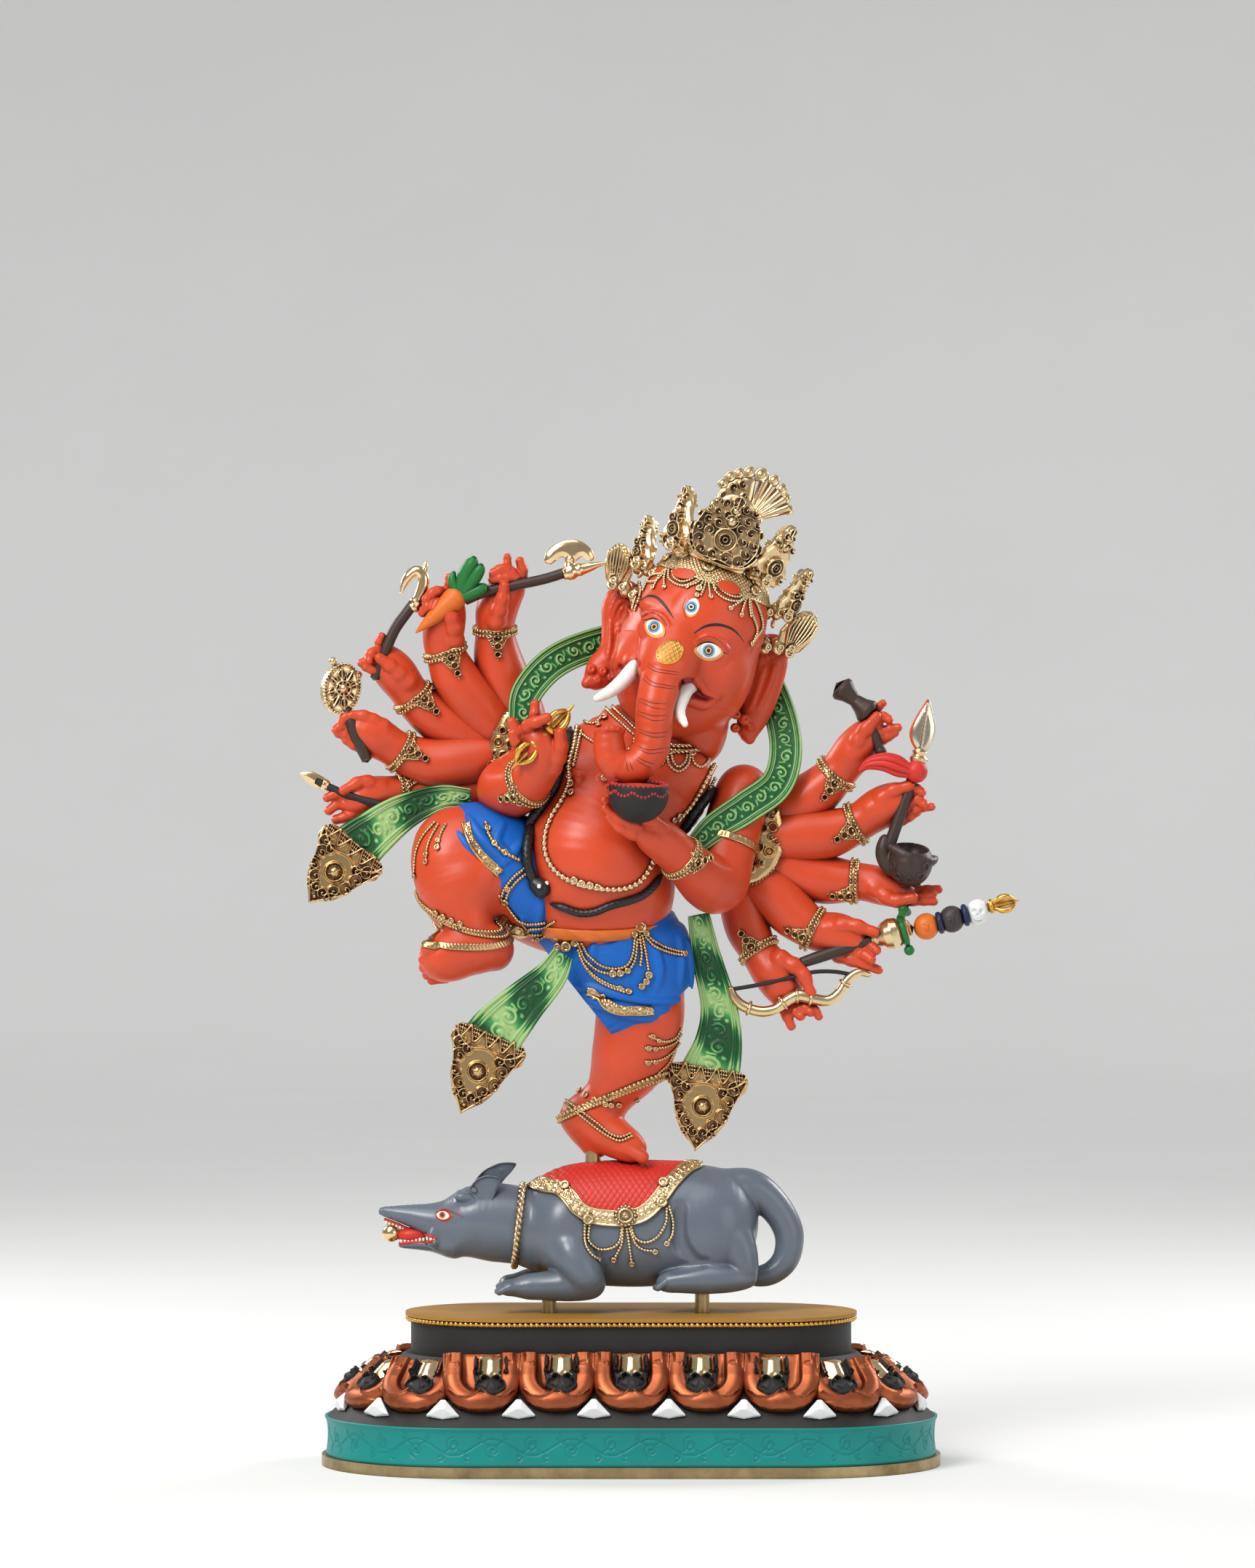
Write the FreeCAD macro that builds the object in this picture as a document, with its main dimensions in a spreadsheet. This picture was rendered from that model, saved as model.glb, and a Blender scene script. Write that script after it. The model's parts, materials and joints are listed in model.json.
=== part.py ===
import FreeCAD, Part
import Sketcher
import math
import os

# Dancing twelve-armed elephant-headed devotional statue on a rat and a lotus base.
#
# Millimetres, +Z up, the figure faces -Y and the viewer's right is +X. The origin is the centre
# of the foot plate's underside. Three groups come apart by lifting: the hollow lotus base, the
# rat on its four leg pegs, and the figure on its foot peg.

Vector = FreeCAD.Vector
UP = Vector(0, 0, 1)
FRONT = Vector(0, -1, 0)
RIGHT = Vector(1, 0, 0)
ROUNDING = 1e-3  # an ellipse's long radius is at least this much over its short one

doc = FreeCAD.newDocument("DancingStatue")
sheet = doc.addObject("Spreadsheet::Sheet", "Sizes")

DRIVING_SIZES = {
    # stadium outlines of the base: half width and end radius (half depth) at each level
    "foot_half_width": 170.0,
    "foot_end_radius": 80.0,
    "foot_height": 6.0,
    "band_half_width": 168.0,
    "band_end_radius": 78.0,
    "band_height": 21.0,
    "lotus_height": 35.0,
    "drum_half_width": 121.0,
    "drum_end_radius": 52.0,
    "drum_height": 20.0,
    "plate_half_width": 124.0,
    "plate_end_radius": 55.0,
    "plate_thickness": 2.0,
    "shell_wall": 3.0,
    "bead_radius": 1.5,
    # lotus petals round the base
    "petal_count": 20.0,
    "petal_width": 34.0,
    "petal_length": 33.0,
    "petal_thickness": 6.0,
    "boss_width": 19.0,
    "boss_length": 22.0,
    "boss_thickness": 3.0,
    "white_petal_width": 13.0,
    "white_petal_length": 13.0,
    "white_petal_thickness": 3.0,
    # pegs and their running clearance
    "rat_peg_radius": 3.8,
    "rat_peg_drop": 9.0,
    "foot_peg_radius": 4.2,
    "foot_peg_drop": 9.0,
    "peg_clearance": 0.35,
    # rat
    "saddle_thickness": 1.6,
    "collar_radius": 1.8,
    "jewel_radius": 5.0,
    # figure
    "sash_thickness": 2.6,
    "cord_radius": 2.3,
    "chain_radius": 1.5,
    "bangle_radius": 1.7,
    "armlet_radius": 12.0,
    "armlet_thickness": 3.0,
    "crown_thickness": 3.5,
    "leaf_thickness": 4.0,
    "shaft_radius": 2.3,
    "skull_cup_radius": 16.0,
    "cup_wall": 2.4,
}
for row, (alias, value) in enumerate(DRIVING_SIZES.items(), start=1):
    sheet.set(f"A{row}", alias)
    sheet.set(f"B{row}", str(value))
    sheet.setAlias(f"B{row}", alias)
doc.recompute()

parts = {}


def size(alias):
    """The value of one driving size."""
    return float(sheet.get(alias))


def keep(name, obj):
    """Registers obj as the sub-part called name."""
    obj.Label = name
    parts[name] = obj
    return obj


def frame(origin, z_axis, x_hint):
    """A placement whose Z axis is z_axis and whose X axis is as near x_hint as it can be."""
    z = Vector(*z_axis).normalize()
    y = z.cross(Vector(*x_hint)).normalize()
    return FreeCAD.Placement(Vector(*origin), FreeCAD.Rotation(y.cross(z), y, z, "ZXY"))


# ---------------------------------------------------------------- document object helpers


def solid(kind, name, placement=None, **sizes):
    """A Part primitive whose properties are bound to sheet expressions, or set to plain numbers."""
    obj = doc.addObject(kind, name)
    for prop, value in sizes.items():
        if isinstance(value, str):
            obj.setExpression(prop, value)
        else:
            setattr(obj, prop, value)
    if placement is not None:
        obj.Placement = placement
    return obj


def sections(name, stations, z_axis=None, x_hint=RIGHT):
    """Ellipses at stations (x, y, z, half width, half depth), square to the path or to z_axis."""
    points = [Vector(*s[:3]) for s in stations]
    deeper = sum(s[3] - s[-1] for s in stations) < 0
    made = []
    for i, s in enumerate(stations):
        before, after = points[max(i - 1, 0)], points[min(i + 1, len(points) - 1)]
        direction = Vector(*z_axis) if z_axis else after - before
        hint = x_hint[i] if isinstance(x_hint, list) else x_hint
        major, minor = (s[-1], s[3]) if deeper else (s[3], s[-1])
        ellipse = doc.addObject("Part::Ellipse", f"{name}_section")
        ellipse.MajorRadius = max(major, minor + ROUNDING)
        ellipse.MinorRadius = minor
        ellipse.Placement = frame(points[i], direction, hint.cross(direction) if deeper else hint)
        made.append(ellipse)
    return made


def loft(name, stations, z_axis=None, x_hint=RIGHT):
    """A smooth closed solid through elliptical sections."""
    obj = doc.addObject("Part::Loft", name)
    obj.Sections = sections(name, stations, z_axis, x_hint)
    obj.Solid = True
    return obj


def ribbon(name, stations):
    """A flat band: stations (x, y, z, half width), its broad face turned to the front."""
    points = [Vector(*s[:3]) for s in stations]
    hints = []
    flat = []
    for i, s in enumerate(stations):
        before, after = points[max(i - 1, 0)], points[min(i + 1, len(points) - 1)]
        hints.append((after - before).cross(FRONT))
        flat.append((*s[:3], s[3], size("sash_thickness") / 2))
    return loft(name, flat, x_hint=hints)


def fuse(name, *shapes):
    """One solid made of several overlapping ones."""
    obj = doc.addObject("Part::MultiFuse", name)
    obj.Shapes = list(shapes)
    return obj


def group(name, members):
    """Several separate solids that share a node."""
    obj = doc.addObject("Part::Compound", name)
    obj.Links = list(members)
    return obj


def trim(obj, *neighbours):
    """obj with each neighbour that it meets cut away, so that they touch and don't overlap."""
    for tool in neighbours:
        doc.recompute([obj, tool])
        if obj.Shape.common(tool.Shape).Volume < 1e-4:
            continue
        cut = doc.addObject("Part::Cut", f"{obj.Name}_trimmed")
        cut.Base = obj
        cut.Tool = tool
        doc.recompute([cut])
        obj = cut
    return obj


def largest(name, obj):
    """The largest solid of obj, without the loose chips that a trim can leave."""
    doc.recompute([obj])
    piece = doc.addObject("Part::Feature", name)
    piece.Shape = max(obj.Shape.Solids, key=lambda s: s.Volume)
    return piece


def trimmed_group(name, members, *neighbours):
    """Separate solids that share a node, each trimmed to its neighbours and left in one piece."""
    return group(name, [largest(f"{name}_solid", trim(member, *neighbours)) for member in members])


# ---------------------------------------------------------------- lotus base


def slot_sketch(body, name, half_width, radius, offset=0.0, inset="0"):
    """A stadium outline on the body's XY plane, its sizes bound to the sheet."""
    sketch = body.newObject("Sketcher::SketchObject", name)
    plane = next(f for f in body.Origin.OriginFeatures if f.Role == "XY_Plane")
    sketch.AttachmentSupport = (plane, "")
    sketch.MapMode = "FlatFace"
    sketch.AttachmentOffset = FreeCAD.Placement(Vector(0, 0, offset), FreeCAD.Rotation())
    reach, r = 60.0, 40.0
    quarter = math.pi / 2
    sketch.addGeometry(Part.LineSegment(Vector(-reach, -r, 0), Vector(reach, -r, 0)))
    sketch.addGeometry(Part.ArcOfCircle(Part.Circle(Vector(reach, 0, 0), UP, r), -quarter, quarter))
    sketch.addGeometry(Part.LineSegment(Vector(reach, r, 0), Vector(-reach, r, 0)))
    sketch.addGeometry(
        Part.ArcOfCircle(Part.Circle(Vector(-reach, 0, 0), UP, r), quarter, 3 * quarter)
    )
    for edge in range(4):
        sketch.addConstraint(Sketcher.Constraint("Tangent", edge, 2, (edge + 1) % 4, 1))
    sketch.addConstraint(Sketcher.Constraint("Horizontal", 0))
    sketch.addConstraint(Sketcher.Constraint("Horizontal", 2))
    sketch.addConstraint(Sketcher.Constraint("Symmetric", 1, 3, 3, 3, -1, 1))
    end = sketch.addConstraint(Sketcher.Constraint("Radius", 1, r))
    sketch.setExpression(f"Constraints[{end}]", f"Sizes.{radius} - {inset}")
    length = sketch.addConstraint(Sketcher.Constraint("DistanceX", 3, 3, 1, 3, 2 * reach))
    sketch.setExpression(f"Constraints[{length}]", f"2 * (Sizes.{half_width} - Sizes.{radius})")
    return sketch


def slot_body(name, half_width, radius, bottom, height, wall=None):
    """A PartDesign body: a stadium pad from z = bottom, hollow if it has a wall."""
    body = doc.addObject("PartDesign::Body", name)
    outline = slot_sketch(body, f"{name}_outline", half_width, radius, bottom)
    pad = body.newObject("PartDesign::Pad", f"{name}_pad")
    pad.Profile = outline
    pad.setExpression("Length", height)
    doc.recompute()
    if wall:
        inner = slot_sketch(body, f"{name}_inner", half_width, radius, bottom, inset=wall)
        pocket = body.newObject("PartDesign::Pocket", f"{name}_pocket")
        pocket.Profile = inner
        pocket.Reversed = True
        pocket.setExpression("Length", height)
        doc.recompute()
    return body


def slot_wire(half_width, radius, z):
    """A stadium wire at height z."""
    reach = half_width - radius
    bottom = Part.LineSegment(Vector(-reach, -radius, z), Vector(reach, -radius, z))
    right = Part.Arc(Vector(reach, -radius, z), Vector(half_width, 0, z), Vector(reach, radius, z))
    top = Part.LineSegment(Vector(reach, radius, z), Vector(-reach, radius, z))
    left = Part.Arc(Vector(-reach, radius, z), Vector(-half_width, 0, z), Vector(-reach, -radius, z))
    return Part.Wire([bottom.toShape(), right.toShape(), top.toShape(), left.toShape()])


def slot_point(reach, radius, distance):
    """The point and outward direction on a stadium outline, distance along it from the front."""
    straight, arc = 2 * reach, math.pi * radius
    along = (distance + reach) % (2 * straight + 2 * arc)
    if along <= straight:
        return Vector(along - reach, -radius, 0), FRONT
    along -= straight
    if along <= arc:
        angle = along / radius - math.pi / 2
        out = Vector(math.cos(angle), math.sin(angle), 0)
        return Vector(reach, 0, 0) + out * radius, out
    along -= arc
    if along <= straight:
        return Vector(reach - along, radius, 0), FRONT * -1
    angle = (along - straight) / radius + math.pi / 2
    out = Vector(math.cos(angle), math.sin(angle), 0)
    return Vector(-reach, 0, 0) + out * radius, out


FOOT_TOP = size("foot_height")
BAND_TOP = FOOT_TOP + size("band_height")
LOTUS_TOP = BAND_TOP + size("lotus_height")
DRUM_TOP = LOTUS_TOP + size("drum_height")
PLATE_TOP = DRUM_TOP + size("plate_thickness")
BAND_INSET = 1.0  # the lotus shell's foot stands this far inside the band's edge
DRUM_OUTSET = 3.0  # and its top this far outside the drum


def lotus_shell():
    """The sloping shell that carries the petals, from the band's top to the drum's foot."""
    wall = size("shell_wall")
    low = (size("band_half_width") - BAND_INSET, size("band_end_radius") - BAND_INSET)
    high = (size("drum_half_width") + DRUM_OUTSET, size("drum_end_radius") + DRUM_OUTSET)
    outer = Part.makeLoft([slot_wire(*low, BAND_TOP), slot_wire(*high, LOTUS_TOP)], True, True)
    inner_low = slot_wire(*(edge - 2 * wall for edge in low), BAND_TOP)
    inner_high = slot_wire(*(edge - 2 * wall for edge in high), LOTUS_TOP)
    shell = doc.addObject("Part::Feature", "lotus_shell")
    shell.Shape = outer.cut(Part.makeLoft([inner_low, inner_high], True, True))
    return shell


def petal_solid(width, length, thickness, tip_sharpness):
    """A petal lying on the XY plane, its tip at the origin and its root at +Y."""
    half, shoulder = width / 2, length * tip_sharpness
    waist = half * 0.72
    outline = [
        Part.Arc(Vector(0, 0, 0), Vector(half * 0.72, shoulder * 0.28, 0), Vector(half, shoulder, 0)),
        Part.LineSegment(Vector(half, shoulder, 0), Vector(waist, length, 0)),
        Part.LineSegment(Vector(waist, length, 0), Vector(-waist, length, 0)),
        Part.LineSegment(Vector(-waist, length, 0), Vector(-half, shoulder, 0)),
        Part.Arc(Vector(-half, shoulder, 0), Vector(-half * 0.72, shoulder * 0.28, 0), Vector(0, 0, 0)),
    ]
    face = Part.Face(Part.Wire([edge.toShape() for edge in outline]))
    return face.extrude(Vector(0, 0, thickness))


def petals_on_slope(name, blank, start, up_slope, lift):
    """Copies of blank laid round the shell's slope, each at up_slope from its foot.

    start shifts the ring by a share of the pitch. Each copy lies on the plane that touches the
    shell there, raised by lift.
    """
    low_reach = size("band_half_width") - size("band_end_radius")
    low_radius = size("band_end_radius") - BAND_INSET
    high_reach = size("drum_half_width") - size("drum_end_radius")
    high_radius = size("drum_end_radius") + DRUM_OUTSET
    reach, radius = (low_reach + high_reach) / 2, (low_radius + high_radius) / 2
    count = round(size("petal_count"))
    pitch = (4 * reach + 2 * math.pi * radius) / count
    made = []
    for i in range(count):
        middle, out = slot_point(reach, radius, (i + start) * pitch)
        spine = middle - out * radius
        low = Vector(spine.x * low_reach / reach, 0, BAND_TOP) + out * low_radius
        high = Vector(spine.x * high_reach / reach, 0, LOTUS_TOP) + out * high_radius
        along = UP.cross(out)
        normal = along.cross(high - low).normalize()
        up = normal.cross(along)
        foot = low + (high - low).normalize() * up_slope
        copy = blank.copy()
        turn = FreeCAD.Rotation(along, up, normal, "ZYX")
        copy.Placement = FreeCAD.Placement(foot + normal * lift, turn)
        made.append(copy)
    piece = doc.addObject("Part::Feature", name)
    piece.Shape = Part.makeCompound(made)
    return piece


def lotus_base():
    """Foot plate, enamelled band, petal shell with its three rings of petals, drum and top."""
    keep(
        "foot_plate", slot_body("foot_plate", "foot_half_width", "foot_end_radius", 0, "Sizes.foot_height")
    )
    band = slot_body(
        "base_band", "band_half_width", "band_end_radius", FOOT_TOP, "Sizes.band_height", "Sizes.shell_wall"
    )
    keep("base_band", band)
    keep("lotus_shell", lotus_shell())
    gap = 0.02  # keeps the flat petal backs just off the slope
    copper = petal_solid(size("petal_width"), size("petal_length"), size("petal_thickness"), 0.42)
    keep("petals_copper", petals_on_slope("petals_copper", copper, 0.0, 5.0, gap))
    boss = petal_solid(size("boss_width"), size("boss_length"), size("boss_thickness"), 0.3)
    boss_lift = 2 * gap + size("petal_thickness")
    keep("petal_bosses", petals_on_slope("petal_bosses", boss, 0.0, 15.0, boss_lift))
    white = petal_solid(
        size("white_petal_width"), size("white_petal_length"), size("white_petal_thickness"), 0.6
    )
    white_raw = petals_on_slope("petals_white", white, 0.5, 1.0, gap)
    keep("petals_white", trim(white_raw, parts["petals_copper"]))
    drum = slot_body(
        "throne_drum", "drum_half_width", "drum_end_radius", LOTUS_TOP, "Sizes.drum_height", "Sizes.shell_wall"
    )
    keep("throne_drum", drum)


# ---------------------------------------------------------------- rat

RAT_PEGS = ((-45, -14), (-45, 14), (39, -15), (39, 15))
RAT_BODY = (
    (-66, 0, 129, 17, 15),
    (-50, 0, 128, 24, 20),
    (-34, 0, 129, 31, 24),
    (-10, 0, 130, 32, 25),
    (15, 0, 130, 33, 26),
    (38, 0, 132, 33, 26),
    (54, 0, 134, 26, 22),
    (64, 0, 135, 13, 12),
)
PEG_CENTRE = (-21, 0)


def rat_shell(name, grow, station_from, station_to):
    """The rat's back made larger by grow, for what is worn on it."""
    return loft(
        name,
        [(*s[:3], s[3] + grow, s[4] + grow) for s in RAT_BODY[station_from:station_to]],
        z_axis=(1, 0, 0),
        x_hint=UP,
    )


def shared(name, first, second):
    """What two objects have in common."""
    both = doc.addObject("Part::Common", name)
    both.Base = first
    both.Tool = second
    return both


def saddle_outline(name, half_length, drop):
    """An elliptical bar across the rat, which cuts the saddle's curved lower edge."""
    ellipse = doc.addObject("Part::Ellipse", f"{name}_ellipse")
    ellipse.MajorRadius = half_length
    ellipse.MinorRadius = drop
    ellipse.Placement = frame((-7, 60, 171), (0, -1, 0), RIGHT)
    bar = doc.addObject("Part::Extrusion", name)
    bar.Base = ellipse
    bar.DirMode = "Custom"
    bar.Dir = FRONT
    bar.LengthFwd = 120.0
    bar.Solid = True
    return bar


def rat_legs(body):
    """Two folded forelegs and two haunches with their feet, trimmed to the body."""
    legs = []
    for side in (-1, 1):
        fore = loft(
            "foreleg",
            [
                (-34, side * 22, 124, 9, 5),
                (-26, side * 22, 112, 9, 6),
                (-24, side * 20, 102, 7, 7),
            ],
        )
        paw = loft(
            "forepaw",
            [
                (-20, side * 20, 99.5, 5, 5),
                (-34, side * 19, 99.5, 6, 6),
                (-50, side * 17, 99, 5.4, 6),
                (-72, side * 15, 97.5, 3.2, 5),
            ],
            x_hint=UP,
        )
        haunch = solid(
            "Part::Ellipsoid",
            "haunch",
            frame((43, side * 17, 124), (1, 0, 0), (0, 1, 0)),
            Radius1=22.0,
            Radius2=12.0,
            Radius3=26.0,
        )
        foot = loft(
            "hind_foot",
            [
                (65, side * 18, 103, 4, 5),
                (50, side * 19, 103.5, 6.5, 7),
                (32, side * 20, 102, 5.8, 7),
                (14, side * 20, 100.5, 3.6, 6),
            ],
            x_hint=UP,
        )
        legs.append(largest("foreleg_solid", trim(fuse("foreleg_whole", fore, paw), body)))
        legs.append(largest("hindleg_solid", trim(fuse("hindleg_whole", haunch, foot), body)))
    return group("rat_legs", legs)


def rat():
    """The rat with its tack, standing on four pegs in the top plate's sockets."""
    body_raw = loft("rat_trunk", RAT_BODY, z_axis=(1, 0, 0), x_hint=UP)
    socket = solid(
        "Part::Cylinder",
        "figure_socket",
        FreeCAD.Placement(Vector(*PEG_CENTRE, 200), FreeCAD.Rotation(UP, 0)),
        Radius="Sizes.foot_peg_radius + Sizes.peg_clearance",
        Height=60.0,
    )
    saddle_top = 129 + 31 + size("saddle_thickness")
    socket_floor = saddle_top - size("foot_peg_drop") - 1
    socket.Placement.Base.z = socket_floor
    body = keep("rat_body", trim(body_raw, socket))

    head = loft(
        "rat_skull",
        [
            (-66.05, 0, 129, 17, 15),
            (-80, 0, 136, 20, 17),
            (-95, 0, 137, 16, 14),
            (-108, 0, 136, 10, 10),
            (-124, 0, 137, 6, 7),
            (-138, 0, 140, 1.6, 2.5),
        ],
        z_axis=(-1, 0, 0),
        x_hint=UP,
    )
    jaw = loft(
        "rat_jaw",
        [(-96, 0, 123, 5, 8), (-110, 0, 120.5, 2.8, 7), (-127, 0, 120, 1.4, 4)],
        z_axis=(-1, 0, 0),
        x_hint=UP,
    )
    keep("rat_head", trim(fuse("rat_head_whole", head, jaw), body_raw))

    jewel = solid(
        "Part::Sphere",
        "mouth_jewel",
        FreeCAD.Placement(Vector(-132, 0, 126.5), FreeCAD.Rotation()),
        Radius="Sizes.jewel_radius",
    )
    keep("mouth_jewel", trim(jewel, parts["rat_head"]))

    ears = []
    for side in (-1, 1):
        ear = loft(
            "rat_ear",
            [
                (-84, side * 11, 149, 5, 2.2),
                (-77, side * 13, 156, 6.5, 2.2),
                (-66, side * 13, 162, 1.5, 1.0),
            ],
            x_hint=Vector(0.7, 0, -1),
        )
        ears.append(ear)
    keep("rat_ears", trimmed_group("rat_ears", ears, parts["rat_head"]))

    legs = rat_legs(body_raw)
    tail = loft(
        "rat_tail_bar",
        [
            (55, 0, 152, 8, 8),
            (70, 0, 149, 6.5, 6.5),
            (82, 0, 138, 5.6, 5.6),
            (86.5, 0, 124, 5, 5),
            (82, 0, 110, 4.2, 4.2),
            (70, 0, 104, 3, 3),
            (62, 0, 103, 2, 2),
        ],
    )
    legs_raw = legs
    keep("rat_tail", largest("rat_tail", trim(tail, body_raw, legs_raw)))

    peg_tops = 101.0
    pegs = []
    for x, y in RAT_PEGS:
        peg = solid(
            "Part::Cylinder",
            "rat_peg",
            FreeCAD.Placement(Vector(x, y, PLATE_TOP - size("rat_peg_drop")), FreeCAD.Rotation()),
            Radius="Sizes.rat_peg_radius",
            Height=peg_tops - PLATE_TOP + size("rat_peg_drop"),
        )
        pegs.append(peg)
    keep("rat_pegs", group("rat_pegs", pegs))
    keep("rat_legs", trim(legs_raw, parts["rat_pegs"]))
    keep("rat_body", trim(body, parts["rat_pegs"]))

    grow = size("saddle_thickness")
    blanket = trim(rat_shell("saddle_blank", grow, 1, 6), body_raw, socket)
    middle = frame((-7, 0, 171), (0, 1, 0), (1, 0, 0))
    keep("saddle_cloth", shared("saddle_cloth", blanket, saddle_outline("saddle_outline", 36, 29)))
    ring = doc.addObject("Part::Cut", "border_outline")
    ring.Base = saddle_outline("border_outside", 43, 36)
    ring.Tool = saddle_outline("border_inside", 36, 29)
    keep("saddle_border", shared("saddle_border", blanket, ring))

    collar = solid(
        "Part::Torus",
        "rat_collar_ring",
        frame((-62, 0, 128), (1, 0, 0.1), (0, 1, 0)),
        Radius1=21.0,
        Radius2="Sizes.collar_radius",
    )
    keep("rat_collar", trim(collar, body_raw, parts["rat_head"]))


def top_plate():
    """The plate that closes the drum, with a running socket for each of the rat's pegs."""
    body = slot_body("top_plate", "plate_half_width", "plate_end_radius", DRUM_TOP, "Sizes.plate_thickness")
    plane = next(f for f in body.Origin.OriginFeatures if f.Role == "XY_Plane")
    holes = body.newObject("Sketcher::SketchObject", "peg_sockets")
    holes.AttachmentSupport = (plane, "")
    holes.MapMode = "FlatFace"
    for i, (x, y) in enumerate(RAT_PEGS):
        holes.addGeometry(Part.Circle(Vector(x, y, 0), UP, 4.0))
        holes.addConstraint(Sketcher.Constraint("Radius", i, 4.0))
        holes.setExpression(f"Constraints[{i}]", "Sizes.rat_peg_radius + Sizes.peg_clearance")
    pocket = body.newObject("PartDesign::Pocket", "peg_pocket")
    pocket.Profile = holes
    pocket.Reversed = True
    pocket.Length = PLATE_TOP + 1
    doc.recompute()
    keep("top_plate", body)

    radius = size("drum_end_radius") + size("bead_radius")
    spine = slot_wire(size("drum_half_width") + size("bead_radius"), radius, DRUM_TOP - size("bead_radius"))
    start = Vector(0, -radius, DRUM_TOP - size("bead_radius"))
    bead = Part.Wire([Part.Circle(start, RIGHT, size("bead_radius")).toShape()])
    rim = doc.addObject("Part::Feature", "bead_rim")
    rim.Shape = spine.makePipeShell([bead], True, True)
    keep("bead_rim", rim)


# ---------------------------------------------------------------- figure: body and head

HEAD_TILT = math.radians(21)
HEAD_UP = Vector(math.sin(HEAD_TILT), 0, math.cos(HEAD_TILT))
HEAD_SIDE = Vector(math.cos(HEAD_TILT), 0, -math.sin(HEAD_TILT))
HEAD_CENTRE = Vector(32, -8, 448)
TORSO = (
    (-12, 0, 290, 33, 28),
    (-17, -4, 308, 41, 36),
    (-20, -8, 334, 42, 40),
    (-10, -3, 360, 40, 32),
    (4, 0, 380, 42, 26),
    (12, 2, 394, 34, 21),
    (20, 0, 404, 19, 17),
    (22, -2, 414, 16, 15.5),
)


def on_head(side, front, up):
    """A point given in the tilted head's own directions, from the head's centre."""
    return HEAD_CENTRE + HEAD_SIDE * side + FRONT * front + HEAD_UP * up


def on_torso(x, z, proud=0.0):
    """The point of the torso's front at (x, z), moved out by proud."""
    low = max(i for i in range(len(TORSO) - 1) if i == 0 or TORSO[i][2] <= z)
    a, b = TORSO[low], TORSO[low + 1]
    t = (z - a[2]) / (b[2] - a[2])
    cx, cy, _, rx, ry = (a[k] + (b[k] - a[k]) * t for k in range(5))
    across = max(-0.98, min(0.98, (x - cx) / rx))
    return Vector(x, cy - ry * math.sqrt(1 - across * across) - proud, z)


def tube(name, points, radius):
    """A round bar along points."""
    return loft(name, [(*p, radius, radius) for p in points], x_hint=Vector(0.2, 1, 0.1))


def head_loft(name, rings):
    """A loft along the head's axis: rings (up, half width, half depth)."""
    stations = [(*on_head(0, 0, up), wide, deep) for up, wide, deep in rings]
    return loft(name, stations, z_axis=tuple(HEAD_UP), x_hint=HEAD_SIDE)


def torso_and_head():
    """Torso, head, trunk, tusks and ears."""
    torso = keep("torso", loft("torso", TORSO, z_axis=(0, 0, 1)))
    rings = (
        (-40, 17, 16),
        (-28, 31, 29),
        (-12, 38.5, 36),
        (8, 37, 38),
        (27, 34, 35),
        (41, 23, 25),
        (49, 9, 10),
    )
    head = keep("head", trim(head_loft("head", rings), torso))
    trunk = loft(
        "trunk",
        [
            (22, -36, 446, 13, 13),
            (17, -50, 432, 11.5, 11.5),
            (13, -56, 416, 10, 10),
            (11.5, -57, 400, 9.5, 9.5),
            (8, -57.5, 388, 9.3, 9.3),
            (-2, -58, 380.5, 9, 9),
            (-11, -58, 387, 8.6, 8.6),
            (-12, -58, 400, 8.4, 8.4),
        ],
        x_hint=Vector(0, 1, 0),
    )
    trunk = keep("trunk", largest("trunk_solid", trim(trunk, head)))
    tusk_paths = (
        (
            (4, -36, 438, 4.2, 4.2),
            (-3, -46, 431, 3.8, 3.8),
            (-12, -52, 423, 3, 3),
            (-20, -55, 419.5, 1.2, 1.2),
        ),
        (
            (33, -36, 427, 4.2, 4.2),
            (28, -46, 421, 3.8, 3.8),
            (26, -53, 413, 3, 3),
            (30, -56, 405, 1.2, 1.2),
        ),
    )
    tusks = [loft("tusk", path, x_hint=Vector(0, 1, 0)) for path in tusk_paths]
    keep("tusks", trimmed_group("tusks", tusks, head, trunk))
    ear_paths = (
        (
            (-1, 8, 481, 6, 3),
            (-7, 6, 466, 8, 3),
            (-8, 4, 448, 7, 3),
            (-16, 2, 434, 8, 3),
            (-21, 1, 429, 4, 2),
        ),
        (
            (74, 8, 458, 7, 3),
            (76, 6, 444, 9, 3),
            (70, 4, 426, 8, 3),
            (63, 2, 408, 8, 3),
            (65, 1, 398, 4, 2),
        ),
    )
    keep("ears", trimmed_group("ears", [loft("ear", path) for path in ear_paths], head))


def leaf_solid(width, height):
    """A pointed crown leaf standing on the XZ plane with its foot at the origin."""
    half = width / 2
    side = Vector(half, 0, height * 0.45)
    bulge = Vector(half * 0.9, 0, height * 0.15)
    brow = Vector(half * 0.62, 0, height * 0.78)
    foot, tip = Vector(half * 0.6, 0, 0), Vector(0, 0, height)
    left_foot, left_bulge, left_side, left_brow = (Vector(-p.x, 0, p.z) for p in (foot, bulge, side, brow))
    edges = [
        Part.Arc(foot, bulge, side),
        Part.Arc(side, brow, tip),
        Part.Arc(tip, left_brow, left_side),
        Part.Arc(left_side, left_bulge, left_foot),
        Part.LineSegment(left_foot, foot),
    ]
    face = Part.Face(Part.Wire([edge.toShape() for edge in edges]))
    return face.extrude(Vector(0, size("leaf_thickness"), 0))


CROWN_RINGS = ((20, 38.5, 39.5), (32, 37.5, 38), (46, 35, 35))
CROWN_TOP = CROWN_RINGS[-1][0]
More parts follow.
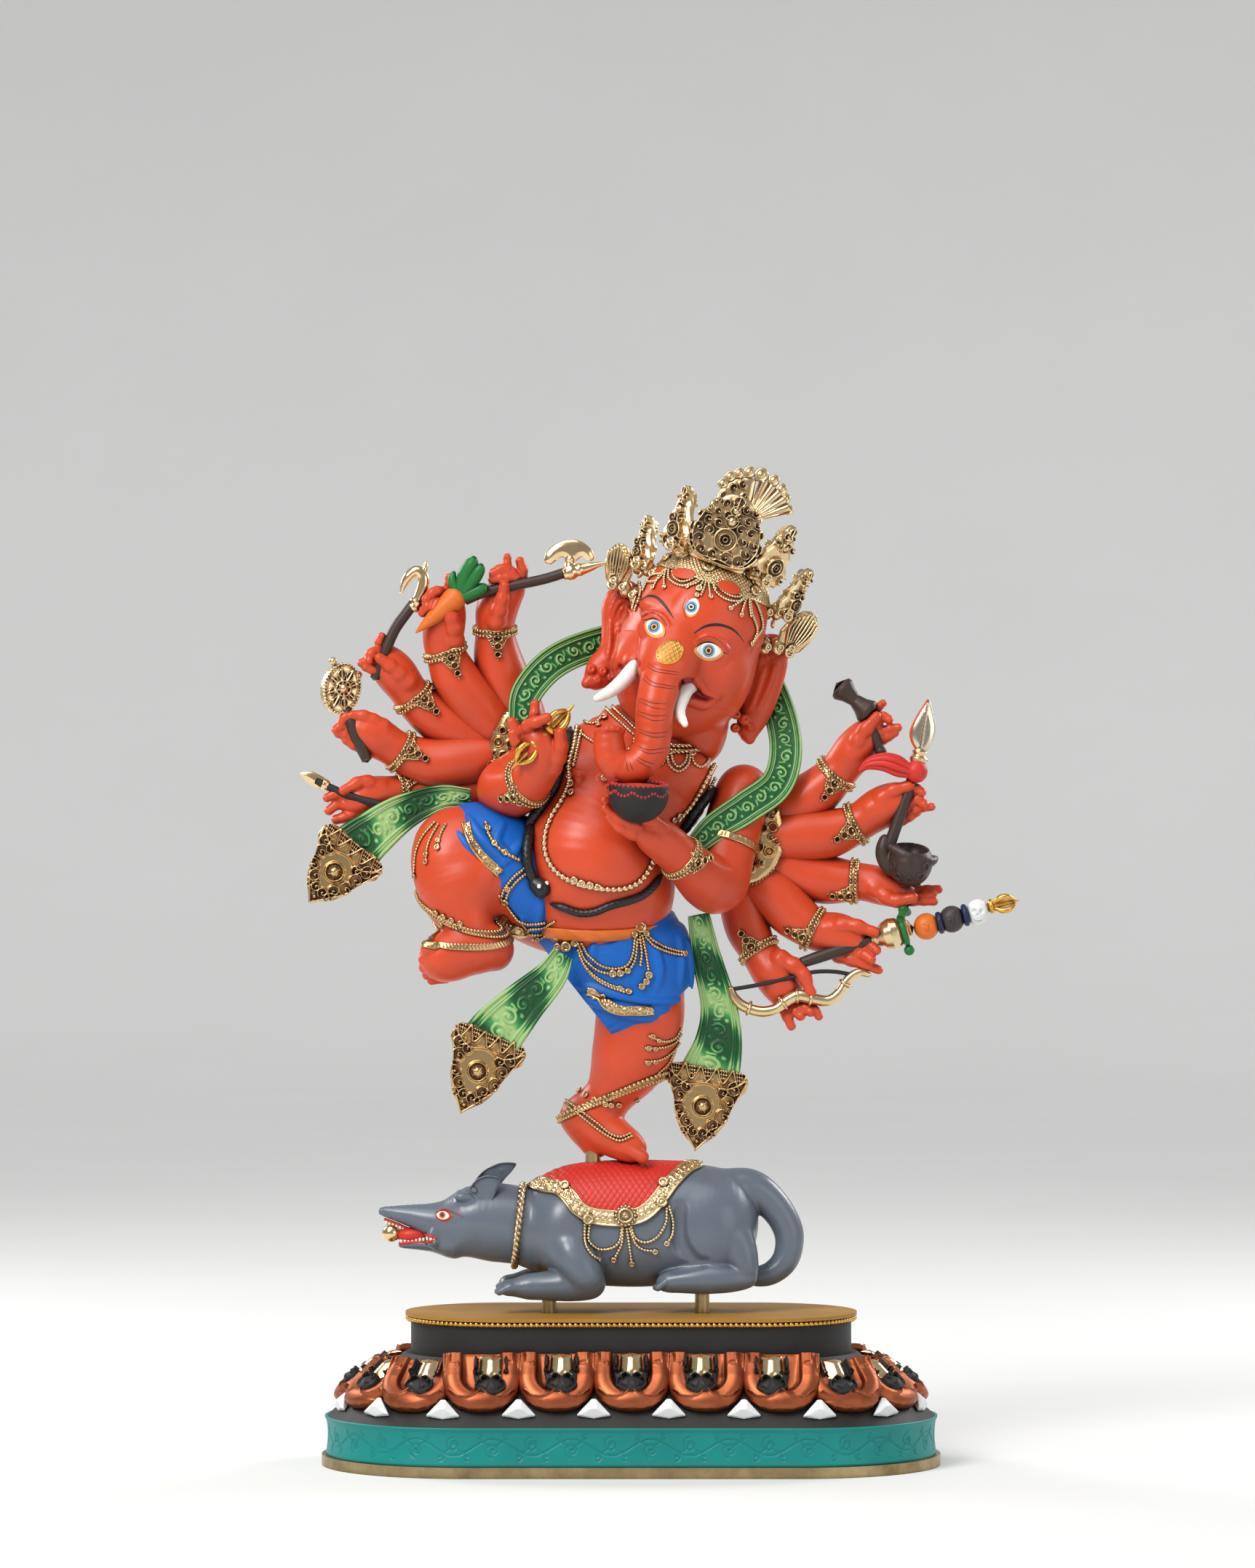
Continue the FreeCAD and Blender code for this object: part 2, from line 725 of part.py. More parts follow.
# crown leaves: side, front and foot on the head, turn about its axis, lean, width, height
CROWN_LEAVES = (
    (-3, 33, CROWN_TOP + 0.6, 0, 0, 41, 38),
    (-28, 22, CROWN_TOP + 0.6, -42, -6, 22, 34),
    (24, 22, CROWN_TOP + 0.6, 40, 8, 26, 34),
    (-42, 0, 31, -74, -8, 15, 28),
    (42, 0, 34, 74, 8, 16, 29),
    (-50, -6, 16, -20, -12, 16, 24),
    (50, -6, 16, 20, 12, 18, 26),
)
CREST_UP = 75.0
CREST_RADIUS = 29.0


def crown_leaf(side, front, up, turn, lean, width, height):
    """One pointed leaf of the crown in its place."""
    turn, lean = math.radians(turn), math.radians(lean)
    along = HEAD_SIDE * math.cos(turn) + FRONT * -math.sin(turn)
    rise = (HEAD_UP * math.cos(lean) + HEAD_SIDE * math.sin(lean)).normalize()
    depth = rise.cross(along)
    leaf = doc.addObject("Part::Feature", "crown_leaf")
    leaf.Shape = leaf_solid(width, height)
    leaf.Placement = FreeCAD.Placement(
        on_head(side, front, up), FreeCAD.Rotation(along, depth, rise, "ZXY")
    )
    return leaf


def crown():
    """The crown band, its leaves and side plumes, and the fan crest behind the middle leaf."""
    head = parts["head"]
    ring = trim(head_loft("crown_ring", CROWN_RINGS), head, parts["ears"])
    band = keep("crown_band", largest("crown_band", ring))
    blanks = [crown_leaf(*numbers) for numbers in CROWN_LEAVES]
    leaves = []
    for i, blank in enumerate(blanks):
        leaves.append(largest("crown_leaf_solid", trim(blank, band, head, parts["ears"], *blanks[:i])))
    keep("crown_leaves", group("crown_leaves", leaves))

    thick = size("crown_thickness")
    crest = on_head(4, 4, CREST_UP)
    angles = [math.radians(a) for a in (15, 70, 125)]
    rim = [crest + Vector(math.cos(a), 0, math.sin(a)) * CREST_RADIUS for a in angles]
    edges = [Part.LineSegment(crest, rim[0]), Part.Arc(*rim), Part.LineSegment(rim[2], crest)]
    fan = doc.addObject("Part::Feature", "crown_fan_blank")
    fan.Shape = Part.Face(Part.Wire([e.toShape() for e in edges])).extrude(Vector(0, thick, 0))
    foot, top = on_head(2, -2, CROWN_TOP - 3), on_head(4, 2, CREST_UP + 8)
    stalk = loft("fan_stalk", [(*foot, 14, 8), (*top, 7, 3.5)], x_hint=HEAD_SIDE)
    whole = trim(fuse("crown_fan_whole", fan, stalk), parts["crown_leaves"], head, band)
    keep("crown_fan", largest("crown_fan", whole))


# ---------------------------------------------------------------- figure: skirt, legs, arms

RAISED_THIGH = ((-36, 0, 306, 25, 25), (-68, -8, 325, 25, 25), (-84, -13, 334, 24, 24))


def skirt_and_legs():
    """The skirt with its fold over the raised thigh, both legs and the foot peg."""
    torso = parts["torso"]
    hips = loft(
        "skirt_hips",
        [
            (-12, 0, 298, 37, 31),
            (-9, 0, 282, 41, 33),
            (0, 0, 262, 38, 31),
            (7, 0, 247, 31, 28),
            (9, 0, 243, 29, 26),
        ],
        z_axis=(0, 0, -1),
    )
    fold = loft("skirt_fold", RAISED_THIGH, x_hint=Vector(0, 1, 0))
    skirt = keep("skirt", largest("skirt_solid", trim(fuse("skirt_whole", hips, fold), torso)))

    calf = loft(
        "standing_calf",
        [
            (6, 0, 262, 23, 22),
            (4, -2, 240, 24, 23),
            (-4, 0, 220, 21, 20),
            (-12, 2, 204, 13, 12.5),
            (-16, 3, 193, 10, 9.5),
        ],
        z_axis=(0, 0, -1),
    )
    foot = loft(
        "standing_foot",
        [
            (-35, 4, 193, 5, 5),
            (-28, 2, 187, 8, 9),
            (-16, -2, 180, 9, 10),
            (-6, -6, 174, 6.5, 11),
            (6, -10, 170, 3.2, 8),
        ],
        x_hint=Vector(0.6, 0, 1),
    )
    peg_bottom = 129 + 31 + size("saddle_thickness") - size("foot_peg_drop")
    peg = solid(
        "Part::Cylinder",
        "foot_peg",
        FreeCAD.Placement(Vector(*PEG_CENTRE, peg_bottom), FreeCAD.Rotation()),
        Radius="Sizes.foot_peg_radius",
        Height=182 - peg_bottom,
    )
    keep("foot_peg", peg)
    leg = trim(fuse("standing_leg_whole", calf, foot), skirt, torso, peg)
    keep("standing_leg", largest("standing_leg", leg))

    thigh = limb(
        "raised_thigh",
        ((-62, -8, 323, 20), (-84, -13, 334, 22.5), (-96, -18, 336, 21), (-104, -22, 335, 14)),
    )
    shin = loft(
        "raised_shin",
        [
            (-98, -19, 344, 15, 14),
            (-98, -21, 332, 22, 21),
            (-95, -27, 314, 20, 19),
            (-90, -31, 298, 14, 13.5),
            (-86, -33, 287, 12, 11.5),
        ],
        z_axis=(0, 0, -1),
    )
    sole = loft(
        "raised_foot",
        [(-70, -30, 285, 7, 6), (-80, -34, 283, 10, 9), (-96, -38, 279, 10, 9), (-111, -42, 274, 6, 5)],
        x_hint=Vector(0, 0, 1),
    )
    raised = trim(fuse("raised_leg_whole", thigh, shin, sole), skirt, torso)
    keep("raised_leg", largest("raised_leg", raised))


RIGHT_HUB = (-52, 12, 386)
LEFT_HUB = (66, 10, 342)
# each arm: stub end, middle of the forearm, wrist, palm, knuckles and fingertips, with a radius
RIGHT_BACK_ARMS = (
    (
        (-67, 16, 424, 12.5),
        (-73, 14, 442, 12),
        (-75, 10, 461, 9),
        (-75, 4, 474, 9.5),
        (-71, -2, 486, 7),
        (-68, -2, 496, 4),
    ),
    (
        (-84, 10, 415, 12),
        (-97, 8, 433, 12),
        (-103, 5, 448, 9),
        (-105, 0, 462, 9.5),
        (-104, -4, 474, 7),
        (-101, -4, 485, 4),
    ),
    (
        (-90, 14, 401, 11.5),
        (-108, 12, 411, 12),
        (-121, 9, 422, 9),
        (-131, 5, 435, 10),
        (-137, 0, 446, 7),
        (-141, -2, 454, 4),
    ),
    (
        (-94.6, 8.4, 386.4, 11.3),
        (-112, 8, 385, 12.5),
        (-127, 5, 391, 9),
        (-140, 2, 399, 9.5),
        (-150, -2, 405, 7),
        (-160, -4, 405, 4),
    ),
    (
        (-92, 15, 372, 10),
        (-110, 14, 370, 10),
        (-126, 10, 368, 8),
        (-142, 6, 366, 9),
        (-155, 2, 363, 7),
        (-166, 0, 360, 4),
    ),
)
LEFT_BACK_ARMS = (
    (
        (88, 14, 360, 12),
        (101, 12, 367, 12),
        (114, 9, 379, 9),
        (123, 5, 392, 10),
        (132, 0, 404, 7),
        (142, -3, 407, 4),
    ),
    (
        (92, 8, 345, 12),
        (108, 8, 346, 12),
        (124, 6, 351, 9),
        (137, 2, 361, 9.5),
        (149, -2, 368, 7),
        (159, -4, 366, 4),
    ),
    (
        (90, 14, 326, 12),
        (107, 13, 321, 12.5),
        (124, 9, 320, 9),
        (140, 5, 318, 9),
        (155, 0, 314, 6.5),
        (167, -2, 314, 4),
    ),
    (
        (80, 8, 312, 11.5),
        (89, 7, 302, 12),
        (101, 5, 292, 9),
        (115, 2, 289, 9.5),
        (127, -2, 284, 7),
        (136, -4, 277, 4),
    ),
    (
        (62, 13, 305, 10.5),
        (64, 11, 293, 11),
        (71, 8, 280, 8.5),
        (80, 4, 268, 10),
        (87, 0, 257, 7),
        (91, -2, 246, 4),
    ),
)
FRONT_RIGHT_ARM = {
    "upper": ((-44, 2, 390, 13), (-58, -4, 379, 14), (-68, -12, 371, 14)),
    "elbow": (-68, -14, 371, 15),
    "lower": (
        (-68, -16, 370, 13.5),
        (-60, -30, 371, 12),
        (-51, -40, 376, 9),
        (-46, -45, 388, 10),
        (-48, -48, 400, 7),
        (-51, -50, 411, 4),
    ),
}
FRONT_LEFT_ARM = {
    "upper": ((58, 0, 362, 14), (54, -8, 340, 14), (48, -16, 322, 14)),
    "elbow": (46, -19, 318, 15),
    "lower": (
        (45, -22, 318, 13.5),
        (36, -36, 326, 12),
        (27, -45, 334, 9),
        (13, -54, 345, 9.5),
        (-1, -60, 353, 6),
        (-12, -62, 360, 3.5),
    ),
}


def limb(name, stations):
    """A round limb through (x, y, z, radius) stations."""
    return loft(name, [(*s[:3], s[3], s[3]) for s in stations], x_hint=Vector(0, 1, 0))


def shoulder_fan(name, hub, arms):
    """The casting behind one shoulder with a stub for each back arm."""
    stubs = [limb(f"{name}_stub", ((*hub, 15), arm[0])) for arm in arms]
    ball = solid(
        "Part::Sphere", f"{name}_hub", FreeCAD.Placement(Vector(*hub), FreeCAD.Rotation()), Radius=16.5
    )
    return largest(f"{name}_solid", trim(fuse(name, ball, *stubs), parts["torso"]))


def back_arms(name, arms, fan, implements):
    """Five separate arms, each trimmed to the fan, the arm before it and what it holds.

    The fan comes twice, because the first cut can leave a chip where the arm starts in its stub.
    """
    made = []
    for stations in arms:
        arm = trim(limb(f"{name}_limb", stations), fan, *implements, *made[-1:], fan)
        made.append(largest(f"{name}_arm", arm))
    return group(name, made)


def front_arm(name, shape, neighbours):
    """Upper arm, elbow and forearm with the hand."""
    x, y, z, radius = shape["elbow"]
    joint = solid(
        "Part::Sphere",
        f"{name}_elbow",
        FreeCAD.Placement(Vector(x, y, z), FreeCAD.Rotation()),
        Radius=radius,
    )
    whole = fuse(
        f"{name}_whole", limb(f"{name}_upper", shape["upper"]), joint, limb(f"{name}_lower", shape["lower"])
    )
    return largest(name, trim(whole, *neighbours))


# ---------------------------------------------------------------- what the hands hold


def shaft(name, points, scale=1.0):
    """A round handle along points."""
    return tube(name, points, size("shaft_radius") * scale)


def bowl(name, centre, axis, radius, height, opening_share):
    """A hollow cup: a half ellipsoid less a smaller one, with its mouth along axis."""
    seat = frame(centre, axis, (1, 0.1, 0))
    wall = size("cup_wall")
    outside = solid(
        "Part::Ellipsoid", f"{name}_outside", seat, Radius1=height, Radius2=radius, Radius3=radius * 0.8
    )
    inside = solid(
        "Part::Ellipsoid",
        f"{name}_inside",
        seat,
        Radius1=height - wall,
        Radius2=(radius - wall) * opening_share,
        Radius3=(radius * 0.8 - wall) * opening_share,
    )
    lid = solid("Part::Cylinder", f"{name}_lid", seat, Radius=radius * 1.5, Height=height * 1.5)
    return trim(trim(outside, lid), inside)


def implements():
    """The twelve hand attributes, each a piece of its own."""
    axe_shaft = shaft("axe_shaft", ((-90, -7, 474), (-72, -7, 481), (-54, -7, 484), (-34, -7, 491)))
    axe_head = loft(
        "axe_head", ((-33, -7, 490, 6, 2.4), (-33, -7, 499, 8, 1.8), (-34, -7, 507, 14, 0.8)), x_hint=RIGHT
    )
    axe_point = limb("axe_point", ((-33.5, -7, 491, 2.6), (-24, -7, 494, 2.6), (-14, -7, 496, 0.6)))
    keep("axe", fuse("axe", axe_shaft, axe_head, axe_point))

    root = limb("radish_root", ((-117, -10, 458, 1.2), (-104, -9, 468, 4), (-94, -8, 477, 6.4)))
    leaves = limb("radish_leaves", ((-96, -8, 476, 4.5), (-90, -14, 485, 5), (-85, -16, 497, 4)))
    keep("radish", fuse("radish", root, leaves))

    handle = shaft("goad_handle", ((-140, -4, 432), (-134, -5, 447), (-127, -5, 462), (-116, -4, 475)), 1.1)
    hook = limb(
        "goad_hook",
        (
            (-117, -4, 471, 2),
            (-113, -4, 480, 3),
            (-117, -4, 488, 3),
            (-124, -4, 486, 2.4),
            (-127, -4, 478, 1),
        ),
    )
    keep("elephant_goad", fuse("elephant_goad", handle, hook))

    disc = solid(
        "Part::Ellipsoid",
        "mace_disc",
        frame((-159, -5, 426), (0.45, -1, 0), (0, 0, 1)),
        Radius1=3.5,
        Radius2=15.0,
        Radius3=11.0,
    )
    mace_handle = shaft("mace_handle", ((-156, -4, 416), (-152, -5, 404), (-145, -5, 387)), 1.2)
    keep("wheel_mace", fuse("wheel_mace", disc, mace_handle))

    arrow_shaft = shaft("arrow_shaft", ((-172, -3, 375), (-154, -5, 367), (-134, -6, 361)), 0.8)
    arrow_tip = loft("arrow_tip", ((-170, -3, 374.5, 4.5, 2), (-181, -2, 379, 0.8, 0.6)), x_hint=UP)
    keep("arrow", fuse("arrow", arrow_shaft, arrow_tip))

    keep(
        "vajra",
        limb(
            "vajra",
            (
                (-62, -54, 383, 1),
                (-57, -54, 389, 6),
                (-51, -54, 396, 3),
                (-46, -54, 400, 3),
                (-41, -54, 405, 6),
                (-33, -54, 413, 1),
            ),
        ),
    )
    keep(
        "skull_cup", bowl("skull_cup", (4, -71, 368), (0.05, -0.15, 1), size("skull_cup_radius"), 15.0, 0.9)
    )

    pestle_head = limb("pestle_head", ((117, -2, 424, 6), (128, -3, 417, 6.5), (131, -4, 411, 4)))
    pestle_handle = shaft("pestle_handle", ((130, -4, 412), (134, -5, 400), (138, -5, 389)))
    keep("pestle", fuse("pestle", pestle_head, pestle_handle))

    spear_shaft = shaft("spear_shaft", ((158, -5, 388), (153, -6, 372), (143, -6, 342)), 1.2)
    blade = loft("spear_blade", ((158, -5, 386, 2.4, 2.2), (161, -5, 404, 6, 2), (163, -5, 418, 0.8, 0.6)))
    tassel = limb(
        "spear_tassel", ((157, -8, 381, 6.5), (146, -9, 382, 6), (134, -9, 385, 3), (126, -9, 381, 1.2))
    )
    keep("spear", fuse("spear", spear_shaft, blade, tassel))

    pouch = bowl("leather_cup", (153, -6, 331), (-0.15, -0.45, 1), 15.0, 13.0, 0.85)
    neck = limb("leather_neck", ((139, -5, 341, 3), (138, -5, 334, 3.4), (141, -6, 326, 3)))
    keep("leather_cup", trim(fuse("leather_cup_whole", pouch, neck), parts["spear"]))

    staff = shaft("staff_handle", ((95, -6, 275), (112, -6, 281), (135, -6, 289)), 1.3)
    vase = limb("staff_vase", ((133, -6, 288, 4), (142, -6, 292, 9), (154, -6, 296, 5)))
    heads = limb(
        "staff_heads",
        (
            (153, -6, 295.5, 5),
            (163, -6, 296, 6),
            (176, -6, 299, 6.4),
            (190, -6, 304, 5.5),
            (199, -6, 308, 2.5),
        ),
    )
    finial = limb("staff_finial", ((197, -6, 307, 2), (204, -6, 309, 5), (213, -6, 310.5, 1)))
    keep("khatvanga", fuse("khatvanga", staff, vase, heads, finial))

    limb_path = (
        (55, -6, 259),
        (61, -7, 251),
        (72, -8, 249),
        (84, -8, 253),
        (98, -8, 254),
        (110, -7, 256),
        (118, -6, 266),
        (130, -6, 269),
    )
    bow_limb = shaft("bow_limb", limb_path, 1.2)
    string = shaft("bow_string", ((56, -6, 259), (80, -8, 266), (100, -8, 271), (121, -6, 268)), 0.5)
    keep("bow", fuse("bow", bow_limb, string))


# ---------------------------------------------------------------- jewellery and sashes


def bangle(stations, index):
    """A ring worn round a limb at one of its stations."""
    at, before, after = stations[index], stations[index - 1], stations[index + 1]
    direction = Vector(*after[:3]) - Vector(*before[:3])
    clear = size("bangle_radius") + 0.5
    return solid(
        "Part::Torus",
        "bangle",
        frame(at[:3], direction, (0.3, 1, 0.2)),
        Radius1=at[3] + clear,
        Radius2="Sizes.bangle_radius",
    )


def jewellery():
    """Bracelets, armlets, anklets, necklaces, belt and the snake cords."""
    wrist = 2
    rings = [bangle(arm, wrist) for arm in (*RIGHT_BACK_ARMS, *LEFT_BACK_ARMS)]
    rings += [bangle(arm["lower"], wrist) for arm in (FRONT_RIGHT_ARM, FRONT_LEFT_ARM)]
    arms = [parts[n] for n in ("back_arms_right", "back_arms_left", "front_arm_right", "front_arm_left")]
    keep("bracelets", trimmed_group("bracelets", rings, *arms))

    ankles = (
        ((-12, 2, 204), (0, 0, 1), 15.5),
        ((-21, 0, 186), (0.75, 0, 0.6), 14.0),
        ((-91, -30, 302), (0.15, -0.15, 1), 18.5),
        ((-87, -33, 291), (0.1, -0.1, 1), 15.5),
    )
    loops = [
        solid(
            "Part::Torus",
            "anklet",
            frame(at, axis, (0, 1, 0)),
            Radius1=radius,
            Radius2="Sizes.bangle_radius",
        )
        for at, axis, radius in ankles
    ]
    legs = [parts[n] for n in ("standing_leg", "raised_leg", "foot_peg", "skirt")]
    keep("anklets", trimmed_group("anklets", loops, *legs))

    plates = [
        solid(
            "Part::Cylinder",
            "armlet",
            frame(at, FRONT, (1, 0, 0)),
            Radius="Sizes.armlet_radius",
            Height="Sizes.armlet_thickness",
        )
        for at in ((-70, -2, 400), (72, -5, 342))
    ]
    fans = parts["shoulder_fans"]
    keep("armlets", trimmed_group("armlets", plates, fans, *arms, parts["torso"]))

    chain = size("chain_radius")
    belly = (
        (
            -27, 402
        ), (
            -33, 388
        ), (
            -38, 372
        ), (
            -44, 354
        ), (
            -46, 338
        ), (-36, 324), (-18, 316), (0, 317), (12, 326), (18, 342), (24, 360), (36, 378), (44, 390),
    )
    long_chain = tube("long_chain", [on_torso(x, z, chain * 0.6) for x, z in belly], chain)
    collar = solid(
        "Part::Torus", "neck_ring", frame((20, 0, 405), (0.2, 0.2, 1), (1, 0, 0)), Radius1=20.5, Radius2=2.0
    )
    front_arms = arms[2:]
    around = [parts["torso"], parts["head"], parts["trunk"], *front_arms, fans, parts["skull_cup"]]
    keep("necklaces", trimmed_group("necklaces", [long_chain, collar], *around))

    thread = size("cord_radius")
    snakes = (
        ((-30, 402), (-40, 384), (-46, 368), (-52, 350), (-57, 334), (-52, 321), (-47, 318)),
        ((26, 346), (34, 362), (42, 376), (50, 384)),
        ((-42, 305), (-30, 301), (-18, 302), (-6, 308), (8, 312), (15, 320)),
    )
    cords = [tube("snake_cord", [on_torso(x, z, thread * 0.7) for x, z in path], thread) for path in snakes]
    around = [parts["torso"], parts["skirt"], *front_arms, fans, parts["necklaces"], parts["armlets"]]
    keep("snake_thread", trimmed_group("snake_thread", cords, *around))

    waist = loft("belt_ring", [(-12, 0, 299.5, 40, 34), (-11, 0, 293, 41, 35)], z_axis=(0, 0, -1))
    knot = solid(
        "Part::Sphere",
        "belt_knot",
        FreeCAD.Placement(Vector(-34, -31, 289), FreeCAD.Rotation()),
        Radius=8.5,
    )
    around = [parts["torso"], parts["skirt"], parts["raised_leg"], parts["snake_thread"]]
    keep("waist_belt", largest("waist_belt", trim(fuse("belt_whole", waist, knot), *around)))


def tassel(top, tip, half_width):
    """A flat pointed tassel hanging from top to tip."""
    top, tip = Vector(*top), Vector(*tip)
    at = [(0.0, 1.0), (0.2, 1.05), (0.45, 0.62), (0.75, 0.5), (1.0, 0.12)]
    stations = [(*(top + (tip - top) * t), half_width * w, 2.2) for t, w in at]
    return loft("tassel", stations, x_hint=(tip - top).cross(FRONT))


def sashes():
    """The hoop of sash round the shoulders, its three hanging ends and their gilt tassels."""
    hoop = ribbon(
        "shoulder_sash",
        (
            (-60, -9, 408, 8),
            (-57, -8, 424, 9),
            (-43, 0, 440, 9),
            (-22, 14, 450, 9),
            (8, 34, 457, 9),
            (40, 38, 459, 9),
            (66, 28, 443, 9),
            (80, 12, 418, 9),
            (85, 0, 394, 9),
            (80, -8, 374, 9),
            (63, -17, 361, 9),
            (46, -22, 350, 8),
            (36, -24, 341, 6),
        ),
    )
    right = ribbon(
        "sash_left_end",
        (
            (-88, -6, 366, 5),
            (-105, -6, 366, 7),
            (-125, -7, 358, 10),
            (-142, -8, 346, 13),
            (-153, -8, 337, 15),
        ),
    )
    middle = ribbon(
        "sash_middle",
        (
            (-37, -40, 281, 6),
            (-44, -43, 269, 9),
            (-58, -43, 255, 12),
            (-71, -41, 241, 15),
            (-77, -40, 233, 16),
        ),
    )
    left = ribbon(
        "sash_right",
        ((37, -10, 302, 6), (41, -6, 280, 8), (48, -4, 252, 10), (48, -3, 232, 13), (43, -2, 213, 17)),
    )
    arms = [parts[n] for n in ("back_arms_right", "back_arms_left", "front_arm_right", "front_arm_left")]
    body = [parts[
        n
    ] for n in (
        "torso", "head", "ears", "shoulder_fans", "armlets", "bracelets", "snake_thread", "necklaces"
    )]
    keep(
        "shoulder_sash",
        largest("shoulder_sash", trim(hoop, *arms, *body, parts["crown_leaves"], parts["crown_band"])),
    )
    legs = [parts[
        n
    ] for n in ("skirt", "raised_leg", "standing_leg", "waist_belt", "bow", "arrow", "anklets", "torso")]
    keep("sash_left_end", largest("sash_left_end", trim(right, *arms, *legs, *body)))
    keep("sash_middle", largest("sash_middle", trim(middle, *legs)))
    keep("sash_right", largest("sash_right", trim(left, *arms, *legs, *body)))
    ends = [
        tassel((-153, -8, 337), (-176, -9, 309), 19),
        tassel((-77, -40, 233), (-92, -41, 195), 20),
        tassel((42, -2, 213), (35, -3, 172), 21),
    ]
    around = [
        parts["sash_left_end"],
        parts["sash_middle"],
        parts["sash_right"],
        parts["standing_leg"],
        parts["anklets"],
        *arms,
    ]
    keep("sash_tassels", trimmed_group("sash_tassels", ends, *around))


def figure():
    """Everything that lifts off the rat with the foot peg."""
    torso_and_head()
    crown()
    skirt_and_legs()
    implements()
    right_fan = shoulder_fan("right_fan", RIGHT_HUB, RIGHT_BACK_ARMS)
    left_fan = shoulder_fan("left_fan", LEFT_HUB, LEFT_BACK_ARMS)
    keep("shoulder_fans", group("shoulder_fans", [right_fan, left_fan]))
    right_held = [parts[n] for n in ("axe", "radish", "elephant_goad", "wheel_mace", "arrow")]
    left_held = [parts[n] for n in ("pestle", "spear", "leather_cup", "khatvanga", "bow")]
    keep("back_arms_right", back_arms("back_arms_right", RIGHT_BACK_ARMS, right_fan, right_held))
    keep("back_arms_left", back_arms("back_arms_left", LEFT_BACK_ARMS, left_fan, left_held))
    trunk_side = [
        parts[n] for n in ("torso", "shoulder_fans", "back_arms_right", "back_arms_left", "trunk", "skirt")
    ]
    keep("front_arm_right", front_arm("front_arm_right", FRONT_RIGHT_ARM, [parts["vajra"], *trunk_side]))
    keep("front_arm_left", front_arm("front_arm_left", FRONT_LEFT_ARM, [parts["skull_cup"], *trunk_side]))
    jewellery()
    sashes()


# ---------------------------------------------------------------- build, check and export

lotus_base()
top_plate()
rat()
figure()
doc.recompute()

failed = [obj.Name for obj in doc.Objects if "Invalid" in obj.State or "Error" in obj.State]
if failed:
    raise SystemExit(f"objects that did not compute: {failed}")
os.makedirs("parts", exist_ok=True)
for name, obj in parts.items():
    if obj.Shape.isNull() or not obj.Shape.isValid() or not obj.Shape.Solids:
        raise SystemExit(f"{name} has no valid solid")
for name, obj in parts.items():
    obj.Shape.exportStep(os.path.join("parts", f"{name}.step"))
print(len(parts), "sub-parts written")
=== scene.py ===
import bpy
import json
import math
import numpy as np
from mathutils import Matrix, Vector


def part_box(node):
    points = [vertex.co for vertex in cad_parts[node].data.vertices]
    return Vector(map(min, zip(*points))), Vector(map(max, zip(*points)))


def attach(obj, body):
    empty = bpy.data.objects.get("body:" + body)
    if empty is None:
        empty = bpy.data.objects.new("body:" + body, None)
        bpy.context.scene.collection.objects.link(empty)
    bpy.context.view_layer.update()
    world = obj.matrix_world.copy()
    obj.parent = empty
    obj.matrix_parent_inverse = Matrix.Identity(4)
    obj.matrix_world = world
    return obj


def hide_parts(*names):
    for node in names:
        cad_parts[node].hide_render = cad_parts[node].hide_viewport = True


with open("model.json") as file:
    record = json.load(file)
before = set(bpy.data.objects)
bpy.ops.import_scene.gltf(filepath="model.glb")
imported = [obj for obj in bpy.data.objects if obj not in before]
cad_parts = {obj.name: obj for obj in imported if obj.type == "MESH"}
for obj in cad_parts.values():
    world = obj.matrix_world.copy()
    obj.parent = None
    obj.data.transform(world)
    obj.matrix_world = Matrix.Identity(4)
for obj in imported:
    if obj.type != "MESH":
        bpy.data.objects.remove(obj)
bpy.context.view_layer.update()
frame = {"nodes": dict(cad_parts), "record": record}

import openvdb
from mathutils import Matrix, Vector

# The looks of the dancing statue. Shapes are worked out in millimetres in the part's own frame
# (+Z up, the figure faces -Y, the viewer's right is +X) and turned into metres when a piece is made.
# A few pieces are modelled on distance fields, as a sculptor adds and blends clay; cast ornament is
# modelled as relief; beads and rings are placed along lines drawn on the clay's front.
MM = 0.001
CLAY_STEP = 0.62
RELIEF_STEP = 0.36
EYE = np.array((-2.0, -3500.0, 373.6))
FRONT = np.array((0.0, -1.0, 0.0))
UP = np.array((0.0, 0.0, 1.0))
RIGHT = np.array((1.0, 0.0, 0.0))
FACING = np.column_stack([RIGHT, UP, FRONT])


# ------------------------------------------------------------------ small maths


def vec(*numbers):
    """A float vector."""
    return np.array(numbers, float)


def unit(v):
    """v with length one."""
    v = np.asarray(v, float)
    return v / (np.linalg.norm(v, axis=-1, keepdims=True) + 1e-12)


def frame_of(normal, up):
    """A 3 x 3 matrix whose columns are right, up and normal."""
    n = unit(normal)
    r = unit(np.cross(up, n))
    return np.column_stack([r, np.cross(n, r), n])


def spline(points, count):
    """count points along a smooth curve through points, each with any number of values."""
    p = np.asarray(points, float)
    if len(p) == 2:
        f = np.linspace(0, 1, count)[:, None]
        return p[0] * (1 - f) + p[1] * f
    p = np.vstack([2 * p[0] - p[1], p, 2 * p[-1] - p[-2]])
    spans = np.linalg.norm(np.diff(p[1:-1, :3], axis=0), axis=1) + 1e-9
    knots = np.concatenate([[0], np.cumsum(spans)])
    at = np.linspace(0, knots[-1], count)
    i = np.clip(np.searchsorted(knots, at, side="right") - 1, 0, len(spans) - 1)
    f = ((at - knots[i]) / spans[i])[:, None]
    a, b, c, d = p[i], p[i + 1], p[i + 2], p[i + 3]
    return 0.5 * (2 * b + (c - a) * f + (2 * a - 5 * b + 4 * c - d) * f**2 + (3 * b - a - 3 * c + d) * f**3)


def length_of(points):
    """The length of a polyline."""
    return float(np.linalg.norm(np.diff(np.asarray(points)[:, :3], axis=0), axis=1).sum())


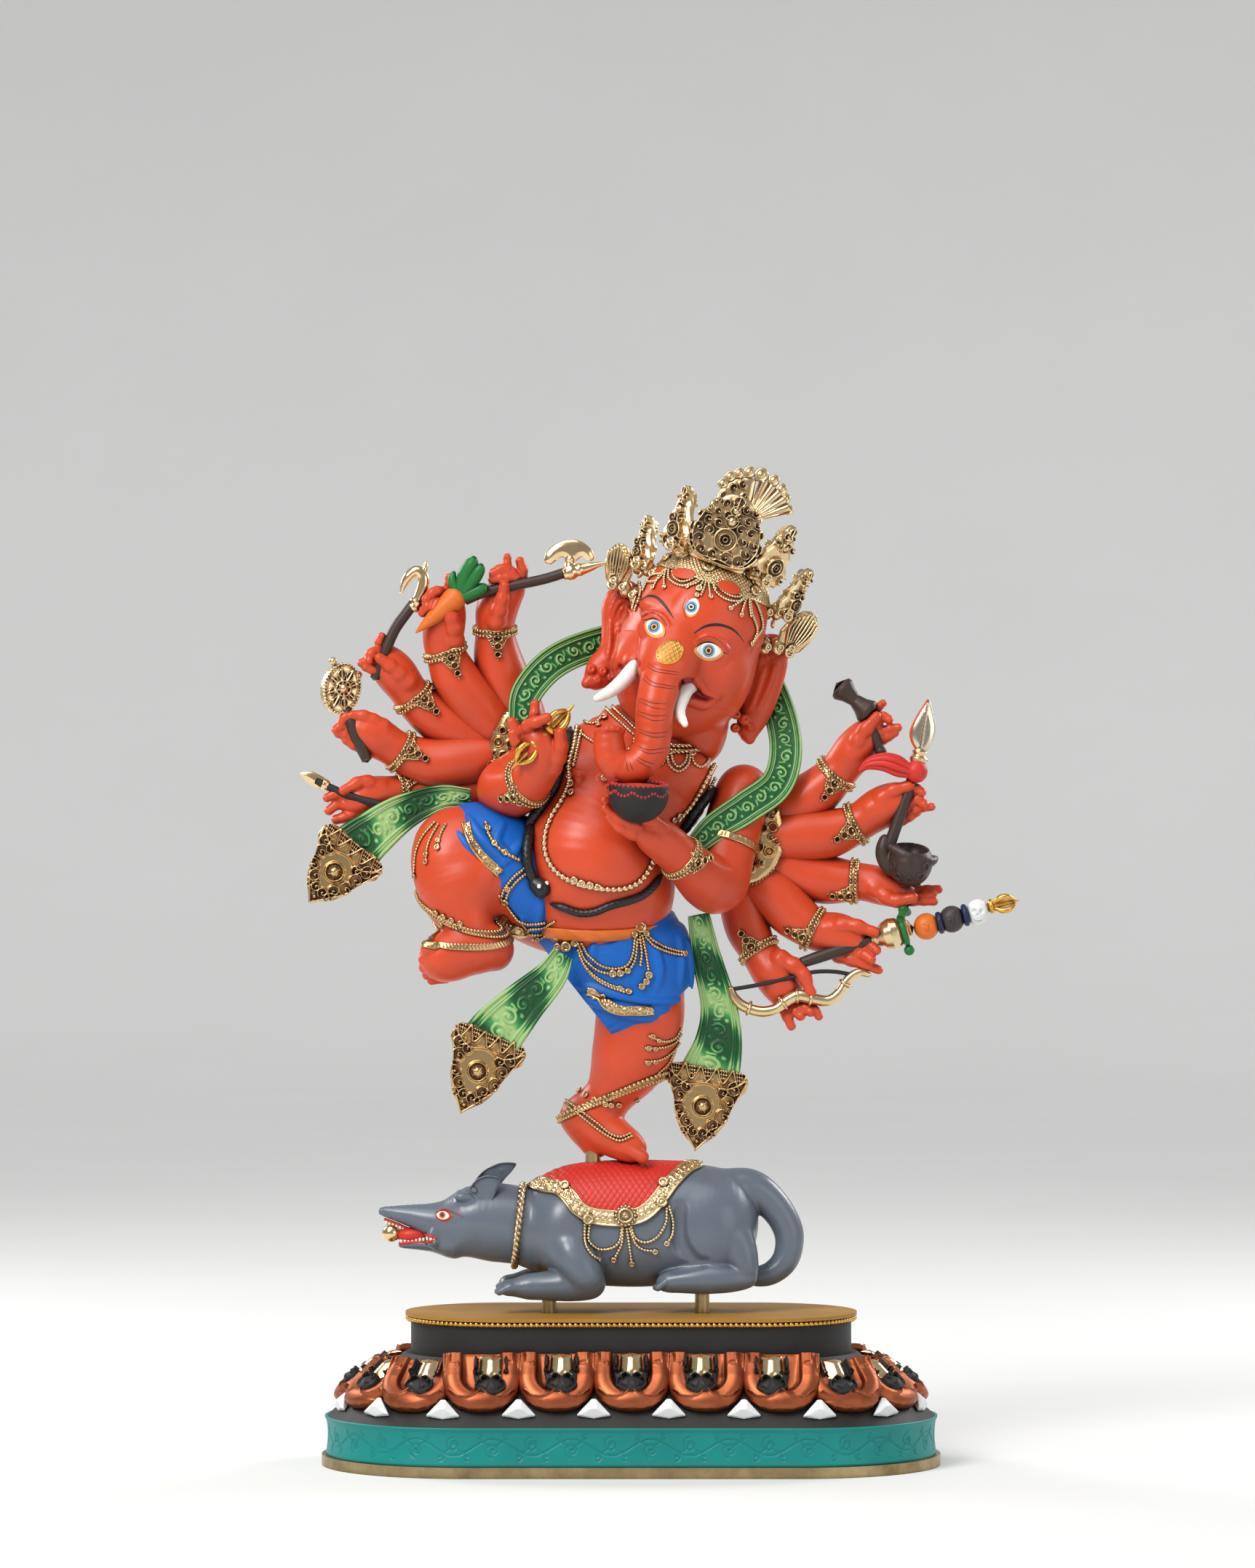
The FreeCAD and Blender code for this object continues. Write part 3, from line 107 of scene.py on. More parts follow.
def spaced(points, pitch):
    """Points along a smooth curve, about pitch apart."""
    rough = spline(points, 60)
    return spline(points, max(2, round(length_of(rough) / pitch) + 1))


def turned(v, axis, degrees):
    """v turned about axis by degrees."""
    return np.array(Matrix.Rotation(math.radians(degrees), 3, Vector(axis)) @ Vector(v))


def into_view(points):
    """Points given as they appear at the statue's middle plane, moved to their true place."""
    p = np.array(points, float)
    scale = (p[..., 1:2] - EYE[1]) / -EYE[1]
    p[..., [0, 2]] = EYE[[0, 2]] + (p[..., [0, 2]] - EYE[[0, 2]]) * scale
    return p


def flat_line(points, pitch):
    """A smooth curve through (x, z) places, as places about pitch apart."""
    return spaced([(*p, 0) for p in points], pitch)[:, :2]


def closed_line(points, pitch):
    """A smooth closed outline through (x, z) places; its first point isn't repeated at its end."""
    return flat_line([*points, points[0]], pitch)[:-1]


def run_of(line):
    """How far along a line each of its points is."""
    return np.concatenate([[0], np.cumsum(np.linalg.norm(np.diff(line, axis=0), axis=1))])


def smooth_line(line, turns):
    """Evens out a line's inner points in place, turns times."""
    for _ in range(turns):
        line[1:-1] = (line[:-2] + line[1:-1] * 2 + line[2:]) / 4


# ------------------------------------------------------------------ clay: a distance field


def smooth_min(a, b, blend):
    """The smaller of a and b, rounded where they meet."""
    if blend <= 0:
        return np.minimum(a, b)
    h = np.maximum(blend - np.abs(a - b), 0) / blend
    return np.minimum(a, b) - h * h * blend / 4


class Clay:
    """A distance field on a grid, built up from round shapes."""

    FAR = 9.0

    def __init__(self, low, high, step=None):
        self.step = step or CLAY_STEP
        self.low = np.array(low, float)
        counts = np.ceil((np.array(high, float) - self.low) / self.step).astype(int) + 1
        self.d = np.full(tuple(counts), self.FAR, np.float32)

    def near(self, low, high):
        """The part of the grid in a box, and its coordinates."""
        a = np.clip(np.floor((low - self.low) / self.step).astype(int), 0, self.d.shape)
        b = np.clip(np.ceil((high - self.low) / self.step).astype(int) + 1, 0, self.d.shape)
        axes = [self.low[k] + self.step * np.arange(a[k], b[k]) for k in range(3)]
        window = tuple(slice(a[k], b[k]) for k in range(3))
        return window, np.meshgrid(*axes, indexing="ij", sparse=True)

    def join(self, window, d, blend, carve):
        """Adds a shape's distances to the field, or carves the shape away."""
        old = self.d[window]
        if carve:
            self.d[window] = -smooth_min(-old, d, blend)
        else:
            self.d[window] = smooth_min(old, d, blend)

    def cone(self, a, b, ra, rb, blend=2.0, carve=False):
        """A round bar from a to b whose radius goes from ra to rb."""
        a, b = np.asarray(a, float), np.asarray(b, float)
        reach = max(ra, rb) + 5
        window, (x, y, z) = self.near(np.minimum(a, b) - reach, np.maximum(a, b) + reach)
        if 0 in self.d[window].shape:
            return self
        along = b - a
        square = max(float(along @ along), 1e-9)
        t = np.clip(((x - a[0]) * along[0] + (y - a[1]) * along[1] + (z - a[2]) * along[2]) / square, 0, 1)
        gap = np.sqrt(
            (x - a[0] - t * along[0]) ** 2 + (y - a[1] - t * along[1]) ** 2 + (z - a[2] - t * along[2]) ** 2
        )
        self.join(window, (gap - (ra + t * (rb - ra))).astype(np.float32), blend, carve)
        return self

    def chain(self, points, blend=2.0, carve=False, pitch=3.0):
        """A bar along a smooth curve through (x, y, z, radius) points."""
        p = spaced(points, pitch)
        for a, b in zip(p[:-1], p[1:]):
            self.cone(a[:3], b[:3], a[3], b[3], blend, carve)
        return self

    def egg(self, centre, radii, blend=2.0, axes=None, carve=False):
        """An ellipsoid; axes is a matrix whose columns are its own directions."""
        centre, radii = np.asarray(centre, float), np.asarray(radii, float)
        turn = np.eye(3) if axes is None else np.asarray(axes, float)
        reach = max(radii) + 5
        window, (x, y, z) = self.near(centre - reach, centre + reach)
        if 0 in self.d[window].shape:
            return self
        p = [
            (x - centre[0]) * turn[0, k] + (y - centre[1]) * turn[1, k] + (z - centre[2]) * turn[2, k]
            for k in range(3)
        ]
        k0 = np.sqrt(sum((p[k] / radii[k]) ** 2 for k in range(3)))
        k1 = np.sqrt(sum((p[k] / radii[k] ** 2) ** 2 for k in range(3))) + 1e-9
        self.join(window, (k0 * (k0 - 1) / k1).astype(np.float32), blend, carve)
        return self

    def slice(self, a, b, blend, axes, cap):
        """An elliptical bar from ring a to ring b, rings being (x, y, z, half width, half depth)."""
        reach = max(*a[3:], *b[3:]) + 5
        window, (x, y, z) = self.near(np.minimum(a[:3], b[:3]) - reach, np.maximum(a[:3], b[:3]) + reach)
        if 0 in self.d[window].shape:
            return
        span = float(np.linalg.norm(b[:3] - a[:3])) + 1e-9
        p = [(x - a[0]) * axes[0, k] + (y - a[1]) * axes[1, k] + (z - a[2]) * axes[2, k] for k in range(3)]
        t = np.clip(p[2] / span, 0, 1)
        over = p[2] - t * span
        wide, deep = a[3] + (b[3] - a[3]) * t, a[4] + (b[4] - a[4]) * t
        end = np.minimum(wide, deep) * cap
        k0 = np.sqrt((p[0] / wide) ** 2 + (p[1] / deep) ** 2 + (over / end) ** 2)
        k1 = np.sqrt((p[0] / wide**2) ** 2 + (p[1] / deep**2) ** 2 + (over / end**2) ** 2) + 1e-9
        self.join(window, (k0 * (k0 - 1) / k1).astype(np.float32), blend, False)

    def loft(self, rings, blend=4.0, pitch=4.0, cap=0.5):
        """An elliptical body along a smooth curve: rings of (x, y, z, half width, half depth)."""
        body = Clay.__new__(Clay)
        body.step, body.low, body.d = self.step, self.low, np.full_like(self.d, self.FAR)
        p = spaced(rings, pitch)
        for a, b in zip(p[:-1], p[1:]):
            way = unit(b[:3] - a[:3])
            body.slice(a, b, 1.5, frame_of(way, FRONT if abs(way[1]) < 0.8 else UP), cap)
        self.d = smooth_min(self.d, body.d, blend)
        return self

    def sample(self, points):
        """The field at points, by linear interpolation."""
        g = (np.asarray(points, float) - self.low) / self.step
        g = np.clip(g, 0, np.array(self.d.shape) - 1.001)
        i = g.astype(int)
        f = g - i
        total = 0
        for corner in range(8):
            o = np.array([(corner >> k) & 1 for k in range(3)])
            weight = np.prod(np.where(o, f, 1 - f), axis=-1)
            j = i + o
            total = total + weight * self.d[j[..., 0], j[..., 1], j[..., 2]]
        return total

    def normal(self, points):
        """The outward direction at points."""
        p = np.asarray(points, float)
        e = self.step * 1.5
        return unit(np.stack([self.sample(p + e * a) - self.sample(p - e * a) for a in np.eye(3)], axis=-1))

    def meet(self, starts, directions, reach, turns=34):
        """Where rays first enter the clay; where one misses, its nearest point to it."""
        starts = np.asarray(starts, float)
        directions = np.broadcast_to(np.asarray(directions, float), starts.shape)
        at = np.zeros(len(starts))
        nearest, best = at.copy(), np.full(len(starts), 1e9)
        for _ in range(turns):
            d = self.sample(starts + directions * at[:, None])
            closer = np.abs(d) < best
            best, nearest = np.where(closer, np.abs(d), best), np.where(closer, at, nearest)
            at = np.clip(at + d * 0.82, 0, reach)
        return starts + directions * nearest[:, None]

    def front(self, places, proud=0.0):
        """The clay's front at (x, z) places as they appear to the viewer, moved out by proud."""
        places = np.asarray(places, float)
        y = np.full(len(places), self.low[1])
        near = into_view(np.stack([places[:, 0], y, places[:, 1]], axis=-1))
        far_y = np.full(len(places), self.low[1] + self.step * self.d.shape[1])
        far = into_view(np.stack([places[:, 0], far_y, places[:, 1]], axis=-1))
        way = unit(far - near)
        hit = self.meet(near, way, float(np.linalg.norm(far[0] - near[0])))
        return hit + self.normal(hit) * proud

    def drape(self, shape):
        """A shape given in x, z as seen by the viewer and height, laid on the clay's front."""
        points, faces = shape
        hit = self.front(points[:, :2])
        return hit + self.normal(hit) * points[:, 2:], faces

    def lay(self, shape, at, axes, reach=16.0):
        """A flat shape, its plane through at with the axes' right and up, pressed on to the clay."""
        points, faces = shape
        start = np.asarray(at, float) + points[:, :1] * axes[:, 0] + points[:, 1:2] * axes[:, 1]
        hit = self.meet(start + axes[:, 2] * reach, -axes[:, 2], reach * 2)
        return hit + self.normal(hit) * points[:, 2:], faces

    def around(self, centre, axis, reach=26.0, count=72):
        """A closed loop round a limb, on its surface, in the plane through centre across axis."""
        axes = frame_of(axis, FRONT)
        turn = np.linspace(0, 2 * math.pi, count, endpoint=False)
        out = np.outer(np.cos(turn), axes[:, 1]) + np.outer(np.sin(turn), axes[:, 0])
        return self.meet(np.asarray(centre, float) + out * reach, -out, reach)

    def band(self, path, half, lift, columns, closed=False, sink=0.6, thick=0.0):
        """A strip lying on the clay along a path on its surface; lift(distance, u) is its relief."""
        path = np.asarray(path, float)
        if closed:
            along = unit(np.roll(path, -1, 0) - np.roll(path, 1, 0))
        else:
            along = unit(np.gradient(path, axis=0))
        normal = self.normal(path)
        across = unit(np.cross(normal, along))
        distance = run_of(path)
        u = np.linspace(-1, 1, columns)
        half = np.broadcast_to(np.asarray(half, float), (len(path),))
        flat = path[:, None] + across[:, None] * (half[:, None] * u)[..., None]
        out = np.broadcast_to(normal[:, None], flat.shape).reshape(-1, 3)
        hit = self.meet(flat.reshape(-1, 3) + out * 7, -out, 14)
        rise = self.normal(hit)
        height = thick + lift(*np.meshgrid(distance, u, indexing="ij")).reshape(-1, 1)
        top = (hit + rise * height).reshape(len(path), columns, 3)
        return slab(top, (hit - rise * sink).reshape(top.shape), closed)

    def mesh(self):
        """The surface as (vertices, faces)."""
        grid = openvdb.FloatGrid(self.FAR)
        grid.copyFromArray(self.d)
        points, triangles, quads = grid.convertToPolygons(isovalue=0.0, adaptivity=0.0)
        points = self.low + points * self.step
        faces = [quads] + ([np.column_stack([triangles, triangles[:, 2]])] if len(triangles) else [])
        return points, np.vstack(faces)


# ------------------------------------------------------------------ meshes


class Heap:
    """Vertices and faces gathered from many shapes, to become one piece."""

    def __init__(self):
        self.points, self.faces, self.count = [], [], 0

    def add(self, points, faces):
        """Adds a shape; faces are rows of four indices, a triangle's last one twice."""
        self.points.append(np.asarray(points, float))
        self.faces.append(np.asarray(faces, int) + self.count)
        self.count += len(points)
        return self

    def arrays(self):
        """All vertices and all faces."""
        return np.vstack(self.points), np.vstack(self.faces)


def grid_faces(rows, columns, wrap_rows=False, wrap_columns=False):
    """Quads of a grid of vertices, numbered row by row."""
    r = np.arange(rows if wrap_rows else rows - 1)
    c = np.arange(columns if wrap_columns else columns - 1)
    r, c = np.meshgrid(r, c, indexing="ij")
    r2, c2 = (r + 1) % rows, (c + 1) % columns
    quads = [r * columns + c, r2 * columns + c, r2 * columns + c2, r * columns + c2]
    return np.stack(quads, axis=-1).reshape(-1, 4)


def tube(points, radius, sides=8, closed=False):
    """A round bar along a polyline; radius is one number or one per point."""
    p = np.asarray(points, float)[:, :3]
    radii = np.broadcast_to(np.asarray(radius, float), (len(p),))
    if closed:
        tangent = unit(np.roll(p, -1, 0) - np.roll(p, 1, 0))
    else:
        tangent = unit(np.gradient(p, axis=0))
    side = unit(np.cross(tangent[0], vec(0.31, 0.42, 0.85)))
    around = np.linspace(0, 2 * math.pi, sides, endpoint=False)
    rings = []
    for i, direction in enumerate(tangent):
        side = unit(side - direction * (side @ direction))
        other = np.cross(direction, side)
        ring = p[i] + radii[i] * (np.outer(np.cos(around), side) + np.outer(np.sin(around), other))
        rings.append(ring)
    points = np.vstack(rings)
    faces = grid_faces(len(p), sides, closed, True)
    if closed:
        return points, faces
    ends = [p[0] - tangent[0] * radii[0] * 0.5, p[-1] + tangent[-1] * radii[-1] * 0.5]
    first, last = len(points), len(points) + 1
    k = np.arange(sides)
    k2 = (k + 1) % sides
    start_cap = np.column_stack([np.full(sides, first), k2, k, k])
    base = (len(p) - 1) * sides
    end_cap = np.column_stack([np.full(sides, last), base + k, base + k2, base + k2])
    return np.vstack([points, ends]), np.vstack([faces, start_cap, end_cap])


def ball(sides=10, rings=6):
    """A unit sphere."""
    v = np.linspace(0, math.pi, rings + 1)[1:-1]
    u = np.linspace(0, 2 * math.pi, sides, endpoint=False)
    v, u = np.meshgrid(v, u, indexing="ij")
    body = np.stack([np.sin(v) * np.cos(u), np.sin(v) * np.sin(u), np.cos(v)], axis=-1).reshape(-1, 3)
    faces = grid_faces(rings - 1, sides, False, True)
    top, bottom = len(body), len(body) + 1
    k = np.arange(sides)
    k2 = (k + 1) % sides
    low = (rings - 2) * sides
    caps = [np.column_stack([np.full(sides, top), k, k2, k2])]
    caps.append(np.column_stack([np.full(sides, bottom), low + k2, low + k, low + k]))
    return np.vstack([body, [[0, 0, 1], [0, 0, -1]]]), np.vstack([faces] + caps)


BALL = ball()
SMALL_BALL = ball(8, 5)


def torus(major, minor, around=20, sides=8):
    """A ring in the XY plane."""
    u = np.linspace(0, 2 * math.pi, around, endpoint=False)
    v = np.linspace(0, 2 * math.pi, sides, endpoint=False)
    u, v = np.meshgrid(u, v, indexing="ij")
    out = major + minor * np.cos(v)
    points = np.stack([out * np.cos(u), out * np.sin(u), minor * np.sin(v)], axis=-1).reshape(-1, 3)
    return points, grid_faces(around, sides, True, True)


def placed(shape, at, axes=None, scale=1.0):
    """A copy of a shape scaled, turned and moved."""
    points, faces = shape
    p = points * np.asarray(scale, float)
    if axes is not None:
        p = p @ np.asarray(axes).T
    return p + np.asarray(at, float), faces


def beads(heap, points, radius, pitch=None):
    """Beads along a curve, closed up so that they touch."""
    for p in spaced(points, pitch or radius * 1.85):
        heap.add(*placed(SMALL_BALL, p[:3], None, (radius, radius, radius)))
    return heap


def cord_of_beads(heap, points, radius):
    """A string of beads with a thin core that holds it together."""
    beads(heap, points, radius)
    heap.add(*tube(spaced(points, radius * 2), radius * 0.55, 6))
    return heap


def bezel(heap, at, normal, radius):
    """A small cast setting: a ring with a dished middle, on a low round seat."""
    axes = frame_of(normal, UP)
    at = np.asarray(at, float)
    heap.add(*placed(torus(radius * 0.72, radius * 0.3, 16, 8), at + axes[:, 2] * radius * 0.25, axes))
    heap.add(*placed(BALL, at, axes, (radius * 0.85, radius * 0.85, radius * 0.28)))
    return heap


def rosette(heap, at, normal, radius):
    """A large round setting: bead border, ring and a domed middle with a pit."""
    axes = frame_of(normal, UP)
    at = np.asarray(at, float)
    out = axes[:, 2]
    heap.add(*placed(BALL, at, axes, (radius, radius, radius * 0.28)))
    heap.add(*placed(torus(radius * 0.62, radius * 0.13, 22, 8), at + out * radius * 0.3, axes))
    heap.add(*placed(BALL, at + out * radius * 0.22, axes, (radius * 0.4, radius * 0.4, radius * 0.3)))
    heap.add(*placed(torus(radius * 0.17, radius * 0.07, 12, 6), at + out * radius * 0.5, axes))
    count = 16
    for k in range(count):
        angle = 2 * math.pi * k / count
        edge = axes[:, 0] * math.cos(angle) + axes[:, 1] * math.sin(angle)
        heap.add(*placed(SMALL_BALL, at + edge * radius * 0.9 + out * radius * 0.12, None, radius * 0.15))
    return heap


def slab(top, bottom, closed=False):
    """A solid between two grids of points; closed joins the first row to the last."""
    rows, columns = top.shape[:2]
    points = np.vstack([top.reshape(-1, 3), bottom.reshape(-1, 3)])
    faces = grid_faces(rows, columns, closed)
    under = faces[:, ::-1] + rows * columns
    index = np.arange(rows * columns).reshape(rows, columns)
    if closed:
        rims = [np.append(index[:, 0], index[0, 0]), np.append(index[:, -1], index[0, -1])[::-1]]
    else:
        rims = [np.concatenate([index[:, 0], index[-1, 1:], index[-2::-1, -1], index[0, -2::-1]])]
    walls = [
        np.column_stack([r[:-1], r[1:], r[1:] + rows * columns, r[:-1] + rows * columns])
        for r in rims
    ]
    return points, np.vstack([faces[:, ::-1], under[:, ::-1]] + walls)


def ribbon(centres, across, half, thick, lift=None, columns=25):
    """A band of cloth: centre points, directions across it, half widths, thickness and relief.

    lift(s, u) gives the front's height over a flat band, s from 0 to 1 along and u from -1 to 1
    across. Returns the mesh and the relief of each vertex.
    """
    centres, across = np.asarray(centres, float), unit(across)
    along = unit(np.gradient(centres, axis=0))
    normal = unit(np.cross(across, along))
    u = np.linspace(-1, 1, columns)
    ss, uu = np.meshgrid(np.linspace(0, 1, len(centres)), u, indexing="ij")
    flat = centres[:, None] + across[:, None] * (np.asarray(half)[:, None] * u)[..., None]
    height = lift(ss, uu) if lift else np.zeros_like(ss)
    top = flat + normal[:, None] * (thick / 2 + height)[..., None]
    bottom = flat - normal[:, None] * (thick / 2 - height * 0.8)[..., None]
    return slab(top, bottom), np.concatenate([height.ravel(), -height.ravel()])


def patch(outline, rise, sink=0.5):
    """A thin closed patch in x, y and height, filling an outline round its middle."""
    edge = np.asarray(outline, float)
    middle = edge.mean(axis=0)
    inner = [(k / 8, rise) for k in range(8)]
    shares = (*inner, (0.94, rise), (0.98, rise * 0.6), (1.0, -sink), (0.5, -sink), (0.0, -sink))
    rings = []
    for share, height in shares:
        ring = middle + (edge - middle) * share
        rings.append(np.column_stack([ring, np.full(len(ring), height)]))
    return np.vstack(rings), grid_faces(len(shares), len(edge), False, True)[:, ::-1]


def mirror_y(shape):
    """The shape's image on the other side of the middle plane y = 0."""
    points, faces = shape
    return points * vec(1, -1, 1), np.asarray(faces)[:, ::-1]


# ------------------------------------------------------------------ relief: cast ornament


class Relief:
    """A height map on a flat plate, made of ridges, scrolls and domes, that becomes a solid."""

    def __init__(self, width, height, step=None, low=None):
        self.step = step or RELIEF_STEP
        self.low = np.array(low if low is not None else (-width / 2, 0.0), float)
        nx, ny = int(width / self.step) + 3, int(height / self.step) + 3
        self.x = self.low[0] - self.step + self.step * np.arange(nx)[:, None] + 0 * np.arange(ny)[None, :]
        self.y = self.low[1] - self.step + self.step * np.arange(ny)[None, :] + 0 * np.arange(nx)[:, None]
        self.h = np.zeros_like(self.x)
        self.edge = np.full_like(self.x, -50.0)

    def plate(self, outline, rise=0.0):
        """The plate's outline, as points of a polygon; inside it the plate rises by rise."""
        points = np.asarray(outline, float)
        ends = np.roll(points, -1, 0)
        gap = np.full_like(self.x, 1e9)
        inside = np.zeros(self.x.shape, bool)
        for (ax, ay), (bx, by) in zip(points, ends):
            dx, dy = bx - ax, by - ay
            t = np.clip(((self.x - ax) * dx + (self.y - ay) * dy) / (dx * dx + dy * dy + 1e-9), 0, 1)
            gap = np.minimum(gap, np.hypot(self.x - ax - t * dx, self.y - ay - t * dy))
            crosses = (ay > self.y) != (by > self.y)
            with np.errstate(divide="ignore", invalid="ignore"):
                left = self.x < (bx - ax) * (self.y - ay) / (by - ay) + ax
            inside ^= crosses & left
        d = np.where(inside, gap, -gap)
        self.edge = np.maximum(self.edge, d)
        self.h = np.maximum(self.h, rise * np.sqrt(np.clip(d / max(rise * 2, 1e-6), 0, 1)))
        return self

    def ridge(self, gap, width, rise):
        """A rounded ridge where gap, a distance map, is under half its width."""
        round_top = np.sqrt(np.clip(1 - (gap / (width / 2)) ** 2, 0, 1))
        self.h = np.maximum(self.h, rise * round_top)
        return self

    def line(self, points, width, rise):
        """A ridge along a smooth curve, its width one number or tapering from first to second."""
        p = spline(points, 40)
        gap = np.full_like(self.x, 1e9)
        share = np.zeros_like(self.x)
        for i, ((ax, ay), (bx, by)) in enumerate(zip(p[:-1, :2], p[1:, :2])):
            dx, dy = bx - ax, by - ay
            t = np.clip(((self.x - ax) * dx + (self.y - ay) * dy) / (dx * dx + dy * dy + 1e-9), 0, 1)
            g = np.hypot(self.x - ax - t * dx, self.y - ay - t * dy)
            share = np.where(g < gap, (i + t) / (len(p) - 1), share)
            gap = np.minimum(gap, g)
        wide = width if np.isscalar(width) else width[0] + (width[1] - width[0]) * share
        return self.ridge(gap, wide, rise)

    def scroll(self, x, y, size, turn=0.0, hand=1, width=1.1, rise=1.2, turns=1.6):
        """A curl that winds in from size, starting at angle turn, with a pearl at its heart."""
        rho = np.hypot(self.x - x, self.y - y)
        phi = hand * np.arctan2(self.y - y, self.x - x) - hand * math.radians(turn)
        gap = np.full_like(self.x, 1e9)
        for k in range(-1, int(turns) + 2):
            theta = phi + 2 * math.pi * k
            on = (theta >= 0) & (theta <= turns * 2 * math.pi)
            radius = size * np.clip(1 - theta / (turns * 2 * math.pi), 0, 1) ** 0.8 * on
            gap = np.where(on, np.minimum(gap, np.abs(rho - radius)), gap)
        self.ridge(gap, width, rise)
        return self.dome(x, y, size * 0.26, rise)

    def ring(self, x, y, radius, width, rise):
        """A round ridge."""
        return self.ridge(np.abs(np.hypot(self.x - x, self.y - y) - radius), width, rise)

    def dome(self, x, y, radius, rise):
        """A half ball."""
        return self.ridge(np.hypot(self.x - x, self.y - y), radius * 2, rise)

    def pit(self, x, y, radius, depth):
        """A round hollow."""
        gap = np.hypot(self.x - x, self.y - y) / radius
        self.h = self.h - depth * np.sqrt(np.clip(1 - gap**2, 0, 1))
        return self

    def pearls(self, points, radius, rise=None, pitch=None):
        """Half balls along a curve."""
        for p in spaced([(*q, 0) for q in points], pitch or radius * 1.9):
            self.dome(p[0], p[1], radius, rise or radius)
        return self

    def solid(self, back, shape=None):
        """The plate as a closed mesh, back thick under its lowest ground, in x, y and height."""
        step = self.step
        top = float(self.h.max()) + 3 * step
        bottom = -back - 3 * step
        z = np.arange(bottom, top, step)
        body = np.maximum(z[None, None] - self.h[..., None], -back - z[None, None])
        field = np.maximum(body, -self.edge[..., None] * 0.8).astype(np.float32)
        grid = openvdb.FloatGrid(5.0)
        grid.copyFromArray(field)
        points, _, quads = grid.convertToPolygons(isovalue=0.0, adaptivity=0.0)
        origin = vec(self.x[0, 0], self.y[0, 0], bottom)
        points = origin + points * step
        return (shape(points) if shape else points), quads


# ------------------------------------------------------------------ materials


class Look:
    """A procedural material, built node by node."""

    def __init__(self, name, roughness=0.5, metallic=0.0, coat=0.0, coat_roughness=0.2, specular=0.5):
        self.material = bpy.data.materials.new(name)
        self.material.use_nodes = True
        self.tree = self.material.node_tree
        self.shader = self.tree.nodes["Principled BSDF"]
        self.shader.inputs["Metallic"].default_value = metallic
        self.shader.inputs["Roughness"].default_value = roughness
        self.shader.inputs["Coat Weight"].default_value = coat
        self.shader.inputs["Coat Roughness"].default_value = coat_roughness
        self.shader.inputs["Specular IOR Level"].default_value = specular
        self.where = self.node("ShaderNodeTexCoord").outputs["Object"]

    def node(self, kind, **settings):
        """A node with its settings; inputs are given by their names with spaces as underscores."""
        made = self.tree.nodes.new(kind)
        for key, value in settings.items():
            if hasattr(made, key):
                setattr(made, key, value)
            else:
                made.inputs[key.replace("_", " ")].default_value = value
        return made

    def link(self, output, node, socket):
        """Connects an output to a node's input."""
        self.tree.links.new(output, node.inputs[socket])
        return node

    def noise(self, scale, detail=4.0, rough=0.6, stretch=None):
        """Noise in metres, its scale in cells per metre."""
        where = self.where
        if stretch is not None:
            mapping = self.node("ShaderNodeMapping")
            mapping.inputs["Scale"].default_value = stretch
            self.link(self.where, mapping, "Vector")
            where = mapping.outputs["Vector"]
        made = self.node("ShaderNodeTexNoise", Scale=scale, Detail=detail, Roughness=rough)
        self.link(where, made, "Vector")
        return made.outputs["Fac"]

    def ramp(self, value, stops):
        """A colour ramp: stops of (place, colour or grey)."""
        made = self.node("ShaderNodeValToRGB")
        elements = made.color_ramp.elements
        while len(elements) < len(stops):
            elements.new(0.5)
        for element, (place, colour) in zip(elements, stops):
            element.position = place
            element.color = (*colour, 1) if hasattr(colour, "__len__") else (colour, colour, colour, 1)
        self.link(value, made, "Fac")
        return made.outputs["Color"]

    def mix(self, share, first, second):
        """Two colours mixed by share, a number or an output."""
        made = self.node("ShaderNodeMix", data_type="RGBA", blend_type="MIX")
        made.inputs[0].default_value = share if np.isscalar(share) else 0.5
        if not np.isscalar(share):
            self.tree.links.new(share, made.inputs[0])
        for socket, colour in ((made.inputs[6], first), (made.inputs[7], second)):
            if hasattr(colour, "is_linked"):
                self.tree.links.new(colour, socket)
            else:
                socket.default_value = (*colour, 1)
        return made.outputs[2]

    def recess(self, reach, low=0.35, high=0.85):
        """One on open surfaces, going to nought in crevices narrower than reach in metres: the mask through
        which the paints paint shade into crevices.
        """
        made = self.node("ShaderNodeAmbientOcclusion", Distance=reach, samples=6)
        return self.ramp(made.outputs["AO"], [(low, 0.0), (high, 1.0)])

    def colour(self, output):
        """Sets the base colour."""
        return self.link(output, self.shader, "Base Color")

    def roughness(self, value, low, high):
        """Roughness that runs from low to high with value."""
        made = self.node("ShaderNodeMapRange")
        made.inputs["To Min"].default_value = low
        made.inputs["To Max"].default_value = high
        self.link(value, made, "Value")
        return self.link(made.outputs["Result"], self.shader, "Roughness")

    def bump(self, height, depth, strength=1.0):
        """Bumps of the given depth in metres."""
        made = self.node("ShaderNodeBump", Strength=strength, Distance=depth)
        self.link(height, made, "Height")
        self.link(made.outputs["Normal"], self.shader, "Normal")
        return made


def paint(name, light, dark, roughness=(0.34, 0.5), reach=0.006, brush=(1, 1, 1), coat=0.0, wear=None):
    """Hand-brushed paint: light on open surfaces, with painted shade in the dark colour in crevices, and
    brush marks and mottling.
    """
    look = Look(name, coat=coat, coat_roughness=0.25, specular=0.36)
    mottle = look.noise(38, 5)
    fine = look.noise(420, 3, 0.6, brush)
    body = look.mix(look.ramp(mottle, [(0.35, 0.0), (0.7, 1.0)]), light, [c * 0.86 for c in light])
    # painted shade: crevices narrower than reach are darkened to the dark colour
    open_part = look.recess(reach, 0.25, 0.8)
    colour = look.mix(open_part, dark, body)
    if wear:
        bare = look.ramp(look.noise(160, 6, 0.75), [(wear[1], 0.0), (wear[1] + 0.03, 1.0)])
        colour = look.mix(bare, colour, wear[0])
    look.colour(colour)
    look.roughness(mottle, *roughness)
    look.bump(fine, 0.00012, 0.55)
    return look.material


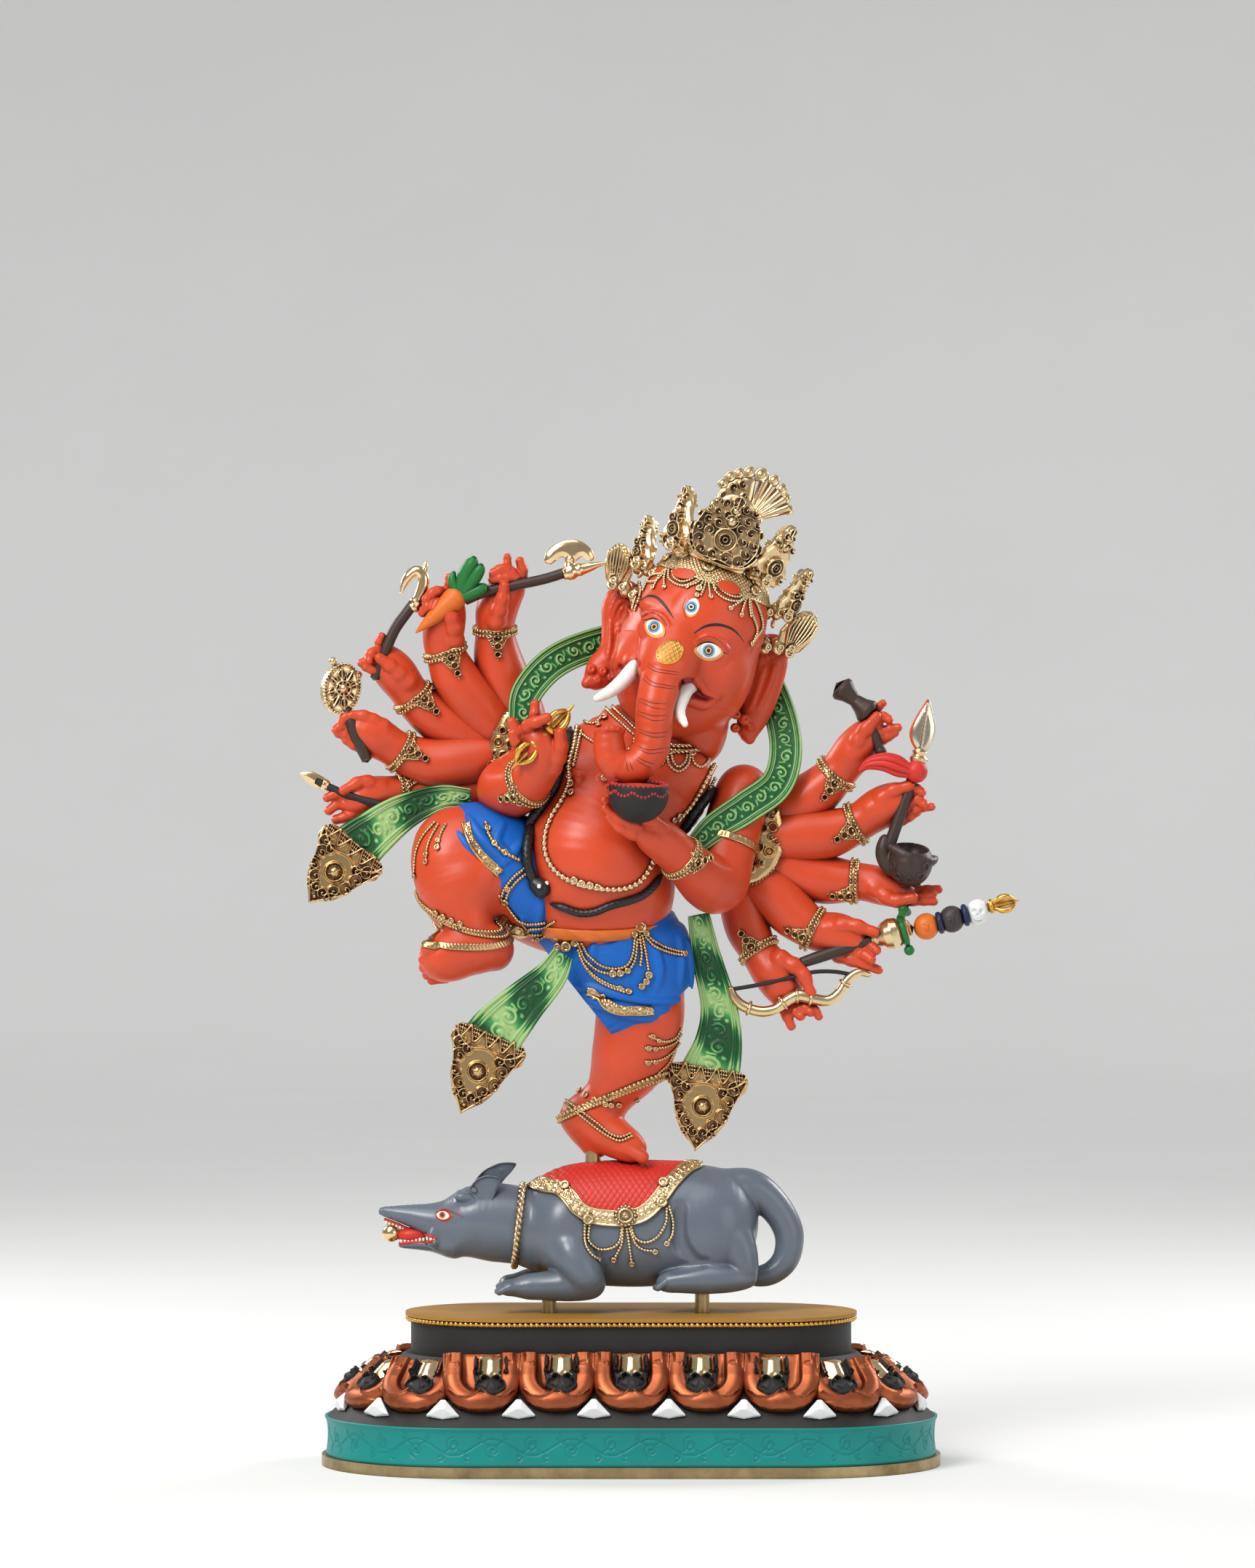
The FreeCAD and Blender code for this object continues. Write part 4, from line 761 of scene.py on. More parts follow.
def aged_gold(
    name, bright=(0.74, 0.56, 0.32), mid=(0.38, 0.25, 0.13), dark=(0.05, 0.024, 0.014), reach=0.0022,
):
    """Old gilding: bright on the high parts and brown-black in every recess."""
    look = Look(name, metallic=0.9, roughness=0.32)
    made = look.node("ShaderNodeAmbientOcclusion", Distance=reach, samples=8)
    open_part = made.outputs["AO"]
    wear = look.noise(260, 4, 0.6)
    mixed = look.node("ShaderNodeMath", operation="MULTIPLY_ADD")
    look.link(wear, mixed, 0)
    mixed.inputs[1].default_value = 0.35
    look.link(open_part, mixed, 2)
    value = mixed.outputs[0]
    look.colour(look.ramp(value, [(0.52, dark), (0.78, mid), (0.9, bright), (1.0, bright)]))
    metal = look.ramp(value, [(0.68, 0.1), (0.85, 1.0)])
    look.link(metal, look.shader, "Metallic")
    look.roughness(look.ramp(value, [(0.6, 1.0), (0.95, 0.0)]), 0.24, 0.7)
    look.bump(look.noise(900, 3, 0.6), 0.0001, 0.4)
    return look.material


def metal(name, light, dark, roughness=(0.16, 0.34), scratch=(1, 1, 1)):
    """Plain polished metal with tarnish and fine scratches, and painted shade in its recesses."""
    look = Look(name, metallic=1.0, roughness=0.25)
    tarnish = look.noise(60, 6, 0.65)
    tone = look.mix(look.ramp(tarnish, [(0.35, 0.0), (0.75, 1.0)]), light, dark)
    # painted shade: recesses narrower than 3 mm take three tenths of the tarnish colour
    look.colour(look.mix(look.recess(0.003, 0.2, 0.75), [c * 0.3 for c in dark], tone))
    look.roughness(tarnish, *roughness)
    look.bump(look.noise(700, 4, 0.7, scratch), 0.00006, 0.35)
    return look.material


def green_with_painted_light(name):
    """Green paint with a painted highlight on its raised ridges and painted shade in its low folds and
    crevices.
    """
    look = Look(name, specular=0.4, roughness=0.42)
    ridge = look.node("ShaderNodeAttribute", attribute_name="lift").outputs["Fac"]
    grain = look.noise(300, 5, 0.7)
    mixed = look.node("ShaderNodeMath", operation="MULTIPLY_ADD")
    look.link(grain, mixed, 0)
    mixed.inputs[1].default_value = 0.42
    look.link(ridge, mixed, 2)
    # painted light: colour runs by relief height from dark green in low folds (painted shade) to pale on
    # ridges (painted highlight)
    stops = [
        (0.1, (0.004, 0.06, 0.014)), (0.42, (0.012, 0.15, 0.035)), (0.75, (0.05, 0.26, 0.07)),
        (1.0, (0.30, 0.48, 0.18)),
    ]
    # painted shade: crevices narrower than 4 mm go nearly black-green
    look.colour(
        look.mix(look.recess(0.004, 0.2, 0.75), (0.003, 0.04, 0.01), look.ramp(mixed.outputs[0], stops))
    )
    look.roughness(grain, 0.34, 0.52)
    look.bump(look.noise(500, 3), 0.0001, 0.5)
    return look.material


def make_looks():
    """Every material of the statue, by name."""
    # the second colour given to each paint() is the painted shade of its crevices
    red_crevice_shade = (0.16, 0.008, 0.004)
    return {
        "red": paint("red_paint", (0.61, 0.062, 0.017), red_crevice_shade, (0.33, 0.47), coat=0.12),
        "deep_red": paint("deep_red_paint", (0.42, 0.02, 0.012), (0.12, 0.004, 0.003)),
        "saddle": paint("saddle_paint", (0.60, 0.028, 0.016), (0.16, 0.006, 0.004), (0.38, 0.5), 0.0016),
        "tassel": paint("tassel_paint", (0.62, 0.03, 0.022), (0.2, 0.006, 0.005), (0.35, 0.5), 0.002),
        "blue": paint("blue_paint", (0.0, 0.115, 0.50), (0.0, 0.03, 0.16), (0.42, 0.55), 0.005, (0.4, 1, 1)),
        "orange": paint("orange_paint", (0.72, 0.16, 0.02), (0.3, 0.04, 0.006)),
        "sash": green_with_painted_light("green_sash_paint"),
        "leaf": paint("leaf_paint", (0.01, 0.16, 0.03), (0.002, 0.05, 0.01)),
        "teal": paint("teal_enamel", (0.0, 0.225, 0.21), (0.0, 0.08, 0.07), (0.4, 0.52), 0.0016),
        "black": paint("black_enamel", (0.012, 0.012, 0.013), (0.003, 0.003, 0.003), (0.3, 0.46), coat=0.1),
        "matt_black": paint("matt_black_paint", (0.016, 0.015, 0.015), (0.004, 0.004, 0.004), (0.5, 0.66)),
        "white": paint("white_enamel", (0.74, 0.76, 0.76), (0.25, 0.24, 0.22), (0.36, 0.5), 0.003),
        "ivory": paint("ivory_paint", (0.86, 0.85, 0.80), (0.45, 0.34, 0.24), (0.25, 0.36), 0.003, coat=0.2),
        "ochre": paint(
            "ochre_paint", (0.36, 0.175, 0.022), (0.12, 0.05, 0.008), (0.45, 0.6),
            wear=((0.20, 0.11, 0.03), 0.66),
        ),
        "slate": paint(
            "slate_paint", (0.115, 0.14, 0.175), (0.018, 0.022, 0.03), (0.26, 0.42), 0.008, coat=0.35,
        ),
        "brown": paint("brown_paint", (0.045, 0.026, 0.02), (0.012, 0.006, 0.004), (0.36, 0.5)),
        "cup_grey": paint("cup_grey_paint", (0.05, 0.038, 0.036), (0.012, 0.008, 0.007), (0.4, 0.55)),
        "copper": metal("copper_petal_paint", (0.42, 0.12, 0.05), (0.25, 0.062, 0.028), (0.38, 0.5)),
        "gold": aged_gold("aged_gilt"),
        "dark_gold": aged_gold("dark_gilt", (0.62, 0.42, 0.20), (0.30, 0.16, 0.07), (0.03, 0.012, 0.008)),
        "shiny": metal("polished_gilt", (0.90, 0.70, 0.42), (0.66, 0.44, 0.2), (0.1, 0.24)),
        "gold_paint": metal("gold_leaf_paint", (0.80, 0.46, 0.10), (0.55, 0.28, 0.05), (0.26, 0.4)),
        "brass": metal("bare_brass", (0.46, 0.35, 0.18), (0.22, 0.15, 0.08), (0.26, 0.46), (0.1, 1, 1)),
        "steel": metal("pale_blade", (0.78, 0.72, 0.58), (0.5, 0.42, 0.3), (0.12, 0.26)),
        "iris": paint("iris_paint", (0.10, 0.34, 0.58), (0.05, 0.2, 0.4), (0.25, 0.35)),
        "cream": paint("cream_paint", (0.85, 0.80, 0.66), (0.6, 0.5, 0.4), (0.25, 0.35)),
        "eye_orange": paint("eye_orange_paint", (0.80, 0.36, 0.10), (0.5, 0.2, 0.05), (0.25, 0.35)),
        "navy": paint("navy_paint", (0.01, 0.02, 0.07), (0.004, 0.006, 0.02)),
    }


LOOKS = make_looks()
BODY_OF = {node: body for body, nodes in frame["record"]["behaviour"]["bodies"].items() for node in nodes}


def piece(name, shape, look, node, lift=None, smooth=True):
    """One visual piece: its mesh, material, the CAD node it stands for and the body it rides on."""
    points, faces = shape.arrays() if isinstance(shape, Heap) else shape
    faces = np.asarray(faces, int)
    mesh = bpy.data.meshes.new(name)
    triangle = faces[:, 3] == faces[:, 2]
    counts = np.where(triangle, 3, 4)
    starts = np.concatenate([[0], np.cumsum(counts)[:-1]])
    keep_corner = np.ones(faces.shape, bool)
    keep_corner[triangle, 3] = False
    mesh.vertices.add(len(points))
    mesh.vertices.foreach_set("co", (np.asarray(points) * MM).astype(np.float32).ravel())
    mesh.loops.add(int(counts.sum()))
    mesh.loops.foreach_set("vertex_index", faces[keep_corner].astype(np.int32))
    mesh.polygons.add(len(faces))
    mesh.polygons.foreach_set("loop_start", starts.astype(np.int32))
    mesh.update(calc_edges=True)
    mesh.validate()
    if smooth:
        mesh.shade_smooth()
    # 'lift' holds relief height, which the green sash paint turns into painted highlight and painted shade
    if lift is not None:
        attribute = mesh.attributes.new("lift", "FLOAT", "POINT")
        attribute.data.foreach_set("value", np.asarray(lift, np.float32))
    mesh.materials.append(LOOKS[look])
    made = bpy.data.objects.new(name, mesh)
    bpy.context.scene.collection.objects.link(made)
    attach(made, BODY_OF[node])
    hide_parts(node)
    return made


# ------------------------------------------------------------------ the lotus base

BAND_REACH, BAND_RADIUS, DRUM_REACH, DRUM_RADIUS = 90.0, 78.0, 69.0, 52.0
SHELL_LOW, SHELL_HIGH, PETALS = 27.0, 62.0, 20


def slot_point(reach, radius, at):
    """A point of a slot shape's edge and the outward direction, at a distance from the front's middle."""
    total = 4 * reach + 2 * math.pi * radius
    at = at % total
    half_turn = math.pi * radius
    if at <= reach or at >= total - reach:
        x = at if at <= reach else at - total
        return vec(x, -radius, 0), vec(0, -1, 0)
    if at <= reach + half_turn:
        angle = (at - reach) / radius - math.pi / 2
        out = vec(math.cos(angle), math.sin(angle), 0)
        return vec(reach, 0, 0) + out * radius, out
    if at <= 3 * reach + half_turn:
        return vec(reach - (at - reach - half_turn), radius, 0), vec(0, 1, 0)
    angle = (at - 3 * reach - half_turn) / radius + math.pi / 2
    out = vec(math.cos(angle), math.sin(angle), 0)
    return vec(-reach, 0, 0) + out * radius, out


def petal_places(start, up_slope, lift):
    """Where each petal of a ring sits on the shell: its foot point and its axes."""
    low_radius, high_radius = BAND_RADIUS - 1, DRUM_RADIUS + 3
    reach, radius = (BAND_REACH + DRUM_REACH) / 2, (low_radius + high_radius) / 2
    pitch = (4 * reach + 2 * math.pi * radius) / PETALS
    places = []
    for i in range(PETALS):
        middle, out = slot_point(reach, radius, (i + start) * pitch)
        spine = (middle - out * radius)[0]
        low = vec(spine * BAND_REACH / reach, 0, SHELL_LOW) + out * low_radius
        high = vec(spine * DRUM_REACH / reach, 0, SHELL_HIGH) + out * high_radius
        along = np.cross(UP, out)
        normal = unit(np.cross(along, high - low))
        axes = np.column_stack([along, np.cross(normal, along), normal])
        places.append((low + unit(high - low) * up_slope + normal * lift, axes))
    return places


def mirrored(points):
    """Points of a left half and their mirror images, as one outline."""
    return list(points) + [(-x, y) for x, y in reversed(points) if abs(x) > 1e-6]


def copper_petal():
    """One petal: a broad rolled body round a hollow, and a tip turned over into a peaked lip."""
    r = Relief(44, 40, step=0.5, low=(-22, 3))
    half = [
        (-21.2, 39.5), (-21.4, 26), (-21, 20), (-19.4, 14.6), (-16.4, 10), (-12, 6.6), (-6.4, 4.6),
        (0, 4.0),
    ]
    r.plate(mirrored(half), 1.2)
    upper = np.clip((r.y - 24) / 16, 0, 1)
    rho = np.hypot(r.x / 21.2, np.minimum(r.y - 24, 0) / 20)
    roll = np.sqrt(np.clip(1 - ((rho - 0.76) / 0.27) ** 2, 0, 1))
    inner_rim = np.exp(-(((rho - 0.5) / 0.09) ** 2))
    body = 1.2 + 5.6 * roll + 1.6 * inner_rim
    r.h = np.where(r.edge > 0, np.maximum(r.h, body * (1 - 0.42 * upper)), r.h)
    lip = np.hypot(r.x / 18, (r.y - 10.5) / 7.2)
    r.h = np.maximum(r.h, 7.4 * np.sqrt(np.clip(1 - lip**2, 0, 1)))
    for side in (-1, 1):
        r.line(
            [(side * 17.6, 15.4), (side * 13.4, 11.4), (side * 7.6, 10.4), (side * 3.2, 12.2), (0, 15.6)],
            (1.2, 1.8), 8.2,
        )
        r.line([(side * 20.2, 38), (side * 19.6, 26), (side * 17.2, 17.4)], (1.8, 2.4), 5.4)
        r.line([(side * 17.2, 38), (side * 16.4, 27), (side * 14, 19.4)], (1.4, 2.0), 5.6)
        r.scroll(side * 14.2, 31, 2.0, 60, side, 1.0, 6.0, 1.1)
        r.dome(side * 2.4, 16.2, 0.9, 8.0)
    r.dome(0, 17.4, 1.2, 8.2)

    def swell(p):
        bow = 1.4 * np.cos(p[:, 0] / 40 * math.pi)
        return p + np.column_stack([0 * bow, 0 * bow, bow * (p[:, 2] > 0)])

    return r.solid(0.0, swell)


def boss_shapes():
    """A petal's middle in two parts: the dark scroll below and the polished plate above it."""
    step = 0.45
    low = Relief(22, 28, step, low=(-11, -1))
    low.plate(mirrored([(-8, 16), (-8.8, 11), (-9.0, 6), (-7.4, 2.4), (-4, 0.6), (0, 0)]), 2.6)
    swell = ((low.x / 8.6) ** 2 + ((low.y - 5.6) / 6.6) ** 2) ** 0.5
    low.h = np.maximum(low.h, 6.4 * np.sqrt(np.clip(1 - swell**2, 0, 1)))
    low.plate(mirrored([(-9.4, 24.5), (-9.8, 15), (-8.4, 8), (-5.2, 9), (-6.6, 16), (-6.3, 24.5)]), 2.8)
    for side in (-1, 1):
        low.line(
            [(side * 1.2, 10.4), (side * 3.4, 11.6), (side * 5.4, 9.8), (side * 4.6, 7.6)], (1.7, 1.1), 6.9,
        )
        low.line([(side * 6.8, 9.4), (side * 7.9, 5.4), (side * 5.4, 2.8)], (1.8, 1.1), 5.4)
        low.line([(side * 1.0, 6.8), (side * 2.6, 3.6), (side * 5.0, 5.0)], (1.4, 1.0), 6.9)
        low.scroll(side * 7.7, 15.4, 1.9, 90, -side, 1.1, 5.2, 1.0)
        low.line([(side * 8.2, 24), (side * 8.4, 18.5)], 1.9, 4.2)
    high = Relief(16, 22, step, low=(-8, 8))
    high.plate(mirrored([(-5.8, 25), (-6.2, 18), (-6.6, 13), (-4.4, 10), (0, 9.2)]), 2.2)
    high.h += 1.8 * np.exp(-((high.x / 4.5) ** 2))
    return low.solid(0.0), high.solid(0.0)


def ring_of(shape, places):
    """Copies of a shape at each place."""
    heap = Heap()
    for at, axes in places:
        heap.add(*placed(shape, at, axes))
    return heap


def vine_tile(length, height):
    """One wave of an engraved vine with curls, that joins up with itself end to end."""
    r = Relief(length, height, 0.4, low=(0, 0))
    middle = height / 2
    for shift in (-length, 0, length):
        wave = [
            (shift + length * k / 12, middle + height * 0.26 * math.sin(math.pi * k / 6))
            for k in range(13)
        ]
        r.line(wave, 0.75, 1.0)
        for k, side in ((0.25, -1), (0.75, 1)):
            x = shift + length * k
            r.scroll(x, middle + side * height * 0.1, height * 0.24, side * 90, side, 0.7, 1.0, 1.5)
            for way in (-1, 1):
                r.scroll(
                    x + way * length * 0.17, middle - side * height * 0.3, height * 0.12,
                    side * (30 * way - 90), -way * side, 0.6, 1.0, 1.1,
                )
                r.line(
                    [
                        (x, middle + side * 2.3), (x + way * 3, middle - side * 1.6),
                        (x + way * 6.4, middle - side * 3),
                    ],
                    0.6, 1.0,
                )
    return r


def look_up(relief, x, y):
    """A relief's height at places."""
    gx = np.clip((x - relief.x[0, 0]) / relief.step, 0, relief.h.shape[0] - 1.001)
    gy = np.clip((y - relief.y[0, 0]) / relief.step, 0, relief.h.shape[1] - 1.001)
    i, j = gx.astype(int), gy.astype(int)
    fx, fy = gx - i, gy - j
    h = relief.h
    low = h[i, j] * (1 - fx) + h[i + 1, j] * fx
    return low * (1 - fy) + (h[i, j + 1] * (1 - fx) + h[i + 1, j + 1] * fx) * fy


def base_band():
    """The enamelled band: a shallow cove with a lip above and below and a vine cut into it."""
    foot, height, deep = 6.0, 21, 6
    total = 4 * BAND_REACH + 2 * math.pi * BAND_RADIUS
    waves = 20
    tile = vine_tile(total / waves, 17.0)
    pitch = 0.5
    columns = int(total / pitch)
    rows = int(height / pitch)
    s = np.linspace(0, total, columns, endpoint=False)
    v = np.linspace(0, height, rows)
    places = [slot_point(BAND_REACH, BAND_RADIUS, at) for at in s]
    at = np.array([p for p, _ in places])
    out = np.array([o for _, o in places])
    ss, vv = np.meshgrid(s, v, indexing="ij")
    cut = look_up(tile, ss % (total / waves), np.clip(vv - 2.0, 0, 17))
    fade = np.clip(np.minimum(vv - 2.2, 18.8 - vv) / 1.2, 0, 1)
    hollow = np.sin(math.pi * np.clip(vv / height, 0, 1)) ** 0.8
    lip = np.exp(-(((vv - 20.2) / 1.1) ** 2))
    cove = -1.3 * hollow + 0.5 * lip
    offset = cove - 0.6 * cut * fade
    offset = np.where(vv < 0.6, offset - 0.4, offset)
    skin = at[:, None] + out[:, None] * offset[..., None]
    skin[..., 2] = foot + vv
    inner = at - out * deep
    lid = np.stack([at * 0 + inner, at * 0 + inner], axis=1)
    lid[:, 0, 2], lid[:, 1, 2] = foot + height, foot
    shell = np.concatenate([skin, lid], axis=1)
    return shell.reshape(-1, 3), grid_faces(columns, rows + 2, True, True)


def make_base():
    """Every piece of the base."""
    piece("lotus_petals", ring_of(copper_petal(), petal_places(0.0, 5.0, 0.05)), "copper", "petals_copper")
    scroll, plate = boss_shapes()
    places = petal_places(0.0, 17.0, 4.2)
    piece("petal_boss_scrolls", ring_of(scroll, places), "matt_black", "petal_bosses")
    piece(
        "petal_boss_plates", ring_of(plate, [(at + axes[:, 2] * 0.9, axes) for at, axes in places]),
        "shiny", "petal_bosses",
    )
    kite = Relief(22, 14, 0.45, low=(-11, -2))
    kite.plate([(0, 1.0), (-9.4, 2.6), (-1.0, 10.5), (1.0, 10.5), (9.4, 2.6)])
    facet = np.minimum(6.4 - 0.5 * np.abs(kite.x), 0.9 + 1.4 * (kite.y - 1.0))
    kite.h = np.clip(facet, 0.3, 5.6)
    piece("white_tips", ring_of(kite.solid(0.0), petal_places(0.5, 4.6, 0.05)), "white", "petals_white")
    piece("engraved_band", base_band(), "teal", "base_band")
    rim = Heap()
    low, high = (v / MM for v in (np.array(b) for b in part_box("bead_rim")))
    reach_x, radius = (high[0] - low[0]) / 2, (high[1] - low[1]) / 2
    bead_pitch, inset = 3.05, 1.5
    middle_z = (high[2] + low[2]) / 2
    total = 4 * (reach_x - radius) + 2 * math.pi * radius
    count = round(total / bead_pitch)
    for k in range(count):
        at, _ = slot_point(
            reach_x - radius, radius - inset, k * total / count * (1 - 2 * math.pi * inset / total),
        )
        rim.add(*placed(BALL, at + UP * middle_z, None, (1.55, 1.55, 1.6)))
    ring = np.array(
        [slot_point(reach_x - radius, radius - 1.9, s)[0] for s in np.linspace(0, total - 9.4 - 2, 300)]
    )
    rim.add(*tube(ring + UP * (middle_z - 0.4), 1.1, 6, True))
    piece("bead_border", rim, "gold_paint", "bead_rim")


# ------------------------------------------------------------------ light, floor and camera


SENSOR = 36
CAMERA_AWAY, FRAME_HEIGHT = 3.5, 0.8624


def make_stage():
    """A pale round floor that curves up into a far wall all round, soft lights, and the camera."""
    flat, bend, high, sides = 4.6, 2.6, 6.0, 96
    profile = [(0.01, 0.0), (1.0, 0.0), (flat, 0.0)]
    profile += [
        (flat + bend * math.sin(a), bend - bend * math.cos(a))
        for a in np.linspace(0.1, math.pi / 2, 12)
    ]
    profile += [(flat + bend, high)]
    turns = np.arange(sides) * 2 * math.pi / sides
    points = np.array([(r * math.cos(t), r * math.sin(t), z) for r, z in profile for t in turns])
    mesh = bpy.data.meshes.new("studio_floor")
    mesh.from_pydata(points.tolist(), [], grid_faces(len(profile), sides, False, True).tolist())
    mesh.shade_smooth()
    look = Look("studio_paper", roughness=0.75, specular=0.2)
    look.colour(look.mix(look.noise(3, 3), (0.72, 0.72, 0.71), (0.76, 0.76, 0.75)))
    look.bump(look.noise(800, 2), 0.00005, 0.2)
    mesh.materials.append(look.material)
    floor = bpy.data.objects.new("studio_floor", mesh)
    bpy.context.scene.collection.objects.link(floor)
    target = Vector((0, 0, 0.28))
    lamps = (
        ("key", (-1.05, -1.5, 1.55), 0.9, 32, (1.0, 0.98, 0.95)),
        ("fill", (1.5, -1.5, 0.7), 1.3, 6, (0.96, 0.98, 1.0)),
        ("rim_left", (-1.3, 0.9, 1.0), 0.7, 12, (1, 1, 1)),
        ("rim_right", (1.3, 0.9, 1.0), 0.7, 12, (1, 1, 1)),
    )
    for name, at, side, power, colour in lamps:
        data = bpy.data.lights.new(name, "AREA")
        data.shape = "DISK"
        data.size, data.energy, data.color = side, power, colour
        lamp = bpy.data.objects.new(name, data)
        lamp.location = at
        lamp.rotation_euler = (target - Vector(at)).to_track_quat("-Z", "Y").to_euler()
        bpy.context.scene.collection.objects.link(lamp)
    sky = bpy.data.lights.new("overhead", "SUN")
    sky.energy, sky.angle = 1.3, 0.8
    lamp = bpy.data.objects.new("overhead", sky)
    lamp.rotation_euler = (math.radians(24), math.radians(-12), 0)
    bpy.context.scene.collection.objects.link(lamp)
    world = bpy.data.worlds.new("studio")
    world.use_nodes = True
    world.node_tree.nodes["Background"].inputs["Color"].default_value = (0.82, 0.84, 0.86, 1)
    world.node_tree.nodes["Background"].inputs["Strength"].default_value = 0.42
    bpy.context.scene.world = world
    data = bpy.data.cameras.new("camera")
    camera = bpy.data.objects.new("camera", data)
    camera.location = EYE * MM
    camera.rotation_euler = (math.radians(90), 0, 0)
    data.sensor_fit = "VERTICAL"
    data.sensor_height = SENSOR
    data.lens = SENSOR * CAMERA_AWAY / FRAME_HEIGHT
    bpy.context.scene.collection.objects.link(camera)
    bpy.context.scene.camera = camera


# ------------------------------------------------------------------ the rat


def both_sides(shape):
    """A shape and its mirror image, in one heap."""
    return Heap().add(*shape).add(*mirror_y(shape))


def scroll_tile(length, height, width=0.8):
    """One wave of cast scrollwork between two edge lines, that joins up with itself end to end."""
    r = Relief(length, height, 0.25, low=(0, 0))
    for y in (0.5, height - 0.5):
        r.ridge(np.abs(r.y - y), 1.1, 1.0)
    for shift in (-length, 0, length):
        for k, side in ((0.25, 1), (0.75, -1)):
            x, y = shift + length * k, height / 2
            r.scroll(x, y + side * height * 0.04, height * 0.29, side * 120, side, width, 1.0, 1.35)
            r.line([(x + height * 0.28, y), (x + length * 0.2, y - side * height * 0.24)], width, 0.8)
            r.line([(x - height * 0.3, y), (x - length * 0.2, y + side * height * 0.2)], width, 0.8)
            r.dome(x + length * 0.24, y + side * height * 0.26, height * 0.09, 0.9)
    return r


def rat_clay():
    """Head, body and legs as one modelled form."""
    clay = Clay((-144, -42, 88), (96, 42, 172))
    head = (
        (-138, 138.8, 2.0, 1.6), (-130, 137.6, 3.8, 3.6), (-120, 136, 6.2, 6.4), (-109, 133.5, 9.6, 10),
        (-98, 132.5, 13.6, 14), (-88, 134, 18, 17), (-76, 134, 20, 18), (-62, 131, 21, 19),
    )
    body = (
        (-66, 129, 17, 16), (-50, 128.5, 23.5, 20), (-34, 131, 31, 23), (-10, 132, 33, 25),
        (15, 132, 33, 26), (38, 133, 31, 26), (54, 133, 27, 22), (62, 133, 19, 16),
    )
    for rings in (head, body):
        clay.loft([(x, 0, z, half, deep) for x, z, half, deep in rings], 3.0, 3.0)
    jaw = ((-127, 120.4, 1.8, 2.4), (-118, 120.6, 2.8, 4.6), (-108, 120.5, 4.2, 7.5), (-98, 121, 7.5, 11))
    clay.loft([(x, 0, z, half, deep) for x, z, half, deep in jaw], 2.0, 2.5)
    clay.egg((-93, 0, 124), (14, 12, 10), 6)
    clay.egg((-76, 0, 124), (14, 13, 12), 6)
    for x, z, half, deep in (
        (-132, 128.6, 4.6, 12), (-125, 126.4, 3.6, 12), (-118, 124.8, 2.4, 12), (-112, 123.6, 1.6, 12),
    ):
        clay.egg((x, 0, z), (6, deep, half), 1.0, carve=True)
    for side in (-1, 1):
        clay.egg((-92, side * 14, 147.5), (5, 3, 2.5), 4)
        clay.egg((-109, side * 9.6, 124.5), (3.4, 2.4, 5.2), 3)
        clay.egg((-36, side * 17, 125), (13, 10, 21), 8)
        clay.chain([(-33, side * 22, 118, 9), (-26, side * 24, 106, 8), (-22, side * 22, 100.5, 6.5)], 5)
        clay.chain(
            [
                (-22, side * 21, 100, 6.6), (-34, side * 20, 99.5, 7.0), (-48, side * 19, 99, 6.0),
                (-60, side * 19, 98.5, 5.2),
            ],
            4,
        )
        clay.egg((-66, side * 19, 98), (7, 7, 4.6), 3)
        for k in range(4):
            y = side * (14.6 + 3.0 * k)
            clay.cone((-66, y, 98.6), (-73 + 0.5 * abs(k - 1), y, 96.0), 2.5, 1.9, 0.7)
        clay.egg((44, side * 13, 128), (20, 14.5, 26), 5)
        clay.chain([(59, side * 15, 124, 7), (62, side * 18, 112, 5.4), (64, side * 19, 103.5, 3.4)], 5)
        clay.chain(
            [
                (64.5, side * 19.5, 101.6, 2.6), (54, side * 20.5, 102.6, 5.6), (39, side * 21, 102.8, 6.6),
                (26, side * 20.5, 102, 5.2), (18, side * 20, 100.8, 4.2),
            ],
            3.5,
        )
        for k in range(4):
            y = side * (15.6 + 2.9 * k)
            clay.cone((19, y, 101.4), (13.4 + 0.6 * abs(k - 1), y, 98.2), 2.2, 1.8, 0.6)
        clay.chain(
            [(22, side * 24, 108.6, 1.8), (32, side * 25, 111, 2.2), (40, side * 25.6, 112.6, 1.6)], 3,
            carve=True,
        )
        clay.chain(
            [
                (27, side * 26, 143, 1.4), (25.6, side * 27, 131, 2.6), (28, side * 26, 120, 2.4),
                (35, side * 25.4, 113, 1.4),
            ],
            4, carve=True,
        )
    tail = (
        (56, 0, 153, 8.5), (68, 1, 151, 8), (80, 2, 140, 7), (87, 2, 126, 6.3), (85, 1, 112, 5.6),
        (76, 0, 104, 4.6), (65, 0, 102.5, 3.6),
    )
    clay.chain(tail, 4)
    clay.egg((0, 0, 128), (60, 20, 29), 6)
    return clay


